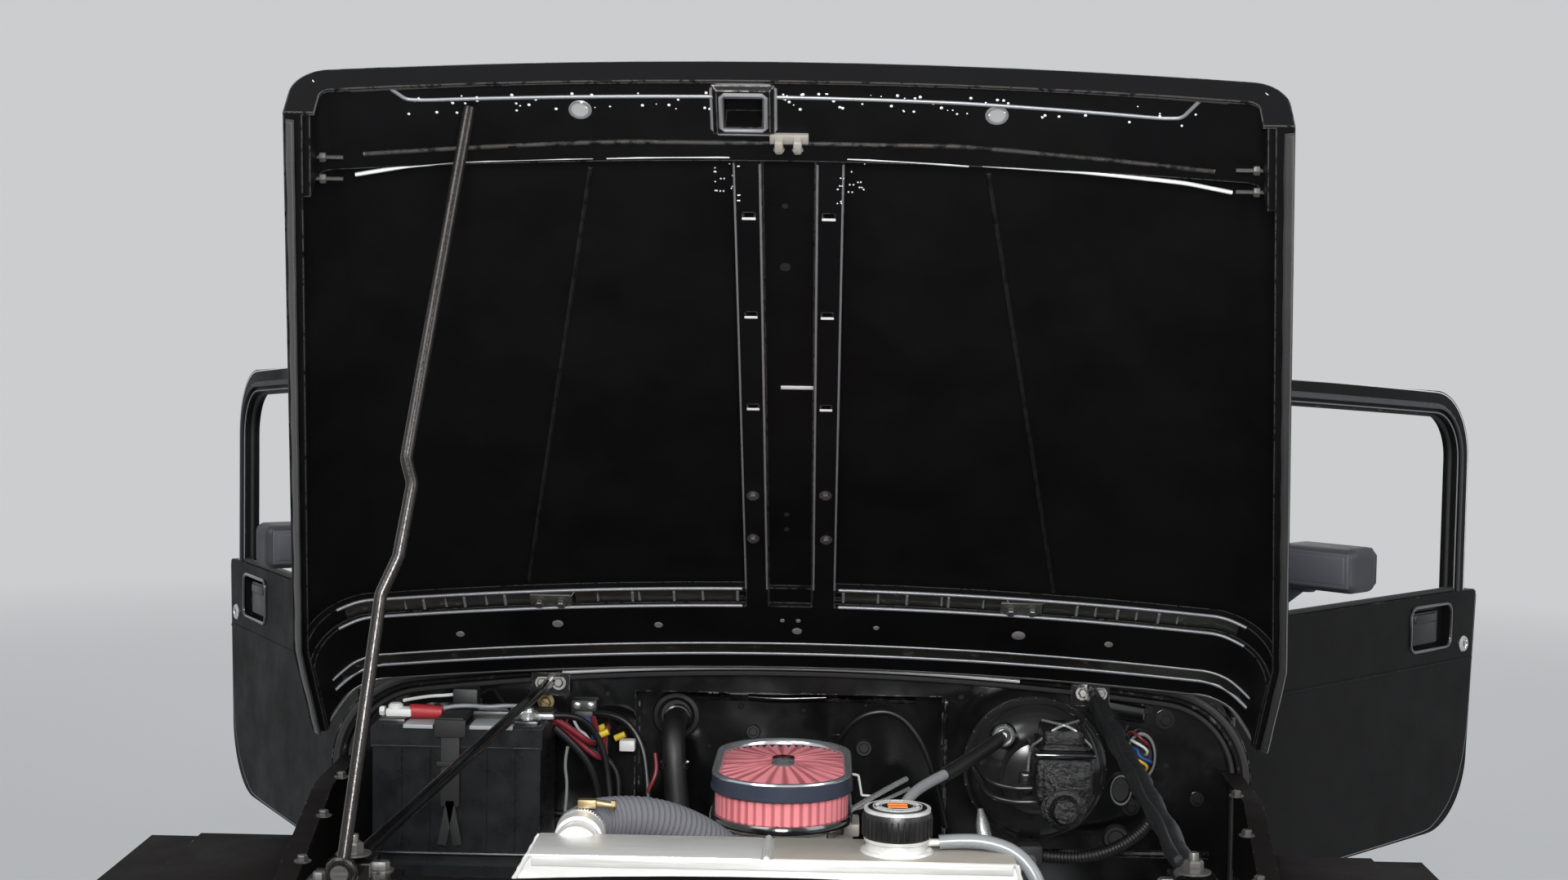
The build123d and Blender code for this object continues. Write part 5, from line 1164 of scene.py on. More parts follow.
    def make_rear_panel(self) -> None:
        """Embosses the hinge strip, stands the hinge brackets on it and plugs the drain holes."""
        # The embossing's edges are pale grey: rubbed steel lightened into a painted highlight.
        mesh = bmesh.new()
        for side in (-1, 1):
            for x in (0.105, 0.200, 0.262, 0.440, 0.500, 0.560):
                low, high = (self.below(side * x, v, self.strip_face) for v in (0.164, 0.184))
                for dx in (-0.026, 0.026) if x < 0.41 else (-0.014, 0.014):
                    Shop.add_tube(mesh, [(side * x + dx, low[1], low[2] + 0.001),
                                         (side * x + dx, high[1], high[2])],
                                  0.0022, 6)
        Shop.piece("strip_embossing", mesh, RUBBED_EDGE_HIGHLIGHT, BONNET)
        mesh = bmesh.new()
        for x in (-0.358, 0.344):
            _, v, w = self.below(x, 0.172, self.strip_face)
            Shop.add_block(mesh, (x - 0.031, v - 0.014, w, x + 0.031, v + 0.014, w + 0.006), 0.002)
            for dx in (-0.016, 0.016):
                Shop.add_bolt(mesh, (x + dx, v, w + 0.006), UP, 0.014, 0.007, 0.011)
        Shop.piece("hinge_brackets", mesh, WORN_STEEL, BONNET)
        rows = [(self.below(x, v, self.rear_face), UP, ((0.0, 0.0016), (r * 0.8, 0.0014), (r, 0.0)))
                for x, v, r in ((-0.200, 0.112, 0.007), (-0.352, 0.120, 0.009), (0.010, 0.098, 0.008),
                                (-0.012, 0.124, 0.004), (0.012, 0.124, 0.004), (0.130, 0.112, 0.005),
                                (0.345, 0.112, 0.011), (0.480, 0.108, 0.007), (-0.500, 0.105, 0.007))]
        Shop.turned("rear_panel_plugs", DUSTY_PLUG, rows, BONNET, 20)

    def make_spatter(self) -> None:
        """Leaves the small weld spatter and chips around the spot-welded ridge and channel ends, coloured
        near-white as bare steel lightened into painted glints.
        """
        mesh = bmesh.new()
        for i in range(110):
            x = 0.47 * math.sin(i * 12.9898) * math.cos(i * 0.7)
            if abs(x + 0.052) < 0.038:
                continue
            place = Matrix.Translation(self.below(x, 1.120 + 0.012 * math.sin(i * 78.233), self.front_face))
            size = 0.0009 + 0.0014 * abs(math.sin(i * 3.7))
            bmesh.ops.create_icosphere(mesh, subdivisions=1, radius=size, matrix=place)
        for i in range(48):
            x = (-0.075 if i % 2 else 0.075) + 0.016 * math.sin(i * 5.1)
            place = Matrix.Translation((x, 1.020 - 0.060 * abs(math.sin(i * 2.3)), 0.0245 if abs(x) < 0.066
                                        else 0.005))
            bmesh.ops.create_icosphere(mesh, subdivisions=1, radius=0.0013, matrix=place)
        Shop.piece("weld_spatter", mesh, BARE_STEEL_HIGHLIGHT, BONNET)


@dataclass
class AirCleaner:
    """The oval open-top air cleaner: chrome lid ring, pleated lid and side, base dish and its nut."""

    middle: Point = (0.0, -0.475, 0.988)
    half_wide: float = 0.093
    half_long: float = 0.155
    base_high: float = 0.013
    rim_low: float = 0.044
    top: float = 0.068
    pleats: int = 76

    def build(self) -> None:
        """Makes the cleaner's pieces."""
        low, top = self.rim_low, self.top
        base = self.rows("air_cleaner_base", 96, GLOSS_BLACK, (
            (0.030, 0.0, 0.0), (0.004, 0.0, 0.0), (0.0, 0.003, 0.0), (0.0, 0.009, 0.0), (0.002, 0.0125, 0.0),
            (0.012, 0.0125, 0.0)))
        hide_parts("air_cleaner")
        self.rows("air_cleaner_side", self.pleats * 2, COTTON, (
            (0.006, self.base_high - 0.002, 0.0040), (0.006, 0.030, 0.0042), (0.006, low + 0.002, 0.0040)),
                  180.0)
        self.rows("air_cleaner_band", 96, BAND_CHROME, (
            (0.010, low, 0.0), (0.001, low, 0.0), (0.0, low + 0.001, 0.0), (0.0, low + 0.004, 0.0),
            (0.0015, low + 0.005, 0.0), (0.0015, top - 0.004, 0.0)))
        self.rows("air_cleaner_rim", 96, CHROME, (
            (0.0015, top - 0.004, 0.0), (0.0012, top - 0.0030, 0.0), (0.0025, top - 0.0008, 0.0),
            (0.006, top, 0.0), (0.010, top - 0.001, 0.0), (0.0125, top - 0.004, 0.0),
            (0.013, top - 0.008, 0.0)))
        self.rows("air_cleaner_lid", 128, LID_COTTON, (
            (0.012, top - 0.0060, 0.0), (0.045, top - 0.0030, 0.0), (0.078, top - 0.0005, 0.0)), 180.0, 0.0030)
        self.make_nut()
        self.make_throat()

    def rows(self, name: str, count: int, finish: Finish, rows: Sequence[Point], sharp: float = 40.0,
             dip: float = 0.0) -> bpy.types.Object:
        """Bridges ovals into a wall.

        Args:
            name: the piece's name.
            count: points in each oval.
            finish: its surface.
            rows: how far in, how high and how deeply pleated each oval is.
            sharp: the piece's crisp-edge angle.
            dip: how deep the folds of a lid are at its rim; a lid's ovals draw together towards its middle.

        Returns:
            The finished piece.
        """
        mesh = bmesh.new()
        last: list[bmesh.types.BMEdge] = []
        for step, high, wave in rows:
            share = max(0.0, 1.0 - step / self.half_wide)
            edges = self.oval(mesh, count, step, high, wave, 0.25 + 0.75 * share if dip else 1.0,
                              dip * share * 2)
            if last:
                bmesh.ops.bridge_loops(mesh, edges=last + edges)
            last = edges
        return Shop.piece(name, mesh, finish, sharp=sharp)

    def oval(self, mesh: Bmesh, count: int, step: float, high: float, wave: float, part: float,
             dip: float) -> list[bmesh.types.BMEdge]:
        """Draws one evenly divided oval with straight flanks.

        Args:
            mesh: the bmesh it joins.
            count: how many points it has.
            step: how far inside the outline it lies.
            high: its height above the base.
            wave: how far every other point steps in.
            part: scale of the straight run.
            dip: how far every other point drops.

        Returns:
            Its edges.
        """
        radius, run = self.half_wide - step, (self.half_long - self.half_wide) * part
        around = 2 * math.pi * radius + 4 * run
        verts = bmesh.ops.create_circle(mesh, segments=count, radius=1.0)["verts"]
        for i, vert in enumerate(verts):
            gone, turned = around * i / count, math.pi * radius
            reach = radius - wave * (i % 2)
            half, gone = divmod(gone, 2 * run + turned)
            if gone < 2 * run:
                x, y = reach, gone - run
            else:
                angle = (gone - 2 * run) / radius
                x, y = reach * math.cos(angle), run + reach * math.sin(angle)
            flip = -1 if half else 1
            vert.co = Vector(self.middle) + Vector((flip * x, flip * y, high - dip * (i % 2)))
        return list({e for v in verts for e in v.link_edges})

    def make_nut(self) -> None:
        """Turns the polished nut and its dished washer."""
        mesh = bmesh.new()
        x, y, z = self.middle
        place = Shop.stand((x, y, z + self.top - 0.005)) @ Matrix.Diagonal((1.0, 1.35, 1.0, 1.0))
        Shop.add_turned(mesh, ((0.0, 0.006), (0.006, 0.006), (0.008, 0.0045), (0.012, 0.0035), (0.017, 0.003),
                               (0.019, 0.001), (0.0195, -0.002)), place, 36)
        Shop.piece("air_cleaner_nut", mesh, CHROME)

    def make_throat(self) -> None:
        """Sets the carburettor's bright castings and linkages under the base."""
        mesh = bmesh.new()
        rows = (
            (-0.085, -0.105, 0.0, 0.085, 0.105, 0.012), (-0.060, -0.085, 0.010, 0.060, 0.085, 0.046),
            (-0.092, -0.075, 0.012, -0.062, -0.035, 0.032), (0.068, -0.092, 0.012, 0.094, -0.062, 0.036),
            (-0.030, -0.115, 0.012, 0.020, -0.091, 0.028), (0.082, 0.020, 0.012, 0.104, 0.080, 0.030),
            (-0.100, 0.040, 0.012, -0.078, 0.084, 0.038),
        )
        spot = Matrix.Translation(Vector(self.middle) - Vector((0, 0, 0.052)))
        for row in rows:
            Shop.add_block(mesh, row, 0.003, spot)
        Shop.add_turned(mesh, ((0.0, 0.046), (0.062, 0.046), (0.062, 0.054), (0.0, 0.054)), spot, 32)
        for dx, dy in ((-0.075, -0.095), (0.075, -0.095), (-0.075, 0.095), (0.075, 0.095), (0.0, -0.098)):
            Shop.add_bolt(mesh, spot @ Vector((dx, dy, 0.012)), UP, 0.014, 0.009, 0.010)
        Shop.piece("carburettor_castings", mesh, DULL_ALUMINIUM)


@dataclass
class Radiator:
    """The dressed top of the radiator: folded seams, welds, neck, ribbed cap and overflow."""

    y: float = -0.955
    top: float = 1.056
    half_deep: float = 0.048
    left: float = 0.266
    right: float = -0.266
    cap_x: float = 0.137
    cap_radius: float = 0.0382

    def build(self) -> None:
        """Makes the radiator's pieces."""
        self.make_seams()
        self.make_neck()
        self.make_cap()
        self.make_overflow()

    def make_seams(self) -> None:
        """Welds the two halves of the tank and folds its long edges."""
        y, top, deep = self.y, self.top, self.half_deep
        mesh = bmesh.new()
        line = [(-0.006, y - deep + 2 * deep * i / 18, top + 0.0010) for i in range(19)]
        Shop.add_tube(mesh, line, [0.0030 + 0.0012 * (i % 2) for i in range(19)], 10)
        for foot, head in ((-0.300, self.right), (0.280, self.left)):
            for dy in (-deep, deep - 0.004):
                steps = [(foot + (head - foot) * i / 12, y + dy, top - 0.062 + 0.062 * i / 12)
                         for i in range(13)]
                Shop.add_tube(mesh, steps, [0.0022 + 0.0009 * (i % 2) for i in range(13)], 8)
        Shop.piece("tank_welds", mesh, ALUMINIUM)
        for name, finish, x0, x1, lift in (("tank_top_left", DULL_ALUMINIUM, 0.000, self.left, 0.0014),
                                           ("tank_top_right", ALUMINIUM, self.right, -0.012, 0.0010)):
            Shop.blocks(name, finish,
                        ((x0, y - deep - 0.0004, top - 0.004, x1, y + deep + 0.0004, top + lift),), 0.0012)
        Shop.blocks("tank_front_fold", ALUMINIUM,
                    ((self.right + 0.004, y - deep - 0.0014, top - 0.012, self.left - 0.004,
                      y - deep + 0.001, top - 0.0002),), 0.0008)

    def make_neck(self) -> None:
        """Turns the filler neck with its cam flange and the weld round its foot."""
        Shop.turned("filler_neck", ALUMINIUM, (((self.cap_x, self.y, self.top), UP, (
            (0.041, 0.001), (0.039, 0.004), (0.0345, 0.0055), (0.0340, 0.013), (0.0366, 0.0135),
            (0.0368, 0.0160), (0.020, 0.0164))),), steps=48)

    def make_cap(self) -> None:
        """Turns the black cap, ribs its grip and prints plain rings on its face."""
        r, place = self.cap_radius, Shop.stand((self.cap_x, self.y, self.top + 0.0165))
        mesh = bmesh.new()
        Shop.add_turned(mesh, ((r - 0.004, 0.0), (r - 0.001, 0.001), (r, 0.003), (r, 0.027),
                               (r - 0.002, 0.0315), (r - 0.006, 0.0340), (r - 0.008, 0.0338), (0.0, 0.0355)),
                        place, 72)
        for i in range(36):
            turn = Matrix.Rotation(math.tau * i / 36, 4, "Z")
            Shop.add_block(mesh, (r - 0.0006, -0.0011, 0.003, r + 0.0010, 0.0011, 0.0245), 0.0004, place @ turn,
                           1)
        Shop.piece("cap_body", mesh, CAP_BAKELITE)
        mesh = bmesh.new()
        for inner, outer in ((0.0265, 0.0275), (0.0180, 0.0188)):
            Shop.add_turned(mesh, ((inner, 0.0335), (inner, 0.0353), (outer, 0.0353), (outer, 0.0335)), place,
                            60)
        for i in (i for i in range(40) if i % 10 not in (0, 1)):
            Shop.add_block(mesh, (0.0205, -0.0009, 0.0338, 0.0248, 0.0009, 0.0354), 0.0,
                           place @ Matrix.Rotation(math.tau * i / 40, 4, "Z"))
        Shop.piece("cap_print", mesh, PALE_PRINT)
        mesh = bmesh.new()
        for angle in (0.0, math.pi):
            Shop.add_block(mesh, (-0.0110, 0.0020, 0.0345, 0.0110, 0.0100, 0.0362), 0.0004,
                           place @ Matrix.Rotation(angle, 4, "Z"), 1)
        Shop.piece("cap_bands", mesh, ORANGE_PRINT)

    def make_overflow(self) -> None:
        """Leads the clear overflow hose from its nipple along the tank and over its end."""
        x, y, z = self.cap_x, self.y, self.top
        mesh = bmesh.new()
        Shop.add_tube(mesh, [(x + 0.030, y + 0.004, z + 0.010), (x + 0.056, y + 0.006, z + 0.010)], 0.0042)
        Shop.piece("overflow_nipple", mesh, ALUMINIUM)
        Shop.hose("overflow_hose", CLEAR_HOSE, 0.0082, (
            (0.184, -0.949, 1.066), (0.205, -0.948, 1.068), (0.238, -0.950, 1.068), (0.272, -0.958, 1.058),
            (0.294, -0.970, 1.030), (0.302, -0.975, 0.985), (0.303, -0.972, 0.900)))


@dataclass
class UpperHose:
    """The corrugated radiator hose with its neck and worm clamp."""

    route: tuple[Point, ...] = (
        (-0.224, -0.866, 1.048), (-0.224, -0.846, 1.050), (-0.205, -0.812, 1.052), (-0.150, -0.780, 1.046),
        (-0.095, -0.745, 1.018), (-0.052, -0.700, 0.972), (-0.033, -0.655, 0.938))
    radius: float = 0.0265

    def build(self) -> None:
        """Makes the hose and its clamps."""
        hose = Shop.hose("upper_hose_ribs", HOSE, self.radius, self.route, 0.0022, 0.0072, 20)
        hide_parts("upper_hose")
        start, after = Vector(self.route[0]), Vector(self.route[1])
        way = (after - start).normalized()
        foot = start - way * 0.050
        Shop.turned("hose_neck", ALUMINIUM, (
            (foot, way, ((0.0, 0.0), (0.0225, 0.0), (0.0240, 0.002), (0.0240, 0.044), (0.0, 0.044))),
            (foot, way, ((0.0245, 0.022), (0.0282, 0.024), (0.0286, 0.044), (0.0245, 0.0445)))), steps=40)
        place = Shop.stand(start - way * 0.006, way)
        mesh = bmesh.new()
        Shop.add_turned(mesh, ((0.0262, 0.0), (0.0290, 0.0002), (0.0290, 0.0125), (0.0262, 0.0127)), place, 48)
        for i in range(16):
            turn = Matrix.Rotation(math.radians(50 + 7 * i), 4, "Z")
            Shop.add_block(mesh, (0.0288, -0.0006, 0.003, 0.0296, 0.0006, 0.0098), 0.0, place @ turn)
        Shop.piece("hose_clamp", mesh, STAINLESS)
        mesh = bmesh.new()
        x, y, z = -0.216, -0.866, 1.0830
        Shop.add_block(mesh, (x - 0.012, y - 0.006, z - 0.006, x + 0.010, y + 0.006, z + 0.004), 0.0015)
        Shop.add_tube(mesh, [(x + 0.008, y, z), (x + 0.030, y, z - 0.003)], 0.0042)
        Shop.add_bolt(mesh, (x + 0.026, y, z - 0.0025), (1, 0, -0.1), 0.013, 0.006)
        Shop.piece("clamp_screw", mesh, BRASS)


@dataclass
class Battery:
    """The dressed battery: lid blocks, terminals, cables, hold-down and rubber strap."""

    front: float = -0.206
    top: float = 1.040
    live_post: Point = (-0.586, -0.160, 1.040)
    earth_post: Point = (-0.388, -0.160, 1.040)

    def build(self) -> None:
        """Makes the battery's pieces."""
        self.make_lid()
        self.make_terminals()
        self.make_strap()
        self.make_cables()

    def make_lid(self) -> None:
        """Sets the lid's raised blocks and vent plugs, its pale blank panels, and the case's moulded ribs."""
        top, front = self.top, self.front
        Shop.blocks("battery_lid_blocks", BATTERY_CASE, (
            (-0.606, -0.190, top - 0.004, -0.566, -0.128, top + 0.006),
            (-0.408, -0.190, top - 0.004, -0.368, -0.128, top + 0.006),
            (-0.556, -0.120, top - 0.004, -0.418, -0.052, top + 0.007),
            (-0.6145, front - 0.0012, top - 0.034, -0.3595, front + 0.004, top - 0.030),
            (-0.610, front - 0.0006, 0.846, -0.364, front + 0.004, 0.852)), 0.003)
        Shop.turned("battery_plugs", BATTERY_CASE, [((-0.547 + 0.0193 * i, -0.085, top + 0.002), UP, (
            (0.0, 0.008), (0.0075, 0.008), (0.0085, 0.0065), (0.0085, 0.0))) for i in range(7)], steps=20)
        Shop.blocks("battery_lid_panels", PALE_PANEL, (
            (-0.566, front - 0.0004, top - 0.0050, -0.522, -0.150, top + 0.0008),
            (-0.468, front - 0.0004, top - 0.0050, -0.404, -0.150, top + 0.0008)), 0.0008)

    def make_terminals(self) -> None:
        """Clamps both posts, sleeves the live one in red and leaves the other bright."""
        x, y, z = self.live_post
        mesh = bmesh.new()
        Shop.add_turned(mesh, ((0.0, 0.022), (0.008, 0.022), (0.011, 0.019), (0.012, 0.0), (0.0, 0.0)),
                        Shop.stand((x, y, z + 0.002)), 24)
        Shop.add_block(mesh, (x - 0.014, y - 0.013, z + 0.004, x + 0.026, y + 0.013, z + 0.018), 0.005)
        Shop.add_bolt(mesh, (x - 0.016, y, z + 0.012), (-1, 0, 0), 0.015, 0.008)
        Shop.piece("live_clamp", mesh, PALE_PLASTIC)
        mesh = bmesh.new()
        Shop.add_tube(mesh, [(x + 0.022, y, z + 0.012), (x + 0.030, y, z + 0.012), (x + 0.070, y, z + 0.011)],
                      [0.0105, 0.0110, 0.0095], 16)
        Shop.piece("live_sleeve", mesh, RED_SLEEVE)
        x, y, z = self.earth_post
        mesh = bmesh.new()
        for profile in (((0.0, 0.020), (0.008, 0.020), (0.009, 0.018), (0.010, 0.0), (0.0, 0.0)),
                        ((0.010, 0.003), (0.0145, 0.003), (0.0145, 0.015), (0.010, 0.015))):
            Shop.add_turned(mesh, profile, Shop.stand((x, y, z)), 28)
        Shop.add_block(mesh, (x + 0.010, y - 0.008, z + 0.004, x + 0.040, y + 0.008, z + 0.013), 0.003)
        Shop.add_bolt(mesh, (x - 0.014, y - 0.004, z + 0.009), (-1, -0.3, 0), 0.014, 0.010)
        Shop.piece("earth_clamp", mesh, STAINLESS)

    def make_strap(self) -> None:
        """Pulls the rubber strap over the lid and down the front, where its end splits."""
        mesh = bmesh.new()
        x, front, top = -0.495, self.front, self.top
        for row in ((x - 0.019, front - 0.003, top + 0.001, x + 0.019, -0.040, top + 0.012),
                    (x - 0.023, front - 0.009, top - 0.016, x + 0.023, front - 0.002, top + 0.010),
                    (x - 0.014, front - 0.006, top - 0.120, x + 0.014, front - 0.002, top - 0.012),
                    (x - 0.020, front - 0.008, top - 0.060, x + 0.020, front - 0.002, top - 0.052)):
            Shop.add_block(mesh, row, 0.0015)
        for lean in (-1, 1):
            turn = (Matrix.Translation((x, front - 0.004, top - 0.116))
                    @ Matrix.Rotation(math.radians(11 * lean), 4, "Y"))
            Shop.add_block(mesh, (-0.007, -0.002, -0.062, 0.007, 0.002, 0.006), 0.001, turn)
        Shop.piece("battery_strap", mesh, STRAP_RUBBER)

    def make_cables(self) -> None:
        """Runs the battery's cables and the fused leads across the lid to the bulkhead."""
        Shop.hoses((
            ("earth_cable", CABLE_BLACK, 0.0052,
             ((-0.350, -0.160, 1.049), (-0.325, -0.150, 1.050), (-0.296, -0.130, 1.030),
              (-0.276, -0.120, 0.985), (-0.268, -0.120, 0.920), (-0.262, -0.125, 0.860))),
            ("live_cable", CABLE_RED, 0.0046,
             ((-0.352, -0.150, 1.044), (-0.326, -0.140, 1.026), (-0.300, -0.130, 1.004),
              (-0.290, -0.100, 0.996), (-0.296, -0.060, 1.010), (-0.305, -0.030, 1.022))),
            ("live_tail", CABLE_RED, 0.0040,
             ((-0.352, -0.145, 1.038), (-0.322, -0.130, 1.010), (-0.288, -0.120, 0.978),
              (-0.276, -0.100, 0.975), (-0.286, -0.070, 1.000), (-0.280, -0.040, 1.010))),
            ("live_drop", CABLE_RED, 0.0030,
             ((-0.207, -0.045, 0.972), (-0.202, -0.055, 0.950), (-0.209, -0.062, 0.930),
              (-0.216, -0.060, 0.915))),
            ("lid_lead_grey", CABLE_GREY, 0.0032,
             ((-0.536, -0.160, 1.052), (-0.510, -0.150, 1.058), (-0.480, -0.140, 1.0585),
              (-0.450, -0.150, 1.058), (-0.420, -0.140, 1.060), (-0.392, -0.150, 1.0605))),
            ("lid_lead_white", CABLE_WHITE, 0.0026,
             ((-0.576, -0.150, 1.066), (-0.550, -0.110, 1.066), (-0.520, -0.090, 1.064),
              (-0.500, -0.080, 1.066))),
            ("lid_lead_black", CABLE_BLACK, 0.0028,
             ((-0.470, -0.080, 1.066), (-0.452, -0.085, 1.078), (-0.440, -0.110, 1.066),
              (-0.420, -0.130, 1.052))),
        ))
        Shop.blocks("fuse_holder", TRIM, ((-0.512, -0.100, 1.046, -0.474, -0.070, 1.076),), 0.003)
        mesh = bmesh.new()
        for x, y, z in ((-0.297, -0.010, 1.003), (-0.265, -0.010, 0.991), (-0.284, -0.078, 1.008)):
            Shop.add_tube(mesh, [(x - 0.008, y, z - 0.004), (x + 0.008, y, z + 0.003)], 0.0050, 10)
        Shop.piece("crimp_connectors", mesh, YELLOW_SLEEVE)


@dataclass
class Bulkhead:
    """What is fixed to the bulkhead: seal, relay, grommets, beads, plugs, bolts, wiring panel and cables."""

    face: float = 0.016
    recess: float = 0.080
    half: float = 0.722
    corner: float = 0.150
    top: float = 1.120
    crown: float = 0.035

    def build(self) -> None:
        """Makes the bulkhead's pieces."""
        self.make_seals()
        self.make_relay()
        self.make_heater()
        self.make_fasteners()
        self.make_wiring_panel()
        self.make_control_cables()
        self.make_pressings()

    def arch(self, inset: float, y: float, low: float) -> list[Point]:
        """Returns points round the cowl's arch.

        Args:
            inset: how far inside the cowl's outline.
            y: the station.
            low: where the line ends on each side.

        Returns:
            The points, left side first.
        """
        half, corner = self.half - inset, self.corner - inset
        spring = self.top - inset - self.crown
        centre, span = spring - corner, half - corner
        line = [(half, y, low), (half, y, centre)]
        line += [(span + corner * math.cos(a), y, centre + corner * math.sin(a))
                 for a in (math.radians(15 * i) for i in range(1, 7))]
        line += [(x, y, spring + self.crown * (1 - (x / span) ** 2))
                 for x in (span * (1 - i / 8) for i in range(1, 9))]
        return line + [(-x, y, z) for x, y, z in line[-2::-1]]

    def make_seals(self) -> None:
        """Lays two seals round the cowl's edge, its pinch flange with a near-white painted highlight along its
        crest, and the recess's bulge.
        """
        for name, inset, y, radius, finish in (
                ("cowl_seal_outer", 0.009, 0.0040, 0.0070, SEAL_RUBBER),
                ("cowl_seal_inner", 0.028, 0.0060, 0.0050, SEAL_RUBBER),
                ("cowl_pinch_flange", 0.0185, 0.0020, 0.0034, SATIN_PAINT)):
            mesh = bmesh.new()
            Shop.add_tube(mesh, Shop.smooth_path(self.arch(inset, y, 0.78), 0.014), radius, 10)
            Shop.piece(name, mesh, finish)
        # The flange's crest is a near-white tube: a painted highlight along it.
        crest = [point for point in self.arch(0.0182, 0.0008, 0.78) if abs(point[0]) < 0.36]
        Shop.hose("cowl_flange_crest", BARE_STEEL_HIGHLIGHT, 0.0034, crest)
        bulge = [(x, self.recess - deep, z) for x, deep, z in (
            (-0.068, 0.0, 1.041), (-0.030, 0.003, 1.039), (0.010, 0.003, 1.040), (0.056, 0.0, 1.042))]
        Shop.hose("recess_bulge", GLOSS_BLACK, 0.007, bulge)

    def make_relay(self) -> None:
        """Screws the relay block to the bulkhead, with its wires and the brass stud beside it."""
        Shop.blocks("relay_block", TRIM, ((-0.338, -0.004, 1.010, -0.308, self.face, 1.028),
                                          (-0.344, 0.000, 1.020, -0.303, self.face, 1.044)), 0.003)
        Shop.turned("relay_screws", STAINLESS, [((x, -0.0005, 1.036), FORWARD, ((0.0, 0.0015), (0.003, 0.0015),
                    (0.0055, 0.0))) for x in (-0.334, -0.313)], steps=20)
        mesh = bmesh.new()
        Shop.add_bolt(mesh, (-0.385, self.face, 1.0385), FORWARD, 0.018, 0.010, 0.013)
        Shop.add_tube(mesh, [(-0.385, 0.006, 1.0385), (-0.385, -0.012, 1.0385)], 0.0035, 10)
        Shop.piece("brass_stud", mesh, BRASS)
        Shop.hoses((
            ("relay_wire_red", CABLE_RED, 0.0026,
             ((-0.346, -0.004, 1.018), (-0.352, -0.016, 1.010), (-0.346, -0.020, 0.995),
              (-0.334, -0.018, 0.985))),
            ("relay_wire_blue", CABLE_BLUE, 0.0022,
             ((-0.328, -0.004, 1.016), (-0.312, -0.020, 1.020), (-0.302, -0.030, 1.010),
              (-0.306, -0.030, 0.990))),
            ("relay_wire_white", CABLE_WHITE, 0.0024,
             ((-0.338, -0.006, 1.014), (-0.330, -0.018, 1.000), (-0.316, -0.024, 0.996),
              (-0.308, -0.022, 0.980))),
            ("relay_wire_low", CABLE_RED, 0.0022,
             ((-0.316, -0.006, 1.006), (-0.300, -0.020, 1.000), (-0.292, -0.030, 0.985),
              (-0.298, -0.035, 0.960))),
            ("loom_black", CABLE_BLACK, 0.0055,
             ((-0.306, -0.002, 1.024), (-0.266, -0.020, 1.028), (-0.232, -0.030, 0.995),
              (-0.218, -0.040, 0.940), (-0.214, -0.060, 0.860))),
            ("loom_low", CABLE_BLACK, 0.0065,
             ((-0.350, -0.150, 1.030), (-0.318, -0.140, 1.000), (-0.292, -0.130, 0.960),
              (-0.282, -0.120, 0.900), (-0.284, -0.120, 0.840))),
            ("loom_side", CABLE_BLACK, 0.0048,
             ((-0.340, -0.100, 1.000), (-0.310, -0.090, 0.990), (-0.270, -0.080, 0.965),
              (-0.256, -0.080, 0.930), (-0.262, -0.085, 0.880))),
            ("lead_pale", CABLE_GREY, 0.0024,
             ((-0.330, -0.145, 1.000), (-0.336, -0.140, 0.975), (-0.330, -0.138, 0.940),
              (-0.334, -0.138, 0.900))),
        ), 8)
        Shop.blocks("relay_connector", PALE_PLASTIC, ((-0.300, -0.012, 0.962, -0.286, 0.010, 0.998),
                                                      (-0.262, -0.052, 0.975, -0.238, -0.030, 0.992)), 0.002)

    def make_heater(self) -> None:
        """Fits the heater's grommet and its elbowed hose to the recess."""
        Shop.turned("heater_grommet", SEAL_RUBBER, (((-0.183, self.recess, 1.010), FORWARD, (
            (0.0, 0.006), (0.024, 0.006), (0.030, 0.012), (0.036, 0.010), (0.039, 0.004), (0.039, 0.0))),),
                    steps=40)
        hose = Shop.hose("heater_hose", HOSE_BLACK, 0.0185, (
            (-0.180, 0.076, 1.010), (-0.180, 0.020, 1.010), (-0.180, -0.032, 1.008), (-0.178, -0.046, 0.965),
            (-0.170, -0.050, 0.880), (-0.160, -0.060, 0.810), (-0.150, -0.120, 0.790)), sides=24)
        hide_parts("bay_hoses")
        Shop.turned("heater_clamps", GLOSS_BLACK, (
            ((-0.177, -0.040, 0.960), (0, 0, -1),
             ((0.0195, 0.0), (0.0225, 0.001), (0.0225, 0.012), (0.0195, 0.013))),
            ((-0.180, 0.052, 1.010), FORWARD,
             ((0.0190, 0.0), (0.0215, 0.001), (0.0215, 0.010), (0.0190, 0.011)))))

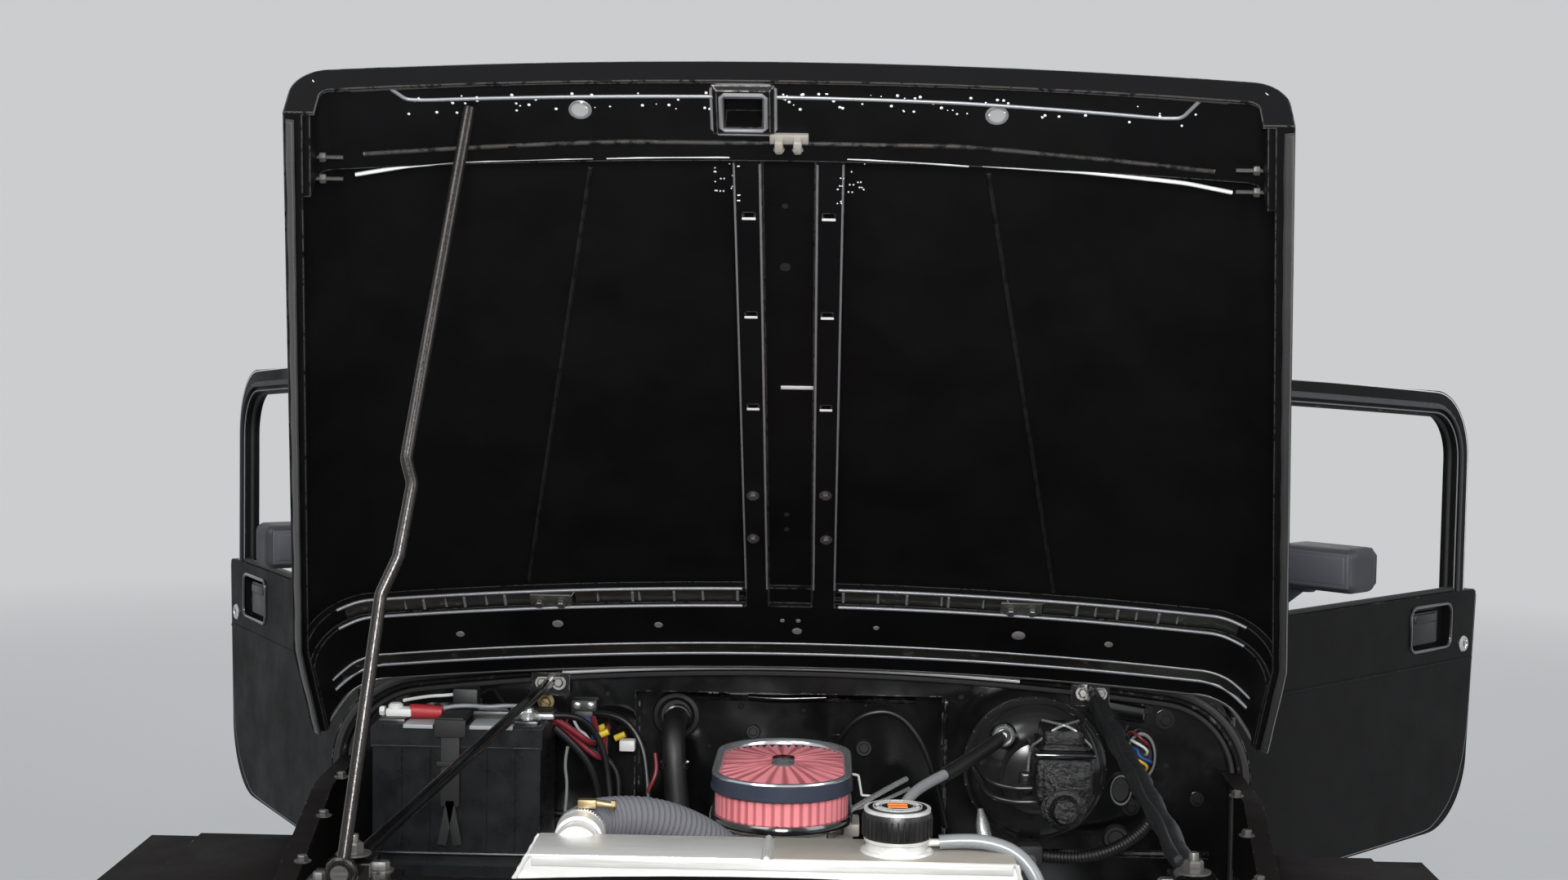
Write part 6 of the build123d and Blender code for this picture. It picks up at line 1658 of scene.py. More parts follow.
    def make_fasteners(self) -> None:
        """Bolts, nuts and plugs seen on the bulkhead."""
        rows = [(x, self.face, z, across, 0.008, across * 0.8) for x, z, across in (
            (-0.615, 1.040, 0.018), (0.587, 1.030, 0.019), (0.537, 0.890, 0.017), (0.557, 1.044, 0.012),
            (0.585, 0.860, 0.014), (0.640, 0.905, 0.014), (-0.640, 0.960, 0.013), (-0.570, 1.064, 0.010))]
        Shop.bolts("bulkhead_bolts", BOOSTER_PAINT, rows, FORWARD)
        rows = []
        for x, z, radius in ((-0.288, 1.052, 0.005), (-0.180, 1.040, 0.004), (0.268, 1.058, 0.005),
                             (0.440, 1.052, 0.004), (-0.080, 1.025, 0.005), (0.590, 0.955, 0.005),
                             (0.020, 1.020, 0.004), (-0.130, 0.960, 0.004), (0.300, 1.062, 0.003),
                             (-0.220, 1.058, 0.003), (0.120, 1.030, 0.003)):
            y = self.recess if abs(x) < 0.243 else self.face
            rows.append(((x, y, z), FORWARD, ((0.0, 0.002), (radius * 0.7, 0.0018), (radius, 0.0))))
        Shop.turned("bulkhead_plugs", BOOSTER_PAINT, rows, steps=16)
        rows = [((x, self.recess if x < 0.243 else self.face, z), FORWARD, (
            (0.0, 0.002), (r * 0.5, 0.002), (r * 0.6, 0.005), (r * 0.85, 0.005), (r, 0.001), (r, 0.0)))
                for x, z, r in ((0.118, 0.962, 0.014), (0.515, 0.840, 0.022), (-0.060, 0.985, 0.012))]
        Shop.turned("bulkhead_grommets", SEAL_RUBBER, rows)

    def make_wiring_panel(self) -> None:
        """Fits the two-lobed wiring pass-through, its coloured wires and the corrugated loom below it."""
        for name, finish, profile in (
                ("wiring_pass", SEAL_RUBBER,
                 ((0.0, 0.004), (0.030, 0.004), (0.034, 0.009), (0.041, 0.009), (0.044, 0.005),
                  (0.044, 0.0))),
                ("wiring_pass_ring", CABLE_GREY, ((0.0345, 0.0088), (0.0375, 0.0105), (0.0405, 0.0088)))):
            mesh = bmesh.new()
            for x, z, wide, high in ((0.550, 0.972, 0.58, 0.95), (0.520, 0.918, 0.42, 0.60)):
                place = Shop.stand((x, self.face, z), FORWARD) @ Matrix.Diagonal((wide, high, 1.0, 1.0))
                Shop.add_turned(mesh, profile, place, 36)
            Shop.piece(name, mesh, finish)
        finishes = (CABLE_RED, CABLE_WHITE, CABLE_BLUE, CABLE_YELLOW, CABLE_BLACK, CABLE_RED, CABLE_WHITE)
        for i, finish in enumerate(finishes):
            lean, z = 0.009 * math.sin(i * 2.4), 1.008 - 0.0125 * i
            Shop.hose(f"panel_wire_{i}", finish, 0.0024, (
                (0.530 + lean, 0.010, z), (0.533 - lean, -0.012, z + 0.008), (0.550 + lean, -0.022, z - 0.006),
                (0.562 - lean, -0.010, z - 0.018), (0.556, 0.010, z - 0.022)), sides=8)
        Shop.hose("corrugated_loom", HOSE_BLACK, 0.0100, (
            (0.578, 0.000, 0.908), (0.566, -0.020, 0.876), (0.520, -0.050, 0.846), (0.470, -0.070, 0.832),
            (0.420, -0.080, 0.830), (0.372, -0.090, 0.838)), 0.0022, 0.0056, 16)

    def make_control_cables(self) -> None:
        """Arches the thin control cable, the bracket and the throttle rod beside the air cleaner."""
        Shop.hoses((
            ("control_cable", CABLE_BLACK, 0.0044,
             ((0.062, 0.060, 0.930), (0.066, -0.060, 0.975), (0.078, -0.130, 1.020),
              (0.110, -0.150, 1.060), (0.160, -0.150, 1.066), (0.200, -0.145, 1.020),
              (0.222, -0.140, 0.960), (0.240, -0.100, 0.880))),
            ("throttle_rod", STAINLESS, 0.0038,
             ((0.085, -0.420, 0.972), (0.115, -0.380, 0.983), (0.172, -0.300, 0.9956))),
            ("throttle_link", STAINLESS, 0.0026,
             ((0.100, -0.390, 0.972), (0.140, -0.350, 0.974), (0.176, -0.300, 0.982))),
            ("idle_wire", CABLE_BLACK, 0.0024,
             ((0.055, -0.060, 1.000), (0.072, -0.080, 1.016), (0.086, -0.080, 1.010),
              (0.082, -0.070, 0.990), (0.066, -0.060, 0.984), (0.058, -0.050, 0.996))),
        ), 10)
        mesh = bmesh.new()
        line = ((0.094, -0.352, 1.012), (0.103, -0.350, 1.010), (0.108, -0.350, 0.982), (0.124, -0.350, 0.981))
        for pair in zip(line, line[1:]):
            Shop.add_tube(mesh, pair, 0.0017, 8)
        Shop.piece("cable_bracket", mesh, PALE_PLASTIC)

    def make_pressings(self) -> None:
        """Presses the bulkhead's long beads, a rounded pad by the wiring panel and a straight step at the
        recess's right-hand edge, and marks the recess top with a near-white painted highlight streak and
        glints.
        """
        mesh = bmesh.new()
        for x0, x1, z in ((-0.60, -0.30, 0.860), (0.30, 0.66, 0.815), (-0.20, 0.20, 1.040)):
            y = self.recess if abs(x0) < 0.25 else self.face
            Shop.add_tube(mesh, [(x0, y, z), ((x0 + x1) / 2, y, z), (x1, y, z)], 0.006, 10)
        turn = Matrix.Translation((0.512, self.face - 0.003, 1.044)) @ Matrix.Rotation(math.radians(9), 4, "Y")
        Shop.add_block(mesh, (-0.045, -0.007, -0.014, 0.045, 0.004, 0.014), 0.006, turn, 3)
        Shop.add_tube(mesh, [(0.2445, self.face - 0.001, z) for z in (0.72, 0.80, 0.88, 0.96, 1.05)], 0.0030,
                      10)
        Shop.piece("bulkhead_beads", mesh, BAY_PAINT)
        # A near-white streak along the recess top is a painted highlight.
        Shop.hose("recess_dent", BARE_STEEL_HIGHLIGHT, 0.0030,
                  [(-0.098, self.recess, 1.0462), (-0.060, self.recess - 0.002, 1.0475),
                   (-0.020, self.recess - 0.002, 1.0470), (0.018, self.recess, 1.0455)])
        # Near-white specks along the recess top are chipped paint and painted glints.
        rows = []
        for i in range(18):
            x, z = -0.045 + 0.085 * math.sin(i * 7.13), 1.044 + 0.004 * math.sin(i * 3.1)
            rows.append(((x, self.recess - 0.001, z), FORWARD,
                         ((0.0, 0.0012), (0.002 + 0.0014 * (i % 3), 0.0))))
        Shop.turned("bulkhead_chips", BARE_STEEL_HIGHLIGHT, rows, steps=7)


@dataclass
class Booster:
    """The wet-black brake booster: crimped rim, check valve, master cylinder, reservoir bail and pipes."""

    x: float = 0.374
    z: float = 0.972
    rear: float = -0.0443
    face: float = -0.1623
    master_x: float = 0.396
    master_z: float = 0.958
    valve_x: float = 0.318
    valve_z: float = 1.038

    def build(self) -> None:
        """Makes the booster's dressing."""
        self.make_drum()
        self.make_valve()
        self.make_master()
        self.make_pipes()

    def make_drum(self) -> None:
        """Rolls the drum's crimped rim, dishes its face and bolts its flange."""
        place = Shop.stand((self.x, self.rear, self.z), FORWARD)
        mesh = bmesh.new()
        Shop.add_turned(mesh, (
            (0.0, -0.028), (0.050, -0.028), (0.060, 0.002), (0.090, 0.006), (0.1015, 0.014), (0.1035, 0.036),
            (0.1082, 0.040), (0.1088, 0.046), (0.1082, 0.053), (0.1040, 0.057), (0.1020, 0.060),
            (0.1012, 0.070), (0.0985, 0.080), (0.0930, 0.0900), (0.0840, 0.0985), (0.0720, 0.1050),
            (0.0600, 0.1095), (0.0570, 0.1135), (0.0540, 0.1135), (0.0500, 0.1120), (0.0300, 0.1175),
            (0.0, 0.1180)), place, 96)
        drum = Shop.piece("booster_drum", mesh, BOOSTER_PAINT)
        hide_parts("brake_booster")
        Shop.blocks("booster_flange", BOOSTER_PAINT,
                    ((self.x - 0.030, self.face - 0.0095, 0.934, self.x + 0.074,
                      self.face + 0.014, 0.982),), 0.006, segments=3)
        mesh = bmesh.new()
        for i in range(24):
            angle = math.tau * i / 24
            spot = (self.x + 0.1070 * math.cos(angle), self.rear - 0.052, self.z + 0.1070 * math.sin(angle))
            bmesh.ops.create_icosphere(mesh, subdivisions=2, radius=0.0028, matrix=Matrix.Translation(spot))
        Shop.piece("booster_crimps", mesh, BOOSTER_PAINT)
        x, y, z = self.master_x, self.face - 0.0105, self.master_z
        Shop.bolts("booster_nuts", BOOSTER_PAINT,
                   [(x + dx, y, z, 0.017, 0.010, 0.012) for dx in (-0.042, 0.042)],
                   FORWARD)

    def make_valve(self) -> None:
        """Turns the check valve with its bright ring and leads its hose to the carburettor."""
        x, z, y = self.valve_x, self.valve_z, self.face - 0.020
        up = (0, -1, 0.1)
        Shop.turned("check_valve", GLOSS_BLACK, (((x, y, z), up, (
            (0.020, -0.014), (0.020, 0.004), (0.017, 0.008), (0.0155, 0.008), (0.0145, 0.013), (0.0095, 0.014),
            (0.0090, 0.010), (0.0, 0.010))),))
        Shop.turned("check_valve_ring", STAINLESS, (
            ((x, y, z), up, ((0.0095, 0.0135), (0.0122, 0.0155), (0.0148, 0.0130))),
            ((x, y, z), up, ((0.0, 0.0118), (0.0045, 0.0118), (0.0058, 0.0100)))))
        Shop.hoses((
            ("vacuum_hose_black", HOSE_BLACK, 0.0105,
             ((0.314, -0.192, 1.036), (0.300, -0.208, 1.028), (0.266, -0.245, 1.014),
              (0.226, -0.296, 1.001))),
            ("vacuum_hose_grey", CABLE_GREY, 0.0076,
             ((0.232, -0.288, 1.003), (0.205, -0.324, 0.998), (0.176, -0.368, 0.989),
              (0.160, -0.405, 0.972), (0.152, -0.435, 0.940), (0.140, -0.455, 0.915),
              (0.100, -0.450, 0.915))),
        ), 16)

    def make_master(self) -> None:
        """Casts the master cylinder and its reservoir in rough iron under black paint, with the wire bail."""
        x, z, y = self.master_x, self.master_z, self.face
        Shop.blocks("reservoir_casting", ROUGH_CASTING, (
            (x - 0.041, y - 0.139, z + 0.006, x + 0.041, y - 0.023, z + 0.071),
            (x - 0.033, y - 0.142, z + 0.012, x + 0.033, y - 0.020, z + 0.062)), 0.008, segments=3)
        Shop.turned("master_cylinder", ROUGH_CASTING, (
            ((x, y - 0.150, z), FORWARD,
             ((0.0, 0.014), (0.016, 0.014), (0.020, 0.008), (0.022, 0.0), (0.0275, -0.002),
                 (0.0285, -0.020), (0.0270, -0.030), (0.0270, -0.150))),
            ((x, y - 0.128, z), FORWARD, ((0.0270, 0.0), (0.0320, 0.003), (0.0320, 0.012), (0.0270, 0.015)))),
                    steps=40)
        Shop.blocks("reservoir_cover", GLOSS_BLACK, (
            (x - 0.0440, y - 0.1420, z + 0.0705, x + 0.0440, y - 0.0200, z + 0.0800),), 0.004, segments=3)
        Shop.blocks("reservoir_dome", ROUGH_CASTING, (
            (x - 0.0300, y - 0.1235, z + 0.0760, x + 0.0300, y - 0.0385, z + 0.1095),
            (x - 0.0350, y - 0.1290, z + 0.0780, x + 0.0350, y - 0.0330, z + 0.0900)), 0.009, segments=4)
        mesh = bmesh.new()
        for side in (-1, 1):
            line = [(x + 0.046 * side, y - 0.080, z + 0.040), (x + 0.046 * side, y - 0.084, z + 0.076),
                    (x + 0.034 * side, y - 0.110, z + 0.090), (x + 0.010 * side, y - 0.124, z + 0.114),
                    (x - 0.010 * side, y - 0.100, z + 0.1145), (x - 0.026 * side, y - 0.070, z + 0.113)]
            Shop.add_tube(mesh, Shop.smooth_path(line, 0.006), 0.0020, 8)
        Shop.piece("reservoir_bail", mesh, STAINLESS)

    def make_pipes(self) -> None:
        """Bends the two brake pipes from the cylinder round below the drum, and hangs the boot beside them."""
        for name, dz in (("brake_pipe_upper", 0.030), ("brake_pipe_lower", 0.010)):
            route = ((0.400, -0.250, 0.948 + dz), (0.350, -0.250, 0.944 + dz), (0.318, -0.245, 0.944 + dz),
                     (0.292, -0.230, 0.950 + dz), (0.280, -0.200, 0.968 + dz), (0.276, -0.160, 0.974 + dz))
            Shop.hose(name, BOOSTER_PAINT, 0.0042, route, sides=10)
        Shop.bolts("brake_unions", BOOSTER_PAINT,
                   [(0.378, -0.250, 0.946 + dz, 0.013, 0.014) for dz in (0.030, 0.010)],
                   (-1, 0, 0))
        mesh = bmesh.new()
        Shop.add_tube(mesh, [(0.284, -0.215, 0.935), (0.287, -0.225, 0.915), (0.292, -0.240, 0.885),
                             (0.294, -0.246, 0.868)],
                      [0.004, 0.010, 0.012, 0.009], 16)
        Shop.piece("kickdown_boot", mesh, STAINLESS)
        Shop.blocks("drum_strap", STRAP_RUBBER, ((0.346, -0.150, 0.832, 0.384, -0.120, 0.866),), 0.006)
        Shop.bolts("drum_strap_bolt", WORN_STEEL, ((0.365, -0.150, 0.8435, 0.012, 0.006, 0.009),), FORWARD)


@dataclass
class BayFrame:
    """The braces with their bolted feet, the taped loom, the prop rod's eye and the inner wings' bolts."""

    foot: Point = (0.455, -1.009, 1.046)
    head: Point = (0.467, 0.0, 1.074)

    def build(self) -> None:
        """Makes the bay's framework dressing."""
        self.make_loom_brace()
        self.make_brace_ends()
        self.make_prop_ends()
        self.make_inner_wings()

    def make_loom_brace(self) -> None:
        """Wraps the loom along the left-hand brace in tape, with its seams and ties."""
        foot, way = Vector(self.foot), Vector(self.head) - Vector(self.foot)
        mesh = bmesh.new()
        points, radii = [], []
        for i in range(121):
            share = 0.02 + 0.88 * i / 120
            points.append(foot + way * share
                          + Vector((0.0012 * math.sin(i * 0.35), 0, 0.0010 * math.cos(i * 0.27))))
            bulge = sum(size * math.exp(-((share - at) / width) ** 2)
                        for size, at, width in ((0.0022, 0.42, 0.02), (0.0016, 0.72, 0.03)))
            radii.append(0.0138 + bulge - (0.0006 if i % 4 == 0 else 0.0))
        Shop.add_tube(mesh, points, radii, 18)
        Shop.piece("taped_loom", mesh, LOOM_TAPE, sharp=60.0)
        mesh = bmesh.new()
        line = [foot + way * (0.04 + 0.84 * i / 30) + Vector((-0.010 - 0.002 * math.sin(i * 0.8), 0, 0.010))
                for i in range(31)]
        Shop.add_tube(mesh, line, 0.0052, 10)
        Shop.piece("loom_branch", mesh, LOOM_TAPE)

    def make_brace_ends(self) -> None:
        """Bolts the braces to the cowl and to the shelf behind the grille."""
        Shop.bolts("brace_head_bolts", WORN_STEEL, [(x, -0.006, 1.072, 0.015, 0.009, 0.011) for x in
                   (-0.388, -0.362, 0.455, 0.482)], (0, -1, 0.2))
        mesh = bmesh.new()
        for x in (-0.455, 0.455):
            Shop.add_bolt(mesh, (x, -1.009, 1.054), UP, 0.022, 0.012, 0.019)
            Shop.add_turned(mesh, ((0.0, 0.014), (0.005, 0.014), (0.0055, 0.0125), (0.0055, 0.0)),
                            Shop.stand((x, -1.009, 1.062)), 16)
        for x, y in ((-0.486, -1.034), (-0.428, -0.984), (0.486, -1.034), (0.428, -0.984)):
            Shop.add_bolt(mesh, (x, y, 1.030), UP, 0.015, 0.009, 0.012)
        Shop.piece("brace_foot_bolts", mesh, WORN_STEEL)

    def make_prop_ends(self) -> None:
        """Bends the prop rod's eye round its stud and pins it with a split pin."""
        mesh = bmesh.new()
        x, y, z = -0.457, -1.056, 1.046
        ring = [(x + 0.0125 * math.cos(a), y, z + 0.0125 * math.sin(a))
                for a in (math.radians(24 * i) for i in range(15))]
        Shop.add_tube(mesh, ring, 0.0052, 10, closed=True)
        Shop.piece("prop_eye", mesh, ROD_STEEL, PROP)
        Shop.turned("prop_washer", WORN_STEEL,
                    (((x, y - 0.0102, z), FORWARD, ((0.0, 0.003), (0.009, 0.003), (0.010, 0.0015),
                                                     (0.010, 0.0))),))

    def make_inner_wings(self) -> None:
        """Bolts down the inner wings' top edges."""
        rows = []
        for side in (-1, 1):
            for share in (0.12, 0.34, 0.56, 0.78, 0.94):
                rows.append((side * (0.684 - 0.148 * share), -0.03 - 1.11 * share, 0.950, 0.014, 0.007, 0.011))
        Shop.bolts("inner_wing_bolts", WORN_STEEL, rows, UP)


@dataclass
class Door:
    """A half door with its window frame: rubber channel, rivets, handle, lock, hinges, trim and mirror."""

    side: Side
    outside: float = 0.757
    inside: float = 0.715
    frame_out: float = 0.751
    front: float = 0.441
    rear: float = 1.279
    sill: float = 1.120
    head_front: float = 1.560
    head_rear: float = 1.528
    corner: float = 0.140
    bar: float = 0.046
    recess: tuple[float, float, float, float] = (1.062, 1.218, 1.010, 1.098)
    mirror_x: float = 0.903

    def build(self) -> None:
        """Makes the door's pieces."""
        self.make_window_channel()
        self.make_handle()
        self.make_panel_lines()
        self.make_hinges()
        self.make_trim()
        self.make_mirror()

    def name(self, part: str) -> str:
        """Returns the name of one of this door's pieces."""
        return f"{part}_{self.side.name.lower()}"

    def frame_path(self, inset: float, x: float) -> list[Point]:
        """Returns points round the window frame, from the front foot over the top to the rear foot.

        Args:
            inset: how far inside the frame's outline.
            x: the station across.

        Returns:
            The points.
        """
        front, rear, r = self.front + inset, self.rear - inset, self.corner - inset
        top, end = self.head_front - inset, self.head_rear - inset
        line = [(x, front, self.sill), (x, front, (self.sill + top) / 2)]
        line += [(x, front + r - r * math.cos(a), top - r + r * math.sin(a))
                 for a in (math.radians(11.25 * i) for i in range(9))]
        line += [(x, rear - r + r * math.sin(a), end - r + r * math.cos(a))
                 for a in (math.radians(11.25 * i) for i in range(9))]
        return line + [(x, rear, (self.sill + end) / 2), (x, rear, self.sill)]

    def make_window_channel(self) -> None:
        """Lines the frame with its grey felt channel, edges it with hems coloured near-white and pale grey as
        painted highlights, and rivets its corner.
        """
        on = DOORS[self.side]
        rows = (
            ("window_channel", CHANNEL_FELT, self.bar * 0.62, self.frame_out + 0.0002, 0.0100, 0.34),
            ("window_bead", SEAL_RUBBER, self.bar + 0.001, 0.736, 0.0045, 1.0),
            ("frame_hem", BARE_STEEL_HIGHLIGHT, 0.0025, self.frame_out - 0.001, 0.0016, 1.0),
            ("frame_hem_inner", RUBBED_EDGE_HIGHLIGHT, self.bar - 0.003, self.frame_out + 0.0006, 0.0014, 1.0),
        )
        for name, finish, inset, x, radius, flat in rows:
            mesh = bmesh.new()
            Shop.add_tube(mesh, Shop.smooth_path(self.frame_path(inset, x), 0.012), radius, 10, flat)
            Shop.piece(self.name(name), mesh, finish, on)
        path = Shop.smooth_path(self.frame_path(self.bar * 0.62, self.frame_out + 0.003), 0.0125)
        rows = [(path[i], ACROSS, ((0.0, 0.0022), (0.0018, 0.0018), (0.0028, 0.0)))
                for i in list(range(8, 34, 2)) + list(range(len(path) - 40, len(path) - 22, 2))]
        Shop.turned(self.name("frame_rivets"), WORN_STEEL, rows, on, 10)

    def make_handle(self) -> None:
        """Sinks the handle's gloss cup, hangs its paddle and fits the key lock beside it."""
        on = DOORS[self.side]
        y0, y1, z0, z1 = self.recess
        mesh = bmesh.new()
        loop = [(self.outside + 0.0004, y, z) for y,
                z in Shop.rounded_loop((y0, z0), (y1, z1), 0.018, 0.018, 5)]
        Shop.add_tube(mesh, loop, 0.0036, 10, closed=True)
        Shop.piece(self.name("handle_rim"), mesh, GLOSS_BLACK, on)
        # A thin pale grey line round the recess is a painted highlight on its rim.
        mesh = bmesh.new()
        Shop.add_tube(mesh, [(x + 0.0030, y, z) for x, y, z in loop], 0.0008, 8, closed=True)
        Shop.piece(self.name("handle_bright_line"), mesh, RUBBED_EDGE_HIGHLIGHT, on)
        Shop.blocks(self.name("handle_paddle"), CAP_BAKELITE, (
            (0.7400, 1.072, 1.020, 0.7545, 1.172, 1.088), (0.7420, 1.080, 1.064, 0.7580, 1.164, 1.084)), 0.005,
                    on, 3)
        Shop.blocks(self.name("handle_cup"), CAP_BAKELITE, ((0.7405, y0 + 0.004, z0 + 0.004, 0.7418, y1 - 0.004,
                                                            z1 - 0.004),), 0.0005, on)
        place = ((self.outside, 1.271, 1.010), ACROSS)
        Shop.turned(self.name("door_lock"), CHROME, ((*place, (
            (0.0165, 0.0), (0.0165, 0.002), (0.0145, 0.0045), (0.0105, 0.0045), (0.0100, 0.0030),
            (0.0, 0.0030))),), on, 40)
        # The key slot is a dark strip of painted shadow.
        Shop.blocks(self.name("door_key_slot"), PAINTED_HOLE_SHADOW,
                    ((self.outside + 0.0026, 1.2698, 1.0045, self.outside + 0.0034,
                      1.2722, 1.0155),), 0.0, on)

    def make_panel_lines(self) -> None:
        """Presses the crease along the door, hems its edge and seals its inner face."""
        on, x = DOORS[self.side], self.outside
        edge = [(x - 0.002, 0.442, 1.116), (x - 0.002, 0.440, 0.90), (x - 0.002, 0.442, 0.650),
                (x - 0.002, 0.470, 0.640), (x - 0.002, 0.80, 0.639), (x - 0.002, 1.130, 0.640),
                (x - 0.002, 1.180, 0.648), (x - 0.002, 1.255, 0.700), (x - 0.002, 1.294, 0.790),
                (x - 0.002, 1.306, 0.90), (x - 0.002, 1.317, 1.116)]
        rows = (
            ("door_crease", SATIN_PAINT,
             [(x - 0.001, 0.446, 0.978), (x - 0.001, 0.80, 0.978), (x - 0.001, 1.305, 0.978)],
             0.0042),
            # The edge hem's pale grey is rubbed steel lightened into a painted highlight.
            ("door_edge_hem", RUBBED_EDGE_HIGHLIGHT, edge, 0.0022),
            ("door_waist_seal", SEAL_RUBBER,
             [(x - 0.010, 0.490, 1.123), (x - 0.010, 0.86, 1.123), (x - 0.010, 1.235, 1.123)],
             0.0065),
            ("door_seal", SEAL_RUBBER, [(self.inside + 0.0020, y + (0.020 if y < 0.8 else -0.024), z + 0.012)
                                        for _, y, z in edge], 0.0045),
        )
        for name, finish, route, radius in rows:
            Shop.hose(self.name(name), finish, radius, route, sides=10, on=on)

    def make_hinges(self) -> None:
        """Bolts the outside hinges to the door and caps their pins."""
        on = DOORS[self.side]
        Shop.bolts(self.name("hinge_bolts"), WORN_STEEL,
                   [(0.762, y, z, 0.013, 0.005, 0.008) for z in (0.710, 0.970)
                    for y in (0.468, 0.500, 0.532)], ACROSS, on)
        Shop.turned(self.name("hinge_caps"), WORN_STEEL, [((0.769, 0.431, z), UP, (
            (0.0, 0.004), (0.005, 0.0035), (0.009, 0.0), (0.009, -0.001))) for z in (0.7202, 0.9802)], on, 20)
        Shop.blocks(self.name("door_latch"), WORN_STEEL, ((0.7295, 1.298, 0.960, 0.748, 1.3115, 1.020),
                                                          (0.7320, 1.304, 0.975, 0.743, 1.3130, 1.004)), 0.003,
                    on)

    def make_trim(self) -> None:
        """Sets the moulded inner panel, its pull, lever, winder and screws."""
        on, x = DOORS[self.side], self.inside
        Shop.blocks(self.name("door_card"), TRIM, (
            (x - 0.006, 0.575, 0.705, x + 0.013, 1.112, 0.975),
            (x - 0.012, 0.600, 0.725, x - 0.004, 1.085, 0.800),
            (x - 0.020, 0.640, 0.860, x - 0.004, 0.900, 0.884)), 0.006, on, 3)
        mesh = bmesh.new()
        pull = [(x - 0.006, 0.680, 0.905), (x - 0.040, 0.700, 0.905), (x - 0.044, 0.790, 0.905),
                (x - 0.040, 0.880, 0.905), (x - 0.006, 0.900, 0.905)]
        Shop.add_tube(mesh, Shop.smooth_path(pull, 0.008), 0.008, 12)
        Shop.piece(self.name("door_pull"), mesh, STRAP_RUBBER, on, 60.0)
        Shop.turned(self.name("window_winder"), GLOSS_BLACK, (
            ((x - 0.006, 0.980, 0.830), (-1, 0, 0),
             ((0.0, 0.022), (0.018, 0.020), (0.022, 0.012), (0.022, 0.0))),
            ((x - 0.028, 0.910, 0.812), (-1, 0, 0),
             ((0.0, 0.030), (0.008, 0.029), (0.011, 0.022), (0.009, 0.0)))), on)
        Shop.blocks(self.name("winder_arm"), GLOSS_BLACK, ((x - 0.030, 0.900, 0.804, x - 0.022, 0.990, 0.838),
                                                           (x - 0.020, 0.640, 0.948, x - 0.006, 0.720, 0.968)),
                    0.003, on)
        Shop.turned(self.name("card_screws"), WORN_STEEL, [((x - 0.006, y, z), (-1, 0, 0), (
            (0.0, 0.0008), (0.003, 0.0024), (0.0065, 0.0))) for y, z in (
                (0.592, 0.720), (0.592, 0.960), (1.095, 0.720), (1.095, 0.960), (0.840, 0.962),
                (0.840, 0.716))], on, 16)

    def make_mirror(self) -> None:
        """Gives the mirror its paler face, its glass and the screws of its foot."""
        on, x = DOORS[self.side], self.mirror_x
        Shop.blocks(self.name("mirror_face"), MIRROR_FACE,
                    ((x - 0.066, 0.4745, 1.2010, x + 0.066, 0.4790, 1.2630),
                     (x - 0.058, 0.4735, 1.2070, x + 0.058, 0.4780, 1.2570)),
                    0.0035, on, 3)
        Shop.blocks(self.name("mirror_glass"), CHROME,
                    ((x - 0.064, 0.5550, 1.2020, x + 0.064, 0.5572, 1.2620),), 0.0009, on)
        mesh = bmesh.new()
        loop = [(x + a * 0.068, 0.5566, 1.232 + b * 0.034) for a, b in (
            (-1, -0.7), (-0.88, -1), (0.88, -1), (1, -0.7), (1, 0.7), (0.88, 1), (-0.88, 1), (-1, 0.7))]
        Shop.add_tube(mesh, loop, 0.0028, 8, closed=True)
        Shop.piece(self.name("mirror_bezel"), mesh, MIRROR_SHELL, on)
        Shop.bolts(self.name("mirror_screws"), WORN_STEEL,
                   [(0.765, y, 1.107, 0.009, 0.004, 0.006) for y in (0.498, 0.534)], ACROSS, on)
        Shop.turned(self.name("mirror_pivot"), MIRROR_SHELL, (((x - 0.040, 0.514, 1.186), UP, (
            (0.0, 0.0), (0.014, 0.0), (0.018, 0.004), (0.020, 0.010), (0.0, 0.010))),), on)


